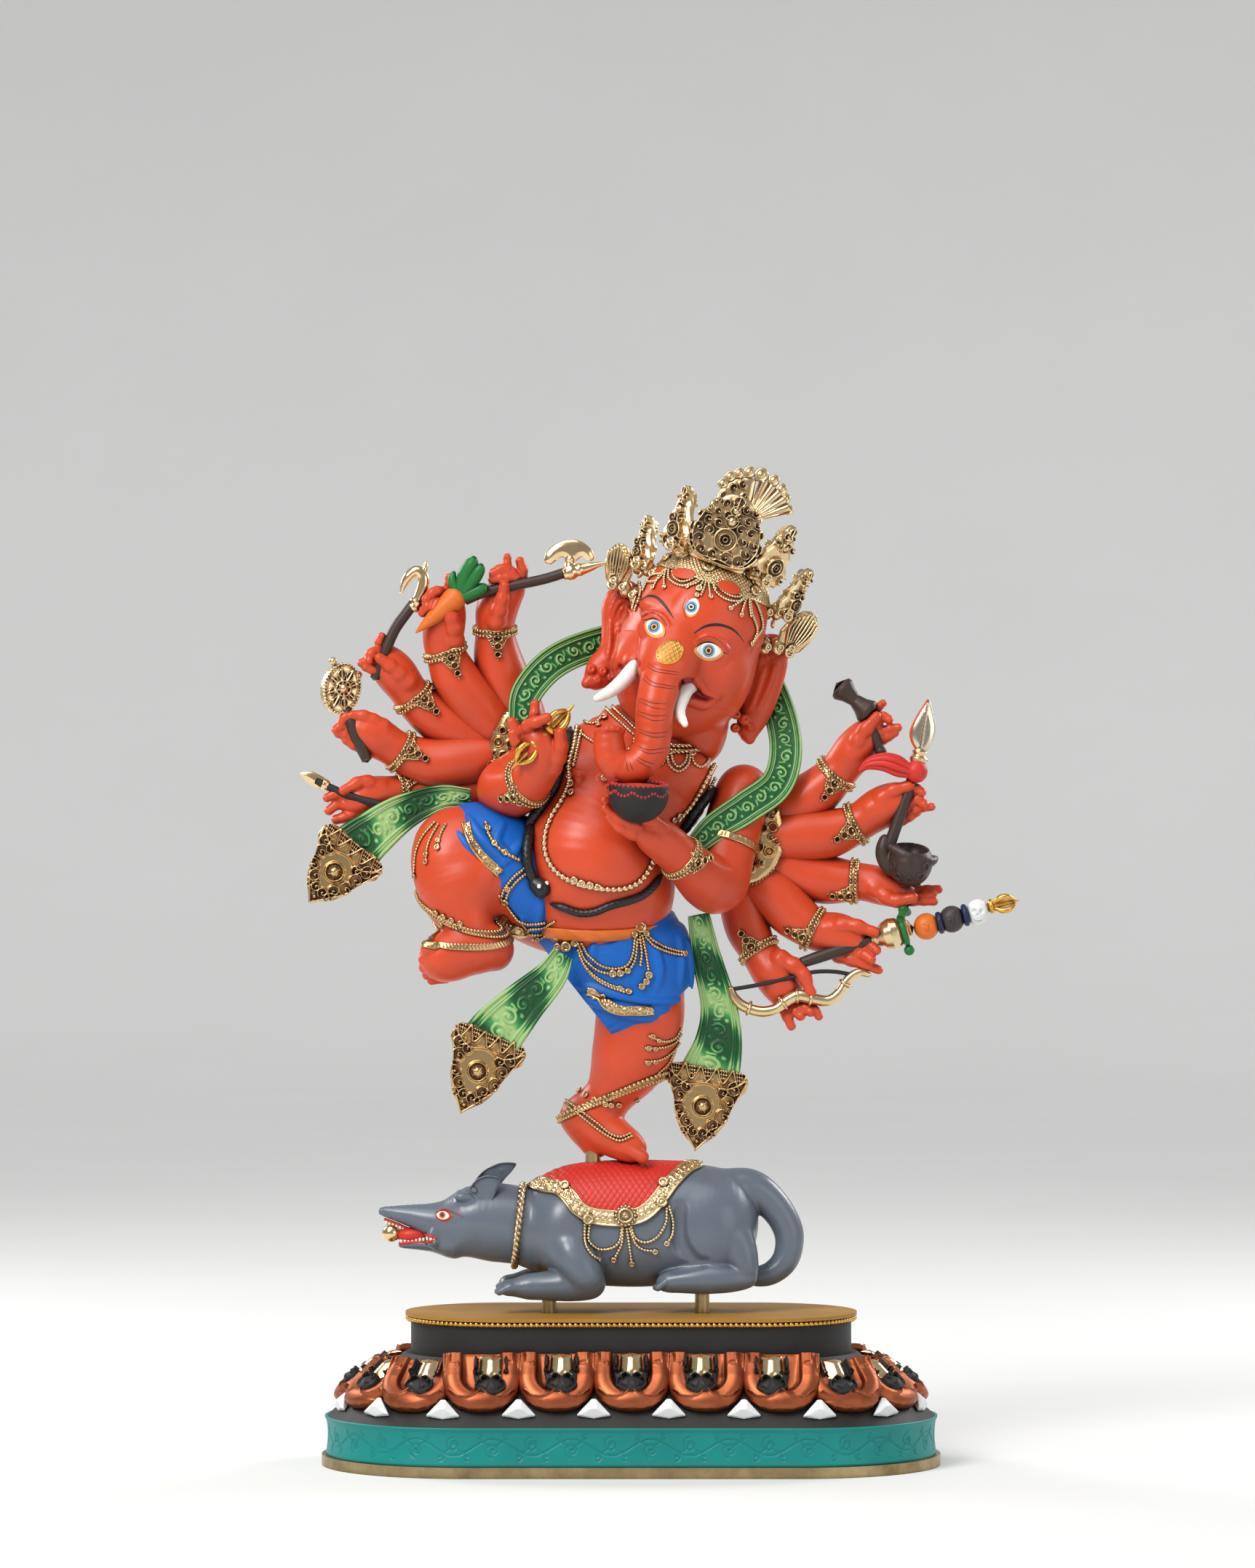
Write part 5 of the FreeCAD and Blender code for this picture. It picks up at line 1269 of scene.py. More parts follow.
def rat_ears():
    """Two leaf-shaped ears with a rolled top edge, a hollow and a small fold near the root."""
    heap = Heap()
    near = [
        (-89, 149), (-88, 153), (-85, 156.6), (-81, 158.6), (-76.6, 158.8), (-72, 157.6), (-73, 153.4),
        (-75, 148), (-78, 142.6), (-83, 142), (-88, 145),
    ]
    far = [
        (-88, 150), (-86, 155), (-82, 159.6), (-77, 162.6), (-71, 164.6), (-63.4, 164.2), (-65.4, 160.4),
        (-69, 156.4), (-73, 151.6), (-78, 147), (-85, 146),
    ]
    for outline, y in ((near, -12.6), (far, 12.6)):
        for way in (-1, 1):
            points = [(-way * px, pz) for px, pz in outline]
            low = np.min(points, axis=0) - 2
            ear = Relief(34, 28, RELIEF_STEP, low=low)
            ear.plate(closed_line(points, 1.0), 2.0)
            ear.line(points[1:6], (2.6, 1.2), 3.1)
            ear.line([points[5], points[6], points[7], points[8]], (1.0, 1.8), 2.6)
            heart = np.mean(points, axis=0)
            ear.pit(heart[0] + way * 0.5, heart[1] + 0.8, 5.4, 1.7)
            knob = np.mean([points[0], points[1], heart], axis=0)
            ear.dome(*knob, 2.1, 3.6)
            ear.pit(*knob, 1.1, 0.9)
            axes = np.column_stack([-way * RIGHT, UP, way * -FRONT])
            heap.add(*placed(ear.solid(1.6), (0, y, 0), axes))
    return heap


def saddle_pieces(body):
    """The quilted saddle, its scroll border with rosettes, and the bead swags under it."""
    edge = [
        (-53, 153.5), (-46, 152.2), (-39, 150.6), (-34, 146), (-29, 140), (-22, 136.3), (-12, 134.8),
        (-2, 135), (6, 137), (12, 141.5), (17, 147.5), (23, 155), (30, 161.4), (35, 163.5),
    ]
    front = body.front(flat_line(edge, 1.5))
    axis, lift_off, count, turns = 131.0, 48, 150, 220
    repeats = 36
    angle = np.arctan2(front[:, 2] - axis, -front[:, 1])

    def wrap(x, phi):
        out = np.stack([0 * phi, -np.cos(phi), np.sin(phi)], axis=-1)
        start = np.stack([x, 0 * x, 0 * x + axis], axis=-1) + out * lift_off
        return body.meet(start, -out, lift_off)

    right = np.linspace(angle[-1], math.pi - angle[-1], 22)[1:-1]
    left = np.linspace(math.pi - angle[0], angle[0], 26)[1:-1]
    loop_x = np.concatenate([front[:, 0], 0 * right + front[-1, 0], front[::-1, 0], 0 * left + front[0, 0]])
    loop_phi = np.concatenate([angle, right, math.pi - angle[::-1], left])
    loop = wrap(loop_x, loop_phi)
    closed_loop = np.vstack([loop, loop[:1]])
    spans = run_of(closed_loop)
    total = spans[-1]
    fine = np.linspace(0, total, int(total / 0.42), endpoint=False)
    path = np.column_stack([np.interp(fine, spans, closed_loop[:, k]) for k in range(3)])
    tile = scroll_tile(total / repeats, 8.4)

    def scrolls(distance, u):
        return 0.9 * look_up(tile, distance % (total / repeats), 4.2 + 4.15 * u)

    border = Heap().add(*body.band(path, 4.3, scrolls, 21, True, thick=1.5))
    x = np.linspace(front[0, 0], front[-1, 0], count)
    low = np.interp(x, front[:, 0], angle)
    share = np.linspace(0, 1, turns)
    xx = np.broadcast_to(x[:, None], (count, turns))
    phi = low[:, None] + (math.pi - 2 * low[:, None]) * share
    skin = wrap(xx.ravel(), phi.ravel())
    normal = body.normal(skin)
    arc = (phi.ravel() - math.pi / 2) * 30
    lines = np.minimum(*(np.abs((xx.ravel() + slope * arc) / 3.4 % 1 - 0.5) for slope in (0.62, -0.62)))
    height = 1.35 - 0.42 * np.clip(1 - lines / 0.17, 0, 1)
    top = (skin + normal * height[:, None]).reshape(count, turns, 3)
    bottom = (skin - normal * 0.6).reshape(count, turns, 3)
    piece("saddle_quilt", slab(top[::-1], bottom[::-1]), "saddle", "saddle_cloth")
    swags = Heap()
    studs = (((-3, 136), 5.8), ((-24, 134), 3.1), ((17, 143.2), 3.1))
    for at, radius in (*studs, ((17.6, 153.5), 2.9), ((-36, 152), 2.7)):
        spot = body.front([at], 2.0)[0]
        (rosette if radius > 5 else bezel)(border, spot, body.normal(spot), radius)
    drops = [
        ((-23, 131), (-23.5, 122), (-18, 118), (-11, 118.4), (-6.5, 122), (-5, 130)),
        ((-25.6, 131), (-25.6, 121), (-22.5, 115), (-18.5, 112)),
        ((-4.6, 129), (-5.2, 121), (-7.5, 116), (-9.2, 112.8)),
        ((-2.4, 129), (-1, 120), (0.2, 111)),
        ((0, 130), (2.4, 124), (8, 121.6), (14.4, 124.6), (19, 132), (19.6, 140)),
        ((-0.8, 129), (2.4, 121), (7, 117.6), (12.6, 117)),
        ((21, 141), (22.6, 132), (22.2, 126), (20, 121.4)),
    ]
    for drop in drops:
        line = body.front(flat_line(drop, 1.2), 0.7)
        cord_of_beads(swags, line, 0.95)
    for at in ((-18.2, 111.8), (-9.6, 112.2), (0.4, 110), (13.2, 116.6), (19.6, 121)):
        spot = body.front([at], 0.6)[0]
        bezel(swags, spot, body.normal(spot), 1.7)
    swags.add(*mirror_y(swags.arrays()))
    for at, radius in studs:
        spot = body.front([at], 2.0)[0] * vec(1, -1, 1)
        (rosette if radius > 5 else bezel)(border, spot, body.normal(spot), radius)
    piece("saddle_scroll_border", border, "gold", "saddle_border")
    piece("saddle_bead_swags", swags, "gold", "saddle_border")


def rat_face(body):
    """Eyes, mouth lining, teeth and the ball in the mouth."""
    def on_face(outline, rise):
        return both_sides(body.drape(patch(outline, rise)))

    def almond(x, z, half, high, tilt=0.0):
        return oval(x, z, half, high, tilt, 0.25, 28)

    piece("rat_eye_rims", on_face(almond(-103, 136, 4.8, 3.0, -6), 0.25), "deep_red", "rat_head")
    piece("rat_eye_whites", on_face(almond(-103.4, 136.3, 3.6, 2.3, -6), 0.5), "ivory", "rat_head")
    piece("rat_eye_irises", on_face(almond(-103.6, 136.4, 2.0, 2.0), 0.62), "orange", "rat_head")
    piece("rat_eye_pupils", on_face(almond(-103.7, 136.5, 1.25, 1.25), 0.75), "black", "rat_head")
    brow = body.front(flat_line([(-107, 138), (-103, 139.6), (-98, 138), (-92.5, 135.4)], 0.8), 0.1)
    piece("rat_brows", both_sides(tube(brow, np.linspace(0.5, 0.2, len(brow)), 6)), "deep_red", "rat_head")
    lips, teeth = Heap(), Heap()
    upper = flat_line([(-135.6, 134.2), (-128, 131.2), (-120, 127.8), (-112, 125.4), (-107.6, 123.8)], 1.0)
    lower = flat_line([(-127.4, 120.8), (-120, 121.6), (-113, 121.8), (-108.2, 122.6)], 1.0)
    for line in (upper, lower):
        lips.add(*both_sides(tube(body.front(line, -0.1), 0.8, 8)).arrays())
    lips.add(*placed(BALL, (-119, 0, 125.6), None, (11, 5.6, 4.4)))
    piece("rat_mouth", lips, "saddle", "rat_head")
    for line, down in ((upper, 1), (lower, -1)):
        for at in line[1:-1:2]:
            spot = body.front([at], -0.3)[0] - vec(0, 0, down * 1.5)
            for side in (1, -1):
                teeth.add(*placed(ball(8, 6), spot * vec(1, side, 1), None, (0.95, 0.7, 1.35)))
    piece("rat_teeth", teeth, "ivory", "rat_head")
    low, high = (np.array(c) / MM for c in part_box("mouth_jewel"))
    jewel = placed(ball(32, 20), (low + high) / 2, None, (high - low) / 2)
    piece("mouth_ball", jewel, "shiny", "mouth_jewel")


def make_rat():
    """Every piece of the rat."""
    body = rat_clay()
    made = piece("rat_form", body.mesh(), "slate", "rat_body")
    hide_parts("rat_head", "rat_legs", "rat_tail")
    piece("rat_ear_pair", rat_ears(), "slate", "rat_ears")
    rat_face(body)
    saddle_pieces(body)
    collar = Heap()
    loop = body.around((-62, 0, 129), (-1, 0, 0.10), 30, 120)
    for turn in (0, math.pi):
        wave = np.linspace(0, 2 * math.pi * 18, len(loop), endpoint=False) + turn
        out = body.normal(loop)
        swell, sway = 1.0 + 0.8 * np.cos(wave), 0.95 * np.sin(wave)
        strand = loop + out * swell[:, None] + RIGHT * sway[:, None]
        smooth = spline(np.vstack([strand, strand[:1]]), 560)[:-1]
        collar.add(*tube(smooth, 1.15, 7, True))
    piece("rat_rope_collar", collar, "gold", "rat_collar")


# ------------------------------------------------------------------ head, body and limbs

HEAD_AT = vec(32, -8, 448)
HEAD_AXES = np.column_stack([vec(0.934, 0, -0.358), vec(0, 1, 0), vec(0.358, 0, 0.934)])


def on_head(side, depth, up):
    """A place given across, behind and above the head's centre, in its own tilted axes."""
    return HEAD_AT + HEAD_AXES @ vec(side, depth, up)


def head_clay():
    """Head, ears and trunk as one modelled form."""
    clay = Clay((-33, -70, 374), (97, 40, 505), CLAY_STEP)
    rings = (
        (-44, 15, 14), (-38, 19, 18), (-28, 31, 29), (-12, 38, 36), (8, 36.5, 37.5), (27, 34, 34.5),
        (41, 24, 26), (49, 10, 11),
    )
    clay.loft([(*on_head(0, 0, up), half, deep) for up, half, deep in rings], 6, 4, 0.8)
    clay.chain([(36, -2, 412, 15), (34, 0, 398, 15)], 6)
    for at, radii in (
        ((50, -26, 434), (12, 12, 14)), ((2, -24, 440), (10, 10, 12)), ((47, -16, 420), (11, 12, 9)),
    ):
        clay.egg(at, radii, 9)
    for at, radii in (
        ((24, -37, 458), (9, 6, 12)), ((45, -30, 455.5), (14, 6, 5)), ((13, -33, 470), (9, 5, 5)),
    ):
        clay.egg(at, radii, 7, HEAD_AXES)
    trunk = spaced(
        [
            (24, -32, 452, 14), (20.6, -42, 440, 12.6), (16.5, -51, 430, 11), (13, -56, 416, 9.9),
            (11.8, -57, 400, 9.4), (8.5, -57.5, 389, 9.2), (-2, -58, 381, 9.1), (-10.5, -58, 387, 8.6),
            (-12.2, -58, 396, 8.0), (-12.2, -58, 400, 7.4),
        ],
        0.9,
    )
    run = np.arange(len(trunk)) * 0.9
    trunk[:, 3] += 0.22 * np.sin(run * 2 * math.pi / 5.4) * (run > 14)
    for a, b in zip(trunk[:-1], trunk[1:]):
        clay.cone(a[:3], b[:3], a[3], b[3], 1.0 if a[2] < 436 else 6)
    clay.egg((-12.2, -58, 406.4), (8.5, 8.5, 3.6), 1.2, carve=True)
    clay.chain(
        [
            (-19, -60, 401.5, 1.5), (-14, -65.5, 403.2, 1.5), (-8, -64.5, 403.4, 1.5),
            (-4.8, -60, 402, 1.4), (-7, -53, 402, 1.4), (-15, -52, 402, 1.4), (-19, -56, 401.5, 1.5),
        ],
        1.2,
    )
    clay.egg((21.5, -43.5, 446.5), (8.6, 5.5, 7.6), 4, HEAD_AXES)
    for x, z, radii in (
        (12.6, 459.6, (6.2, 4.4, 5.0)), (42.4, 446.8, (8.0, 4.4, 5.2)), (33.2, 470.6, (4.6, 3.4, 6.0)),
    ):
        at = clay.front([(x, z)])[0]
        clay.egg(at + vec(0, 4.6, 0), (radii[0] + 3, 3.4, radii[2] + 2.6), 4)
        clay.egg(at + vec(0, 2.6, 0), radii, 1.5, HEAD_AXES)
    lids = (
        ((6.5, 466), (11, 468), (17, 466), (20.5, 461)), ((35.5, 451), (41, 454.6), (48, 453), (53, 448)),
    )
    for lid in lids:
        line = clay.front(flat_line(lid, 2), -0.2)
        clay.chain([(*p, 0.9) for p in line], 1.6)
    # the mouth: a dark opening behind the right tusk, its lips, and the sockets of both tusks
    mouth = clay.front([(29, 428), (34, 428), (37, 423.5), (41, 421), (45, 420.6)], 0.6)
    clay.chain([(*p, r) for p, r in zip(mouth, (4.2, 3.6, 2.2, 1.5, 0.7))], 1.2, carve=True)
    lips = clay.front([(30, 420.6), (35, 418.6), (41, 417.2), (46, 420)], 0.3)
    clay.chain([(*p, r) for p, r in zip(lips, (2.4, 2.6, 2.4, 1.2))], 1.6)
    lips = clay.front([(38, 430), (40.4, 425), (44, 422.6), (47.4, 421.6)], 0.0)
    clay.chain([(*p, 1.5) for p in lips], 2.0)
    for at in ((2.5, 440), (31.5, 431)):
        spot = clay.front([at])[0]
        clay.egg(spot + vec(0, 2, 0), (6.4, 4.5, 5.6), 3)
    corner = clay.front([(-6.5, 437)])[0]
    clay.egg(corner, (3.2, 2.6, 2.6), 1.4, carve=True)
    # ears
    left = (
        (-1, 9, 480, 8, 6), (-6, 8, 472, 9.5, 6), (-8.5, 7, 458, 7.4, 6), (-10, 5, 446, 7.6, 6),
        (-16, 3, 436, 9, 5.6), (-21, 1, 430, 5.6, 4.6),
    )
    right = (
        (76, 9, 451, 9.2, 6), (76.5, 8, 442, 9.6, 6), (73, 6, 428, 9.6, 6), (68, 4, 414, 9, 5.6),
        (64.5, 2, 403, 6, 4.6), (65.4, 1, 397.5, 2.4, 3),
    )
    for ear in (left, right):
        clay.loft(ear, 3, 2.5, 0.9)
    clay.cone((-22, 0, 431), (-24.5, -1, 429), 4, 3, 2)
    for bowl in (
        ((-3.5, -2.6, 472, 5.0), (-8, -3.2, 463, 4.0), (-9, -4, 452, 3.0), (-9, -5, 446, 2.0)),
        ((75, -2.8, 444, 5.2), (73, -3.6, 434, 3.6), (67, -5, 420, 2.4), (64, -6, 411, 1.4)),
    ):
        clay.chain(bowl, 2.5, carve=True)
    for x, z, start, stop in ((-3.4, 464, 0.5, 2.9), (71.5, 441, 0.3, 2.7)):
        for radius in (4.4, 7.2, 10.0):
            turn = np.linspace(start, stop, 9)
            arc = clay.front(
                np.column_stack([x + radius * 0.85 * np.cos(turn), z + radius * 1.5 * np.sin(turn)]), -0.35,
            )
            clay.chain([(*p, 0.85) for p in arc], 0.8)
    for fold in (
        ((-11.6, 462), (-11.6, 452), (-13, 443)), ((-7, 461), (-7.2, 452), (-9, 443)),
        ((79, 438), (76, 428), (70.6, 416)), ((73, 437), (70, 427), (66, 416)),
    ):
        line = clay.front(flat_line(fold, 2), -0.6)
        clay.chain([(*p, 1.1) for p in line], 1.4)
    for knob in (
        (-22, -3.5, 436.5, 2.9), (-15.6, -3.6, 435.4, 2.8), (-11.6, -3, 432.4, 2.0),
        (-18.5, -3, 430.5, 2.2), (57.5, -4, 411.8, 2.8), (62.4, -4.2, 409, 3.2), (57.2, -3, 404.4, 2.8),
        (65.6, -2.6, 404.6, 2.4),
    ):
        clay.egg(knob[:3], (knob[3], knob[3] * 0.9, knob[3]), 1.0)
        clay.egg(vec(*knob[:3]) + vec(0.4, -knob[3] * 0.9, 0.5), (knob[3] * 0.4,) * 3, 0.4, carve=True)
    return clay


def stroke(clay, points, widths, rise=0.16):
    """A painted line: a thin tapering ribbon laid on the clay's front, points in x and z as seen."""
    line = spline([(*p, 0) for p in points], max(8, int(length_of([(*p, 0) for p in points]) / 0.7)))[:, :2]
    share = np.linspace(0, 1, len(line))
    half = np.interp(share, np.linspace(0, 1, len(widths)), widths) / 2
    along = unit(np.gradient(line, axis=0))
    across = np.column_stack([-along[:, 1], along[:, 0]])
    u = np.array([-1, -0.7, 0, 0.7, 1])
    flat = (line[:, None] + across[:, None] * (half[:, None] * u)[..., None]).reshape(-1, 2)
    hit = clay.front(flat)
    out = clay.normal(hit)
    height = np.tile([-0.25, rise, rise, rise, -0.25], len(line))
    top = (hit + out * height[:, None]).reshape(len(line), 5, 3)
    return slab(top, (hit - out * 0.4).reshape(top.shape))


def oval(x, z, half, high, tilt=0.0, pinch=0.0, count=36):
    """An ellipse outline; pinch draws its two ends to points, as an eye's."""
    turn = np.linspace(0, 2 * math.pi, count, endpoint=False)
    u = half * np.cos(turn)
    v = high * np.sin(turn) * np.abs(np.sin(turn)) ** pinch
    c, s = math.cos(math.radians(tilt)), math.sin(math.radians(tilt))
    return np.column_stack([x + u * c - v * s, z + u * s + v * c])


def paint_face(clay):
    """Everything painted on the head: eyes, brows, lashes, mouth, forehead mark and trunk lines."""
    layers = {}

    def add(name, look, shape):
        layers.setdefault((name, look), Heap()).add(*shape)

    def disc(name, look, outline, rise):
        add(name, look, clay.drape(patch(outline, rise)))

    def iris(x, z, radii, ring_look):
        rounds = (
            ("eye_irises", "iris", 0.52), ("eye_rings", "black", 0.64), ("eye_gold_rings", ring_look, 0.76),
            ("eye_pupils", "black", 0.88),
        )
        for (name, look, rise), radius in zip(rounds, radii):
            disc(name, look, oval(x, z, radius, radius), rise)

    eyes = (
        (13.0, 459.3, 6.0, 4.4, -33, 0.35, (12.7, 459.9)), (42.7, 446.6, 7.8, 4.6, -6, 0.4, (42.5, 447.0)),
    )
    for x, z, half, high, tilt, pinch, (ix, iz) in eyes:
        disc("eye_rims", "eye_orange", oval(x, z - 0.3, half + 0.5, high + 0.5, tilt, pinch), 0.22)
        disc("eye_whites", "ivory", oval(x, z + 0.3, half - 0.8, high - 0.4, tilt, pinch), 0.4)
        iris(ix, iz, (3.5, 2.35, 1.8, 1.0), "eye_orange")
    # the third eye, upright on the forehead
    disc("eye_rims", "eye_orange", oval(33.7, 470.6, 5.7, 3.9, 68, 0.1), 0.22)
    disc("eye_whites", "ivory", oval(33.7, 471.0, 5.0, 3.5, 68, 0.1), 0.4)
    iris(33.0, 471.0, (3.2, 2.1, 1.5, 0.8), "cream")
    black = (
        (((5.2, 474.4), (9.4, 477.0), (14.4, 475.8), (19.2, 471), (23.4, 464.6)), (0.4, 1.6, 2.0, 1.7, 0.3)),
        (
            ((34.6, 456.6), (40.4, 460.2), (47.4, 461.2), (54.4, 459.4), (59.2, 455.8), (62, 451.6)),
            (0.5, 1.8, 2.1, 1.8, 1.3, 0.2),
        ),
        (
            ((5.8, 463.8), (8.6, 463.8), (12.4, 464.6), (16.4, 461.8), (18.6, 457), (18.0, 454.8)),
            (0.3, 1.0, 1.3, 1.2, 0.8, 0.2),
        ),
        (
            ((35.4, 447.8), (37.8, 450.4), (42.4, 451.6), (47.0, 449.8), (50, 446.6), (53.4, 445)),
            (0.6, 1.2, 1.5, 1.3, 0.9, 0.2),
        ),
        (((6.4, 461.8), (8.8, 463.0)), (0.2, 0.7)),
    )
    for points, widths in black:
        add("brows_and_lashes", "black", stroke(clay, points, widths))
    thin = [
        (((6, 465.6), (11, 467.8), (16.4, 465.6), (20.4, 460.0)), (0.2, 0.35, 0.2)),
        (((36.4, 452.4), (42, 454.8), (48, 452.8), (53.4, 446.4)), (0.2, 0.35, 0.2)),
        (((30.2, 476.4), (28.4, 471), (30.4, 464.8)), (0.2, 0.4, 0.2)),
    ]
    lines = [
        ((8.6, 438.6), (14, 435.4), (26, 433.6)), ((9.4, 440.0), (15, 436.8), (26.6, 435.0)),
        ((6.8, 434.4), (12, 429.6), (25, 427.0)), ((6.0, 431.8), (12, 427.6), (24, 425.8)),
        ((4.2, 421.0), (12, 418.2), (19.4, 417.6)), ((4.2, 419.2), (12, 415.6), (18.8, 414.6)),
        ((4.0, 413.6), (12, 411.2), (19.4, 411.4)), ((4.0, 411.6), (12, 408.6), (18.8, 408.8)),
        ((4.4, 403.8), (12, 401.6), (20.6, 402.4)), ((4.4, 402.2), (12, 399.4), (19.4, 399.8)),
        ((4.2, 394.4), (10, 392.4), (19.6, 393.6)), ((4.4, 392.6), (10, 390.4), (18.2, 391.2)),
        ((2.2, 387.6), (6, 384.8), (10.6, 382.4)), ((3.0, 388.6), (8, 386), (13.2, 384.4)),
        ((-0.8, 386.4), (0.0, 383.4), (1.4, 380.6)), ((-2.6, 386.2), (-2.2, 383), (-1.4, 380.4)),
    ]
    for line in lines:
        thin.append((line, (0.15, 0.5, 0.5, 0.15)))
    for points, widths in thin:
        add("fine_lines", "brown", stroke(clay, points, widths, 0.1))
    mark = oval(21.2, 446, 7.6, 6.0, 28)
    disc("forehead_mark", "eye_orange", mark, 0.12)
    c, s = math.cos(math.radians(28)), math.sin(math.radians(28))
    for k in np.linspace(-0.78, 0.78, 6):
        reach = 0.93 * math.sqrt(1 - k * k)
        for u0, v0, u1, v1 in (
            (7.6 * k, -6 * reach, 7.6 * k + 0.8, 6 * reach),
            (-7.6 * reach, 6 * k, 7.6 * reach, 6 * k + 0.6),
        ):
            mid = ((u0 + u1) / 2 * 1.06, (v0 + v1) / 2 * 1.06)
            ends = [(u0, v0), mid, (u1, v1)]
            add(
                "forehead_lattice", "gold_paint",
                stroke(
                    clay, [(21.2 + u * c - v * s, 446 + u * s + v * c) for u, v in ends], (0.7, 0.8, 0.7),
                    0.3,
                ),
            )
    add("forehead_lattice", "gold_paint", stroke(clay, np.vstack([mark, mark[:1]]), (0.7, 0.7), 0.3))
    opening = [
        (26.2, 428), (28.4, 431.4), (32.4, 432.6), (35.6, 430), (37.2, 425.6), (40, 422.4), (45.6, 420.8),
        (42, 418.9), (36.4, 419.6), (31.4, 421), (27.6, 424),
    ]
    disc("mouth_paint", "deep_red", spline([(*p, 0) for p in opening + opening[:1]], 50)[:-1, :2], 0.12)
    disc("mouth_paint", "deep_red", oval(0.4, 439.2, 5.2, 3.4, 20), 0.1)
    disc("mouth_paint", "deep_red", oval(-5.6, 437.4, 3.2, 2.4, 30), 0.1)
    for (name, look), heap in layers.items():
        piece(name, heap, look, "head")


def torso_clay():
    """Chest and belly."""
    clay = Clay((-62, -56, 284), (72, 40, 425))
    rings = (
        (-12, 0, 288, 31, 27), (-16, -3, 300, 38.5, 34), (-18.5, -6, 316, 42.5, 39.5),
        (-20, -8, 334, 42, 41), (-16, -6, 350, 39.5, 37), (-8, -3, 364, 39, 31), (4, 0, 380, 42, 26.5),
        (12, 2, 394, 34, 21.5), (20, 0, 404, 20, 17.5), (24, -2, 414, 16.5, 15.5),
    )
    clay.loft(rings, 8, 4)
    clay.egg((-28, -14, 380), (19, 15, 13), 9)
    clay.egg((24, -14, 380), (20, 14, 13), 9)
    clay.egg((-20, -22, 336), (30, 27, 27), 12)
    for x, size in ((-28.5, 2.6), (-16.6, 1.4)):
        spot = clay.front([(x, 377)])[0]
        clay.egg(spot, (size, 1.6, size), 1.2)
    return clay


def leg_clays():
    """The bent raised leg and the standing leg, each with its foot."""
    raised = Clay((-128, -60, 258), (-18, 34, 366))
    raised.chain(
        [
            (-34, 0, 306, 25), (-58, -6, 320, 26), (-76, -11, 331, 25.5), (-92, -16, 336, 22),
            (-99, -19, 338, 18),
        ],
        8, pitch=4,
    )
    raised.loft(
        [
            (-99, -20, 342, 15, 15), (-98, -21, 332, 21.5, 21), (-95.5, -26, 316, 20.5, 20),
            (-91, -29.5, 301, 15.5, 15.5), (-88, -31, 290, 13, 13),
        ],
        6, 3,
    )
    raised.egg((-86, -30, 322), (15, 16, 16), 8)
    raised.chain(
        [(-74, -29, 285, 9), (-84, -32, 283.5, 10.5), (-97, -36, 281, 10), (-106, -40, 279, 8.5)], 6,
    )
    raised.egg((-73, -27, 281), (7.5, 9, 8.5), 5)
    raised.egg((-100, -37, 275), (12, 9, 8.5), 5)
    toes = (
        (-110.5, -46, 284, 3.9), (-112.6, -42, 278.2, 3.1), (-112.6, -38.5, 273.6, 2.9),
        (-111, -35.5, 269.6, 2.8), (-108.6, -33, 266.6, 2.6),
    )
    for x, y, z, radius in toes:
        raised.chain(
            [
                (x + 8, y + 2.5, z + 0.6, radius * 0.9), (x + 3, y, z + 0.5, radius * 0.92),
                (x, y - 0.6, z, radius),
            ],
            1.0,
        )
        raised.egg((x - 1.0, y - radius * 0.75, z + 0.6), (1.5, 1.0, 1.3), 0.5)
    standing = Clay((-46, -36, 160), (38, 34, 280))
    standing.loft(
        [
            (7, 0, 268, 22, 22), (5, -2, 250, 23.5, 23), (3, -3, 234, 23, 22.5), (-2, -1, 220, 20.5, 20),
            (-9, 1, 207, 15, 15), (-14.5, 2.5, 197, 11, 11.5),
        ],
        7, 3,
    )
    standing.egg((9, -10, 247), (16, 15, 15), 9)
    standing.egg((-2, 9, 224), (15, 12, 18), 9)
    standing.chain([(-15, 3, 199, 11), (-20, 4, 192, 12), (-28, 5, 190.5, 9.6), (-31, 5, 190, 7)], 5)
    standing.chain([(-22, 2, 188, 10.5), (-14, -1, 182, 9.4), (-6, -5, 177.5, 7.8), (2, -8.5, 173, 6)], 5)
    standing.chain([(-28, 4, 184, 6), (-22, 3, 178, 5.4), (-20, 2, 172, 4.0)], 5)
    for k in range(5):
        start = vec(-3, -12 + 3.6 * k, 174.0)
        end = vec(6.2 - 1.1 * k, -15 + 4.2 * k, 169.4)
        radius = 3.6 if k == 0 else 2.7
        standing.cone(start, end, radius + 0.6, radius, 1.1)
        standing.egg(end + vec(1.4, 0, 1.5), (1.4, 1.3, 0.8), 0.5)
    return raised, standing


def arm_clay(stations, hand):
    """One arm with its hand: the arm as (x, y, z, radius) stations, the hand as finger lines."""
    points = np.array(list(stations) + [p for line in hand for p in line], float)
    margin = points[:, 3:].max() + 5
    clay = Clay(points[:, :3].min(0) - margin, points[:, :3].max(0) + margin, CLAY_STEP * 0.9)
    path = spaced(stations, 3)
    for a, b in zip(path[:-1], path[1:]):
        clay.cone(a[:3], b[:3], a[3], b[3], 3)
    palm, fingers = hand[0], hand[1:]
    clay.chain(palm, 4, pitch=2.5)
    for finger in fingers:
        line = spaced(finger, 1.6)
        knuckle = 0.10 * np.cos(np.linspace(0, 3 * 2 * math.pi, len(line))) - 0.05
        line[:, 3] *= 1 + knuckle
        for k, (a, b) in enumerate(zip(line[:-1], line[1:])):
            clay.cone(a[:3], b[:3], a[3], b[3], 1.6 if k < 2 else 0.9)
        tip, before = line[-1], line[-2]
        way = unit(tip[:3] - before[:3])
        clay.egg(
            tip[:3] + way * 0.5 + FRONT * tip[3] * 0.72, (tip[3] * 0.62, tip[3] * 0.32, tip[3] * 0.62),
            0.35,
        )
    return clay


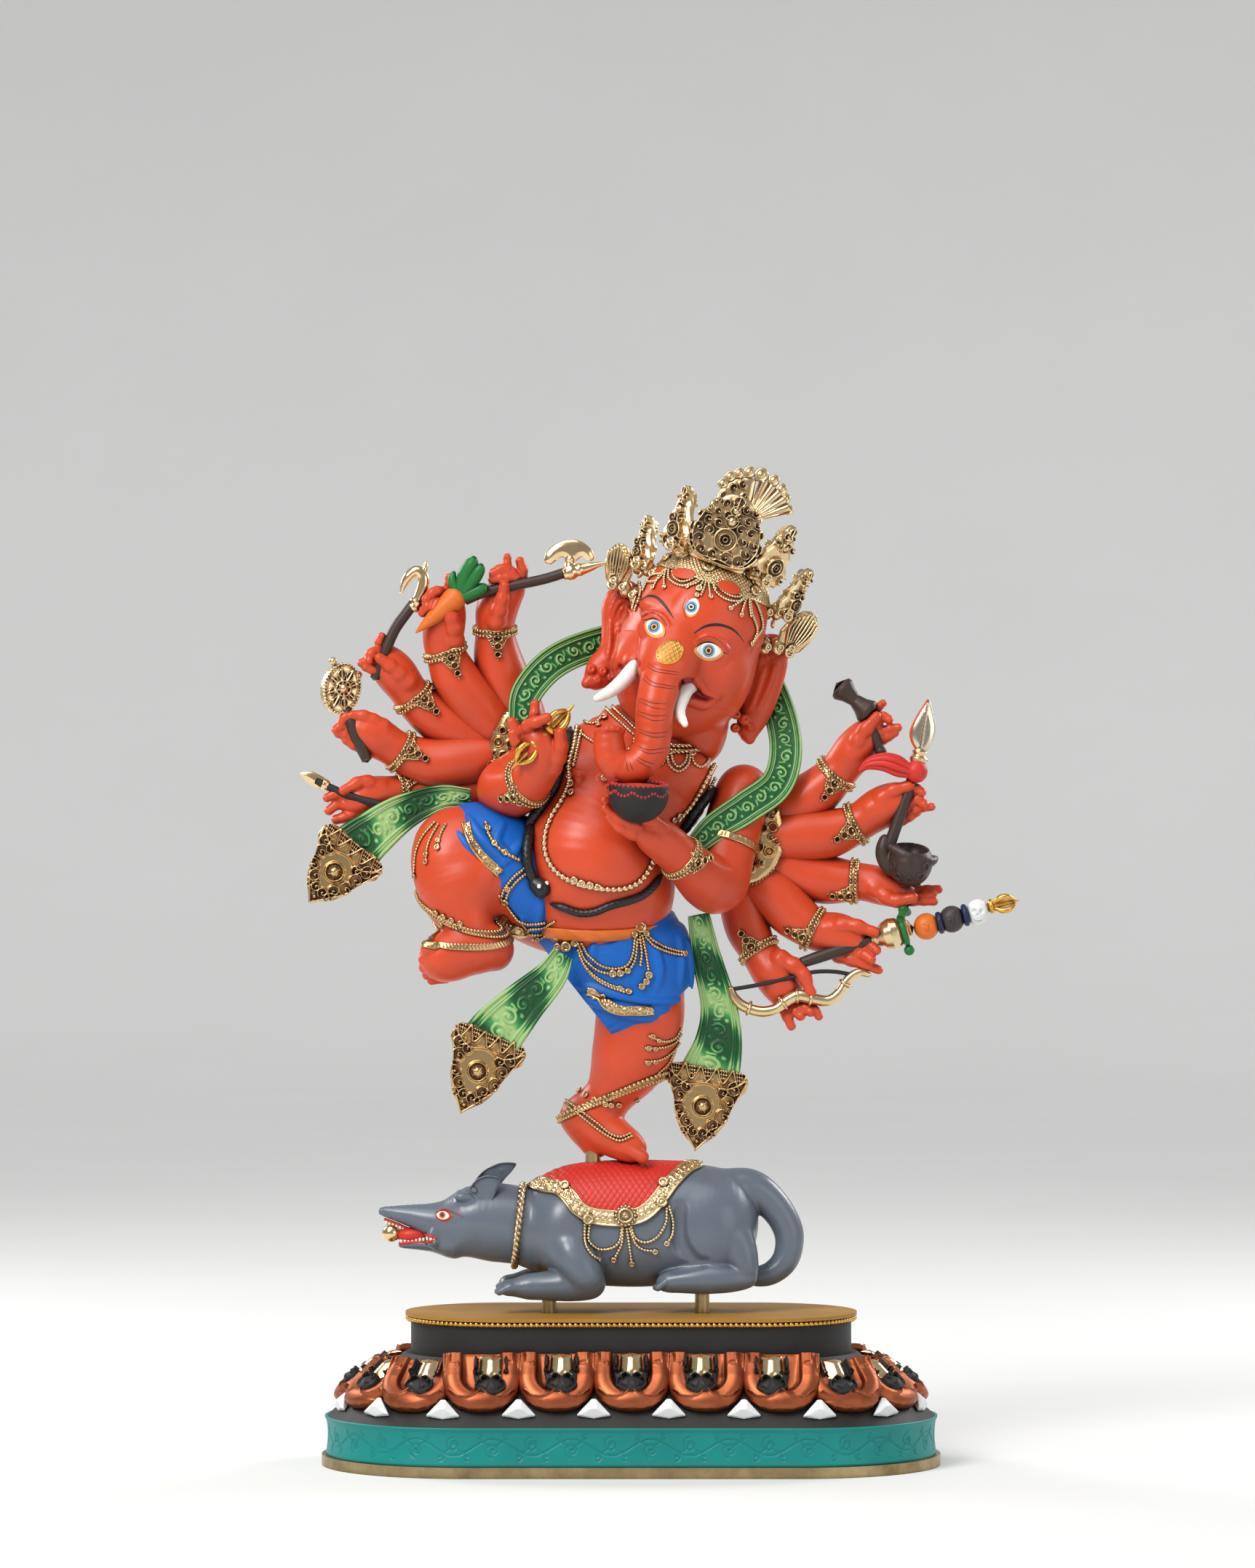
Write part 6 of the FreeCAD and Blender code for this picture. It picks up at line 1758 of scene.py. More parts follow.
RIGHT_ARMS = (
    ((-60, 18, 408, 13), (-67, 16, 424, 13), (-73, 14, 440, 12.4), (-75, 10, 455, 9.6), (-75, 8, 462, 9)),
    ((-70, 14, 400, 13), (-84, 10, 415, 13), (-96, 8, 431, 12), (-102, 5, 445, 9.4), (-104, 4, 451, 8.8)),
    (
        (-76, 14, 392, 12), (-90, 14, 401, 12.6), (-107, 12, 410, 12), (-119, 9, 420, 9.6),
        (-124, 7, 427, 8.8),
    ),
    ((-78, 8, 388, 12), (-94, 8, 386, 13), (-112, 8, 385, 12.5), (-126, 5, 391, 9.4), (-133, 4, 395, 8.6)),
    ((-78, 15, 374, 11), (-92, 15, 372, 11), (-110, 14, 370, 10.6), (-126, 10, 369, 8.6), (-134, 8, 368, 8)),
)
RIGHT_HANDS = (
    (
        ((-75, 8, 462, 8.4), (-74, 5, 470, 9.6), (-70, 3, 478, 8.6), (-66, 2, 482, 7)),
        ((-62, -1, 484, 3.4), (-59.6, -3, 490, 3.0), (-61, -4, 496, 2.5)),
        ((-69, -2, 486, 3.0), (-68.4, -4, 492, 2.6), (-68, -4, 498, 2.3)),
        ((-66, -6, 490, 3.1), (-71, -8, 491.4, 3.0), (-75.4, -8, 489.4, 2.7)),
        ((-64, -6, 487, 2.8), (-70, -8, 487, 2.8), (-76, -7, 486, 2.6)),
        ((-74, -3, 463, 5.2), (-71.5, -7, 472, 4.2), (-69.4, -9.4, 482, 2.9)),
    ),
    (
        ((-104, 4, 451, 8.6), (-103, 3, 460, 9.6), (-101, 1, 469, 8.4), (-100, 0, 474, 6)),
        ((-99, -2, 476, 3.0), (-100, -4, 482, 2.6), (-100, -4.4, 487, 2.3)),
        ((-103, -4, 479, 3.0), (-108, -8, 479, 2.9), (-112.4, -8, 475, 2.6)),
        ((-106, -4, 475, 2.8), (-111, -8, 471.6, 2.8), (-114.4, -7, 467.6, 2.5)),
        ((-100, -4, 471, 2.8), (-106, -9, 473, 2.6), (-108, -10, 470, 2.4)),
        ((-97, -3, 453, 5.4), (-98, -8, 463, 4.6), (-102, -10.4, 471.4, 3.0)),
    ),
    (
        ((-124, 7, 427, 8.4), (-130, 4, 435, 9.6), (-135, 2, 441, 8), (-137, 1, 444, 6)),
        ((-137, 0, 446, 2.9), (-138.4, -3, 451, 2.5), (-137, -4, 454.6, 2.3)),
        ((-138, -2, 446, 3.0), (-142.4, -6, 445.6, 2.8), (-143.6, -7, 441.6, 2.6)),
        ((-139, -1, 440, 2.9), (-144.6, -5, 441, 2.7), (-148, -6, 440, 2.3)),
        ((-136, -1, 434, 3.0), (-142, -5, 436.4, 2.7), (-145.6, -6, 437.6, 2.3)),
        ((-123, -1, 430, 5.4), (-131, -6, 437.4, 4.0), (-138, -9.4, 442.6, 2.7)),
    ),
    (
        ((-133, 4, 395, 8.4), (-141, 2, 400, 9.4), (-148, 0, 403, 7.6), (-151, -1, 404.4, 6)),
        ((-137, -2, 405, 5.0), (-146, -5, 410.4, 3.6), (-153, -6, 411.4, 2.6)),
        ((-152, -3, 407, 2.8), (-157, -6, 410.4, 2.6), (-158.4, -6, 408, 2.4)),
        ((-153, -2, 403, 2.9), (-159, -5, 405.4, 2.7), (-162, -6, 403.4, 2.5)),
        ((-150, -1, 398, 3.2), (-156, -4, 400, 2.9), (-160.6, -5, 401.2, 2.5)),
        ((-144, 0, 392, 3.6), (-151, -3, 394.6, 3.0), (-156.4, -4, 397.6, 2.5)),
    ),
    (
        ((-134, 8, 368, 7.8), (-142, 6, 367, 9.0), (-150, 3, 365, 7.8), (-154, 2, 363, 6)),
        ((-138, 2, 372, 4.8), (-148, -3, 374.6, 3.8), (-158, -6, 370, 2.6)),
        ((-155, 0, 366.6, 2.9), (-162, -3, 368, 2.7), (-167, -4, 366, 2.4)),
        ((-154, 0, 361, 3.0), (-161, -2, 362.4, 2.8), (-166, -3, 359, 2.6)),
        ((-150, 1, 357, 3.4), (-156, -1, 355.6, 3.2), (-162, -2, 354, 2.7)),
    ),
)
LEFT_ARMS = (
    ((74, 16, 352, 13), (88, 14, 360, 13), (100, 12, 367, 12.4), (112, 9, 378, 9.8), (117, 8, 384, 9)),
    ((78, 9, 345, 12.4), (92, 8, 345, 13), (108, 8, 346, 12.4), (122, 6, 350.6, 9.6), (129, 5, 355, 8.8)),
    ((76, 14, 331, 12.6), (90, 14, 326, 13), (107, 13, 321, 12.5), (122, 9, 320, 9.6), (129, 8, 319.6, 8.4)),
    ((70, 10, 322, 12), (80, 8, 312, 12.5), (89, 7, 302, 12), (99, 5, 294, 9.8), (105, 4, 291.6, 9)),
    ((60, 14, 316, 11), (62, 13, 305, 11.6), (64.6, 11, 293, 11), (70, 8, 282, 9), (73, 7, 277, 8.8)),
)
LEFT_HANDS = (
    (
        ((117, 8, 384, 8.6), (124, 5, 393, 9.6), (130, 3, 400, 8), (133, 1, 403, 6)),
        ((121, 0, 390, 5.2), (127.6, -5, 402, 4.4), (134.4, -7, 410.4, 3.0)),
        ((133, -1, 404, 2.9), (138, -4, 410.6, 2.7), (141.4, -5, 409, 2.5)),
        ((135, 0, 401, 2.9), (141.4, -3, 403.6, 2.7), (146.6, -4, 404.6, 2.3)),
        ((135, 1, 396.4, 3.2), (140.6, -2, 399.4, 2.8), (145, -3, 401.6, 2.2)),
        ((132, 2, 409, 2.6), (135.4, 0, 415, 2.4), (138.4, -1, 418, 2.1)),
    ),
    (
        ((129, 5, 355, 8.6), (138, 3, 361, 9.6), (146, 1, 365, 8), (149, 0, 366, 6)),
        ((132, -1, 360, 5.4), (142, -6, 369, 4.2), (152.4, -8, 372.6, 2.9)),
        ((150, -2, 367, 3.0), (156, -5, 371, 2.8), (159.4, -6, 369, 2.6)),
        ((151, -1, 362, 3.1), (157, -4, 365, 3.0), (160.6, -5, 362.4, 2.8)),
        ((152, 0, 357, 2.9), (159, -3, 360.4, 2.6), (165, -4, 361, 2.2)),
        ((145, 2, 352.6, 4.0), (151, 0, 355, 3.2), (157, -1, 358, 2.4)),
    ),
    (
        ((129, 8, 319.6, 8.2), (137, 6, 317.6, 8.6), (145, 4, 315, 7.4), (151, 3, 313, 5.6)),
        ((134, 0, 316.4, 4.8), (144, -5, 309.6, 4.0), (154.6, -8, 311.4, 2.7)),
        ((151, 4, 314, 3.0), (160, 3, 315, 2.8), (169, 2, 315.6, 2.4)),
        ((151, 2, 311, 3.0), (160, 0, 312, 2.7), (166, -1, 313.4, 2.3)),
        ((150, 1, 309, 2.9), (158, -1, 309.4, 2.7), (166.4, -2, 309, 2.3)),
    ),
    (
        ((105, 4, 291.6, 8.8), (113, 2, 291, 10), (121, 0, 288.6, 8.4), (125, -1, 286, 6.4)),
        ((107, -3, 294, 5.4), (120, -8, 296, 4.4), (133.6, -11, 292.4, 2.7)),
        ((127, -3, 285, 3.0), (132, -7, 284.6, 2.9), (134.4, -9, 282.4, 2.7)),
        ((122, -2, 280, 3.4), (128.6, -7, 279.6, 3.1), (131.4, -9, 277.4, 2.9)),
        ((114, 0, 279.6, 4.4), (126, -4, 275.4, 3.4), (136, -5, 271.4, 2.3)),
    ),
    (
        ((73, 7, 277, 8.6), (79, 4, 269, 10), (84, 2, 261, 8.6), (86, 1, 257, 6.6)),
        ((82, -3, 277, 5.6), (93, -7, 271, 4.2), (98.6, -9.4, 259.4, 2.9)),
        ((81, 0, 255.4, 3.6), (85, -3, 247.4, 3.0), (88, -4, 240.6, 2.5)),
        ((87, -1, 253, 3.2), (91, -5, 248.4, 3.1), (93, -6, 246.4, 2.8)),
        ((92, -3, 252, 3.2), (96, -6, 250.4, 3.1), (98.4, -7, 248.6, 2.8)),
        ((96, -3, 252.4, 2.8), (101, -6, 249.4, 2.5), (103, -6, 246, 2.3)),
    ),
)
FRONT_RIGHT = (
    (-40, 4, 392, 14), (-50, 0, 386, 14.4), (-60, -6, 377, 14.6), (-68, -13, 371, 15.4),
    (-66, -20, 370, 14.4), (-60, -30, 372, 12.4), (-54, -38, 376, 10.6), (-50.6, -42, 381, 9.6),
)
FRONT_RIGHT_HAND = (
    ((-50.6, -42, 381, 9.4), (-48.4, -46, 389, 10), (-50, -48, 397, 8.8), (-53, -48, 402, 6.4)),
    ((-55, -50, 402, 3.2), (-52.6, -54, 409.6, 2.8), (-52, -54, 417, 2.4)),
    ((-57, -51, 400, 3.2), (-56, -57, 405.4, 3.2), (-50.4, -60, 407.4, 3.0), (-45.4, -60, 409.4, 2.6)),
    ((-56, -48, 397, 3.2), (-62, -54, 402.4, 3.2), (-64.4, -55, 407, 2.7)),
    ((-56, -48, 393, 3.4), (-62.4, -54, 396.4, 3.0), (-64, -55, 400.4, 2.6)),
    ((-43, -48, 383, 5.6), (-38.6, -54, 392, 4.4), (-38.4, -58, 401, 3.2)),
)
FRONT_LEFT = (
    (62, 2, 370, 14.4), (57, -2, 354, 14.6), (52, -10, 336, 14.6), (47.4, -18, 319.6, 15.2),
    (42, -26, 320, 14), (36, -34, 325, 12.4), (30, -41, 331, 10.4), (26, -45, 334.6, 9.4),
)
FRONT_LEFT_HAND = (
    ((26, -45, 334.6, 9.2), (19, -50, 341, 9.4), (12, -54, 346, 8.4), (8, -56, 349, 6.6)),
    ((10, -56, 353, 3.4), (-2, -61, 358.4, 3.0), (-14.4, -63, 364.6, 2.4)),
    ((9, -58, 348.6, 3.5), (-3, -64, 353.6, 3.1), (-14, -66, 360.4, 2.4)),
    ((7, -57, 344.4, 3.4), (-4, -63, 348.6, 3.0), (-12, -65, 355.4, 2.3)),
    ((20, -54, 344, 5.0), (12.4, -62, 352.4, 4.2), (3.4, -68, 358.8, 3.3)),
)


def make_body():
    """The red figure itself. Returns the clays that ornament is laid on."""
    clays = {}
    clays["head"] = head_clay()
    made = piece("head_form", clays["head"].mesh(), "red", "head")
    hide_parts("trunk", "ears")
    paint_face(clays["head"])
    tusks = Clay((-28, -66, 396), (42, -26, 448), CLAY_STEP * 0.8)
    tusks.chain(
        [
            (4.5, -34, 439, 4.2), (1, -40, 435.6, 4.3), (-5, -47, 429, 3.9), (-12, -52, 423.4, 3.2),
            (-18.6, -55, 420, 2.1),
        ],
        1,
    )
    tusks.chain(
        [
            (33, -35, 427.6, 4.2), (30, -43, 425.6, 4.3), (27.2, -49, 419.6, 3.9), (26, -53, 412.6, 3.0),
            (29, -56, 406, 1.8),
        ],
        1,
    )
    piece("tusk_pair", tusks.mesh(), "ivory", "tusks")
    clays["torso"] = torso_clay()
    piece("torso_form", clays["torso"].mesh(), "red", "torso")
    clays["raised"], clays["standing"] = leg_clays()
    piece("raised_leg_form", clays["raised"].mesh(), "red", "raised_leg")
    piece("standing_leg_form", clays["standing"].mesh(), "red", "standing_leg")
    for side, arms, hands in (("right", RIGHT_ARMS, RIGHT_HANDS), ("left", LEFT_ARMS, LEFT_HANDS)):
        for i, (arm, hand) in enumerate(zip(arms, hands)):
            clay = clays[f"{side}{i}"] = arm_clay(arm, hand)
            piece(f"back_arm_{side}_{i + 1}", clay.mesh(), "red", f"back_arms_{side}")
    for side, arm, hand in (("right", FRONT_RIGHT, FRONT_RIGHT_HAND), ("left", FRONT_LEFT, FRONT_LEFT_HAND)):
        clay = clays[f"front_{side}"] = arm_clay(arm, hand)
        piece(f"front_arm_{side}_form", clay.mesh(), "red", f"front_arm_{side}")
    fans = Clay((-100, -20, 330), (104, 40, 440), 1.0)
    fans.egg((-62, 14, 394), (21, 13, 22), 3)
    fans.egg((70, 12, 340), (20, 13, 24), 3)
    piece("shoulder_forms", fans.mesh(), "red", "shoulder_fans")
    return clays


# ------------------------------------------------------------------ the crown

CROWN_LEAVES = (
    (-3, 33, 46.6, 0, 0, 41, 38),
    (-28, 22, 46.6, -42, -6, 22, 34),
    (24, 22, 46.6, 40, 8, 26, 34),
    (-42, 0, 31, -44, -8, 17, 28),
    (42, 0, 34, 44, 8, 18, 29),
    (-50, -6, 16, -20, -12, 16, 24),
    (50, -6, 16, 20, 12, 18, 26),
)


def leaf_relief(width, height, kind):
    """A crown leaf cast in relief: scrolls in tiers up to a flame tip, with a rosette low down."""
    r = Relief(width + 6, height + 4, RELIEF_STEP, low=(-width / 2 - 3, -1))
    w, h = width / 2, height
    if kind == "plume":
        half = [
            (-w * 0.25, 0), (-w * 0.75, h * 0.14), (-w, h * 0.42), (-w * 0.86, h * 0.74),
            (-w * 0.4, h * 0.96), (0, h),
        ]
        r.plate(mirrored(half), 1.2)
        for k in np.linspace(-1, 1, 8):
            r.line(
                [(k * w * 0.25, h * 0.1), (k * w * 0.7, h * 0.5), (k * w * 0.72, h * (0.94 - 0.2 * abs(k)))],
                (1.2, 2.4), 3.0,
            )
        r.scroll(0, h * 0.16, w * 0.42, 90, 1, 1.0, 4.0, 1.3)
        return r
    bumps = 5 if kind == "wide" else 4
    half = []
    for k in range(60):
        s = k / 59
        taper = (1 - s) ** 0.62 if kind == "tall" else math.sqrt(max(0.0, 1 - s**2.2))
        edge = w * (0.62 + 0.38 * math.sin(min(1, s * 3.2) * math.pi / 2)) * taper
        half.append((-edge * (1 + 0.07 * math.cos(s * bumps * 2 * math.pi)), s * h))
    r.plate(mirrored(half), 1.4)
    if kind == "wide":
        for inset, rise in ((1.2, 4.4), (3.4, 3.9)):
            u = [
                (-w * 0.9 + inset, h * 0.62), (-w + inset, h * 0.34), (-w * 0.72 + inset, h * 0.08),
                (0, inset * 0.9),
            ]
            r.line([*u, *[(-x, y) for x, y in reversed(u[:-1])]], (1.5, 1.5), rise)
    middle = h * (0.36 if kind == "wide" else 0.3)
    rose = w * (0.3 if kind == "wide" else 0.42)
    r.dome(0, middle, rose * 1.15, 3.6)
    r.ring(0, middle, rose * 0.92, rose * 0.34, 4.6)
    r.ring(0, middle, rose * 0.5, rose * 0.24, 5.6)
    r.pit(0, middle, rose * 0.36, 2.2)
    r.ring(0, middle, rose * 0.2, rose * 0.16, 5.2)
    tiers = 6 if kind == "wide" else 5
    for tier in range(tiers):
        y = h * (0.13 + 0.76 * tier / (tiers - 0.6))
        s = y / h
        edge = w * (math.sqrt(max(0.02, 1 - s**2.2)) if kind == "wide" else (1 - s) ** 0.62)
        size = h * 0.082 * (1.15 - 0.35 * s)
        places = np.arange(size * (0.1 if tier % 2 else 1.0), edge - size * 0.3, size * 1.9)
        for x in places:
            if math.hypot(x, y - middle) < rose * 1.35:
                continue
            for side in ((-1, 1) if x > size * 0.5 else (1,)):
                turn = 40 + 50 * ((tier + int(x)) % 3)
                r.scroll(side * x, y, size, side * turn, side, 1.0, 4.4 - 0.8 * s + 0.5 * (tier % 2), 1.25)
    for at, size in (((0, h * 0.62), 0.16), ((0, h * 0.77), 0.12)):
        r.dome(*at, w * size, 5.0)
        r.ring(*at, w * size, 1.0, 4.4)
    for side in (-1, 1):
        r.line([(side * w * 0.1, h * 0.84), (side * w * 0.14, h * 0.92), (0, h * 0.985)], (1.4, 1.0), 3.6)
    r.line([(0, h * 0.82), (0, h * 0.97)], (1.6, 0.9), 4.0)
    return r


def fan_crest():
    """The fan behind the middle leaf: smooth ribs between grooves, in a rim of ring settings."""
    hub = on_head(4, -2, 75)
    ribs, rim = Heap(), Heap()
    stalk = [on_head(2, 2, 38), on_head(3, 1, 60), on_head(4, 0, 84)]
    rim.add(*tube(spaced(stalk, 1.0), 2.6, 12))
    rays = np.radians(np.linspace(14, 70, 6))
    for a, b in zip(rays[:-1], rays[1:]):
        mid, half = (a + b) / 2, (b - a) / 2 * 0.86
        s = np.linspace(4, 25.5, 24)
        u = np.linspace(-1, 1, 9)
        angle = mid + half * u[None, :]
        bulge = 1.5 * np.sqrt(1 - u[None, :] ** 2 * 0.96) * (s[:, None] / 25) + 0.4
        top = hub + np.stack(
            [s[:, None] * np.cos(angle), -1.2 - bulge + 0 * angle, s[:, None] * np.sin(angle)], axis=-1,
        )
        bottom = hub + np.stack(
            [s[:, None] * np.cos(angle), 2.4 + 0 * bulge + 0 * angle, s[:, None] * np.sin(angle)], axis=-1,
        )
        ribs.add(*slab(top, bottom))
    for a in rays:
        line = [hub + vec(s * math.cos(a), -1.6, s * math.sin(a)) for s in (3, 14, 25)]
        rim.add(*tube(line, (0.9, 0.8, 0.7), 8))
    rings = (
        (50.5, 538.4, 3.0), (54.4, 542.2, 3.1), (59.4, 544, 3.1), (65, 544.6, 3.4), (71.6, 543, 4.2),
        (78.4, 540, 3.4), (82.6, 535.2, 3.4), (84.6, 530, 3.2), (86.4, 523.8, 2.9),
    )
    for x, z, radius in rings:
        at = vec(x - 0.2, hub[1] - 1.5, z)
        rim.add(*placed(BALL, at + vec(0, 1.6, 0), None, (radius, 2.4, radius)))
        rim.add(*placed(torus(radius * 0.74, radius * 0.22, 20, 8), at, frame_of(FRONT, UP)))
        rim.add(*placed(BALL, at + vec(0, 0.4, 0), None, (radius * 0.5, 1.2, radius * 0.5)))
    plate = Relief(40, 34, RELIEF_STEP, low=(-24, -6))
    arc = [(-16.5, 14), (-13, 20), (-6, 24.6), (2, 25.4), (6, 23.6), (3, 8), (0, 0), (-6, -4), (-12, 4)]
    plate.plate(arc, 1.2)
    for x, y, size, hand in (
        (-11, 14, 3.4, 1), (-6, 19.4, 3.0, -1), (-1, 20.6, 2.8, 1), (-5.5, 12, 3.2, -1), (0, 14, 2.6, 1),
        (-9.5, 7, 3.2, -1), (-3.6, 5.4, 3.0, 1), (1.4, 7.6, 2.2, -1),
    ):
        plate.scroll(x, y, size, 80 * hand, hand, 1.0, 3.8, 1.3)
    rim.add(*placed(plate.solid(2.2), hub + vec(0, -0.6, 0), FACING))
    return ribs, rim


def make_crown(head):
    """Net band, bead swags, leaves and crest."""
    leaves = Heap()
    for side, front, up, turn, lean, width, height in CROWN_LEAVES:
        turn_r, lean_r = math.radians(turn), math.radians(lean)
        along = HEAD_AXES[:, 0] * math.cos(turn_r) - FRONT * math.sin(turn_r)
        rise = unit(HEAD_AXES[:, 2] * math.cos(lean_r) + HEAD_AXES[:, 0] * math.sin(lean_r))
        axes = np.column_stack([along, rise, unit(np.cross(along, rise))])
        kind = "wide" if width > 35 else ("plume" if up < 20 else "tall")
        shape = leaf_relief(width * 1.06, height * 1.06, kind)
        at = on_head(side, -front, up)
        leaves.add(*placed(shape.solid(2.4), at, axes))
        back = placed(
            leaf_relief(width, height, kind).solid(0.4),
            at - axes[:, 2] * 3.0, axes * vec(-1, 1, -1),
        )
        leaves.add(*back)
    for side, front, up, turn, lean, width, height in CROWN_LEAVES[1:]:
        foot = on_head(side, -front, up)
        inner = on_head(side * 0.62, -front * 0.62 - 1, up - 2)
        face = unit(FRONT + HEAD_AXES[:, 0] * math.copysign(0.6, side))
        for share in (0.0, 0.35, 0.7, 1.0):
            at = inner + (foot - inner) * share + HEAD_AXES[:, 2] * (4 * share)
            leaves.add(*placed(BALL, at, None, (4.6 - share, 4.4 - share, 5.2)))
            bezel(leaves, at + face * 4.2, face, 2.3)
        bezel(leaves, foot + face * 3.4 + HEAD_AXES[:, 2] * 1.5, face, 3.2)
    piece("crown_leaf_castings", leaves, "gold", "crown_leaves")
    ribs, rim = fan_crest()
    piece("crest_ribs", ribs, "shiny", "crown_fan")
    piece("crest_rim", rim, "gold", "crown_fan")
    band = Heap()
    loop = head.around(on_head(0, 0, 42.5), HEAD_AXES[:, 2], 50, 420)

    def net(distance, u):
        a, b = (distance + u * 7.0) / 2.3 % 1, (distance - u * 7.0) / 2.3 % 1
        cross = np.minimum(np.abs(a - 0.5), np.abs(b - 0.5))
        wires = np.clip(1 - cross / 0.2, 0, 1) ** 0.5 * 0.7
        edges = np.clip(1 - np.abs(np.abs(u) - 0.93) / 0.07, 0, 1) * 1.0
        return np.maximum(wires, edges)

    band.add(*head.band(loop, 7.2, net, 41, True, thick=0.7, sink=1.0))
    for up, radius, proud in ((49.5, 1.3, 1.4), (47.2, 1.0, 1.6)):
        ring = head.around(on_head(0, 0, up), HEAD_AXES[:, 2], 50, 200)
        ring = ring + head.normal(ring) * proud
        beads(band, np.vstack([ring, ring[:1]]), radius, radius * 2.0)
    swags = (
        ((21, 491), (21.4, 486), (28, 482.4), (35.6, 485), (40, 489.6)),
        ((23, 490), (24, 486.8), (28.6, 484.6), (34.6, 486.8), (38.4, 490)),
        ((45, 487), (46, 480), (52.4, 475), (60, 474.4), (63.6, 478)),
        ((47.6, 486), (48.4, 481.4), (53.6, 477.4), (59.4, 476.6), (62, 479)),
        ((19, 490), (14, 485), (9, 484.6)), ((17, 489), (11, 487.6), (7, 480)),
        ((5.4, 484), (5.6, 478), (2.6, 469)), ((3.4, 484), (3.4, 478), (1.2, 470)),
        ((40.4, 489), (37, 484.6), (31.4, 482.2)), ((41, 488), (38.6, 483), (36, 480.4)),
        ((41.6, 488), (40.4, 482), (38.4, 477.6)), ((42.2, 488), (42.8, 482), (43.6, 476.6)),
        ((43, 488), (44.6, 484), (46.4, 481)),
        ((63, 478), (59, 473.6), (54.6, 470.8)), ((63.8, 478), (61.6, 472), (60.4, 467)),
        ((64.4, 478), (64.6, 472), (65.4, 466)), ((65.4, 478), (69.6, 470), (71.6, 460), (66.6, 452)),
        ((64.8, 477), (65.8, 468), (68.8, 458), (65.6, 450)),
        ((20, 492), (16, 488), (12.4, 481)), ((20, 492), (18.6, 487), (18.6, 482)),
    )
    for swag in swags:
        line = head.front(flat_line(swag, 1.2), 0.75)
        cord_of_beads(band, line, 0.85)
    for x, z, radius in (
        (20.6, 497, 3.0), (42.6, 492.6, 3.8), (66.6, 479.6, 3.1), (76, 462, 2.6), (2, 488.6, 3.4),
        (7, 488, 2.8), (37.4, 481, 1.9), (36.2, 477.4, 1.4), (43.8, 476.8, 1.4), (31, 482, 1.3),
        (60.2, 466.6, 1.4), (54.4, 470.4, 1.4), (12.4, 481.4, 1.4), (18.6, 481.8, 1.4), (65.8, 451, 1.6),
    ):
        spot = head.front([(x, z)], 1.4 if radius > 2 else 0.6)[0]
        bezel(band, spot, head.normal(spot), radius)
    piece("crown_net_and_swags", band, "gold", "crown_band")
    windows = Heap()
    for x, z, half, high, tilt in ((29.4, 488.6, 6.8, 2.9, -4), (53.4, 481.2, 6.8, 3.3, -22)):
        windows.add(*head.drape(patch(oval(x, z, half, high, tilt, 0.1), 1.75, -0.2)))
    piece("crown_windows", windows, "red", "crown_band")


def seen_spots(clays, places, proud=0.0):
    """The nearest of several forms at (x, z) places, and its normals; places off them are left out."""
    places = np.asarray(places, float)
    best = np.full(len(places), 1e9)
    spots, ways = np.zeros((len(places), 3)), np.zeros((len(places), 3))
    for clay in clays if isinstance(clays, (list, tuple)) else [clays]:
        hit = clay.front(places)
        on = (np.abs(clay.sample(hit)) < 0.8) & (hit[:, 1] < best)
        if on.any():
            best[on], spots[on], ways[on] = hit[on, 1], hit[on], clay.normal(hit[on])
    on = best < 1e8
    return spots[on] + ways[on] * proud, ways[on]


# ------------------------------------------------------------------ skirt


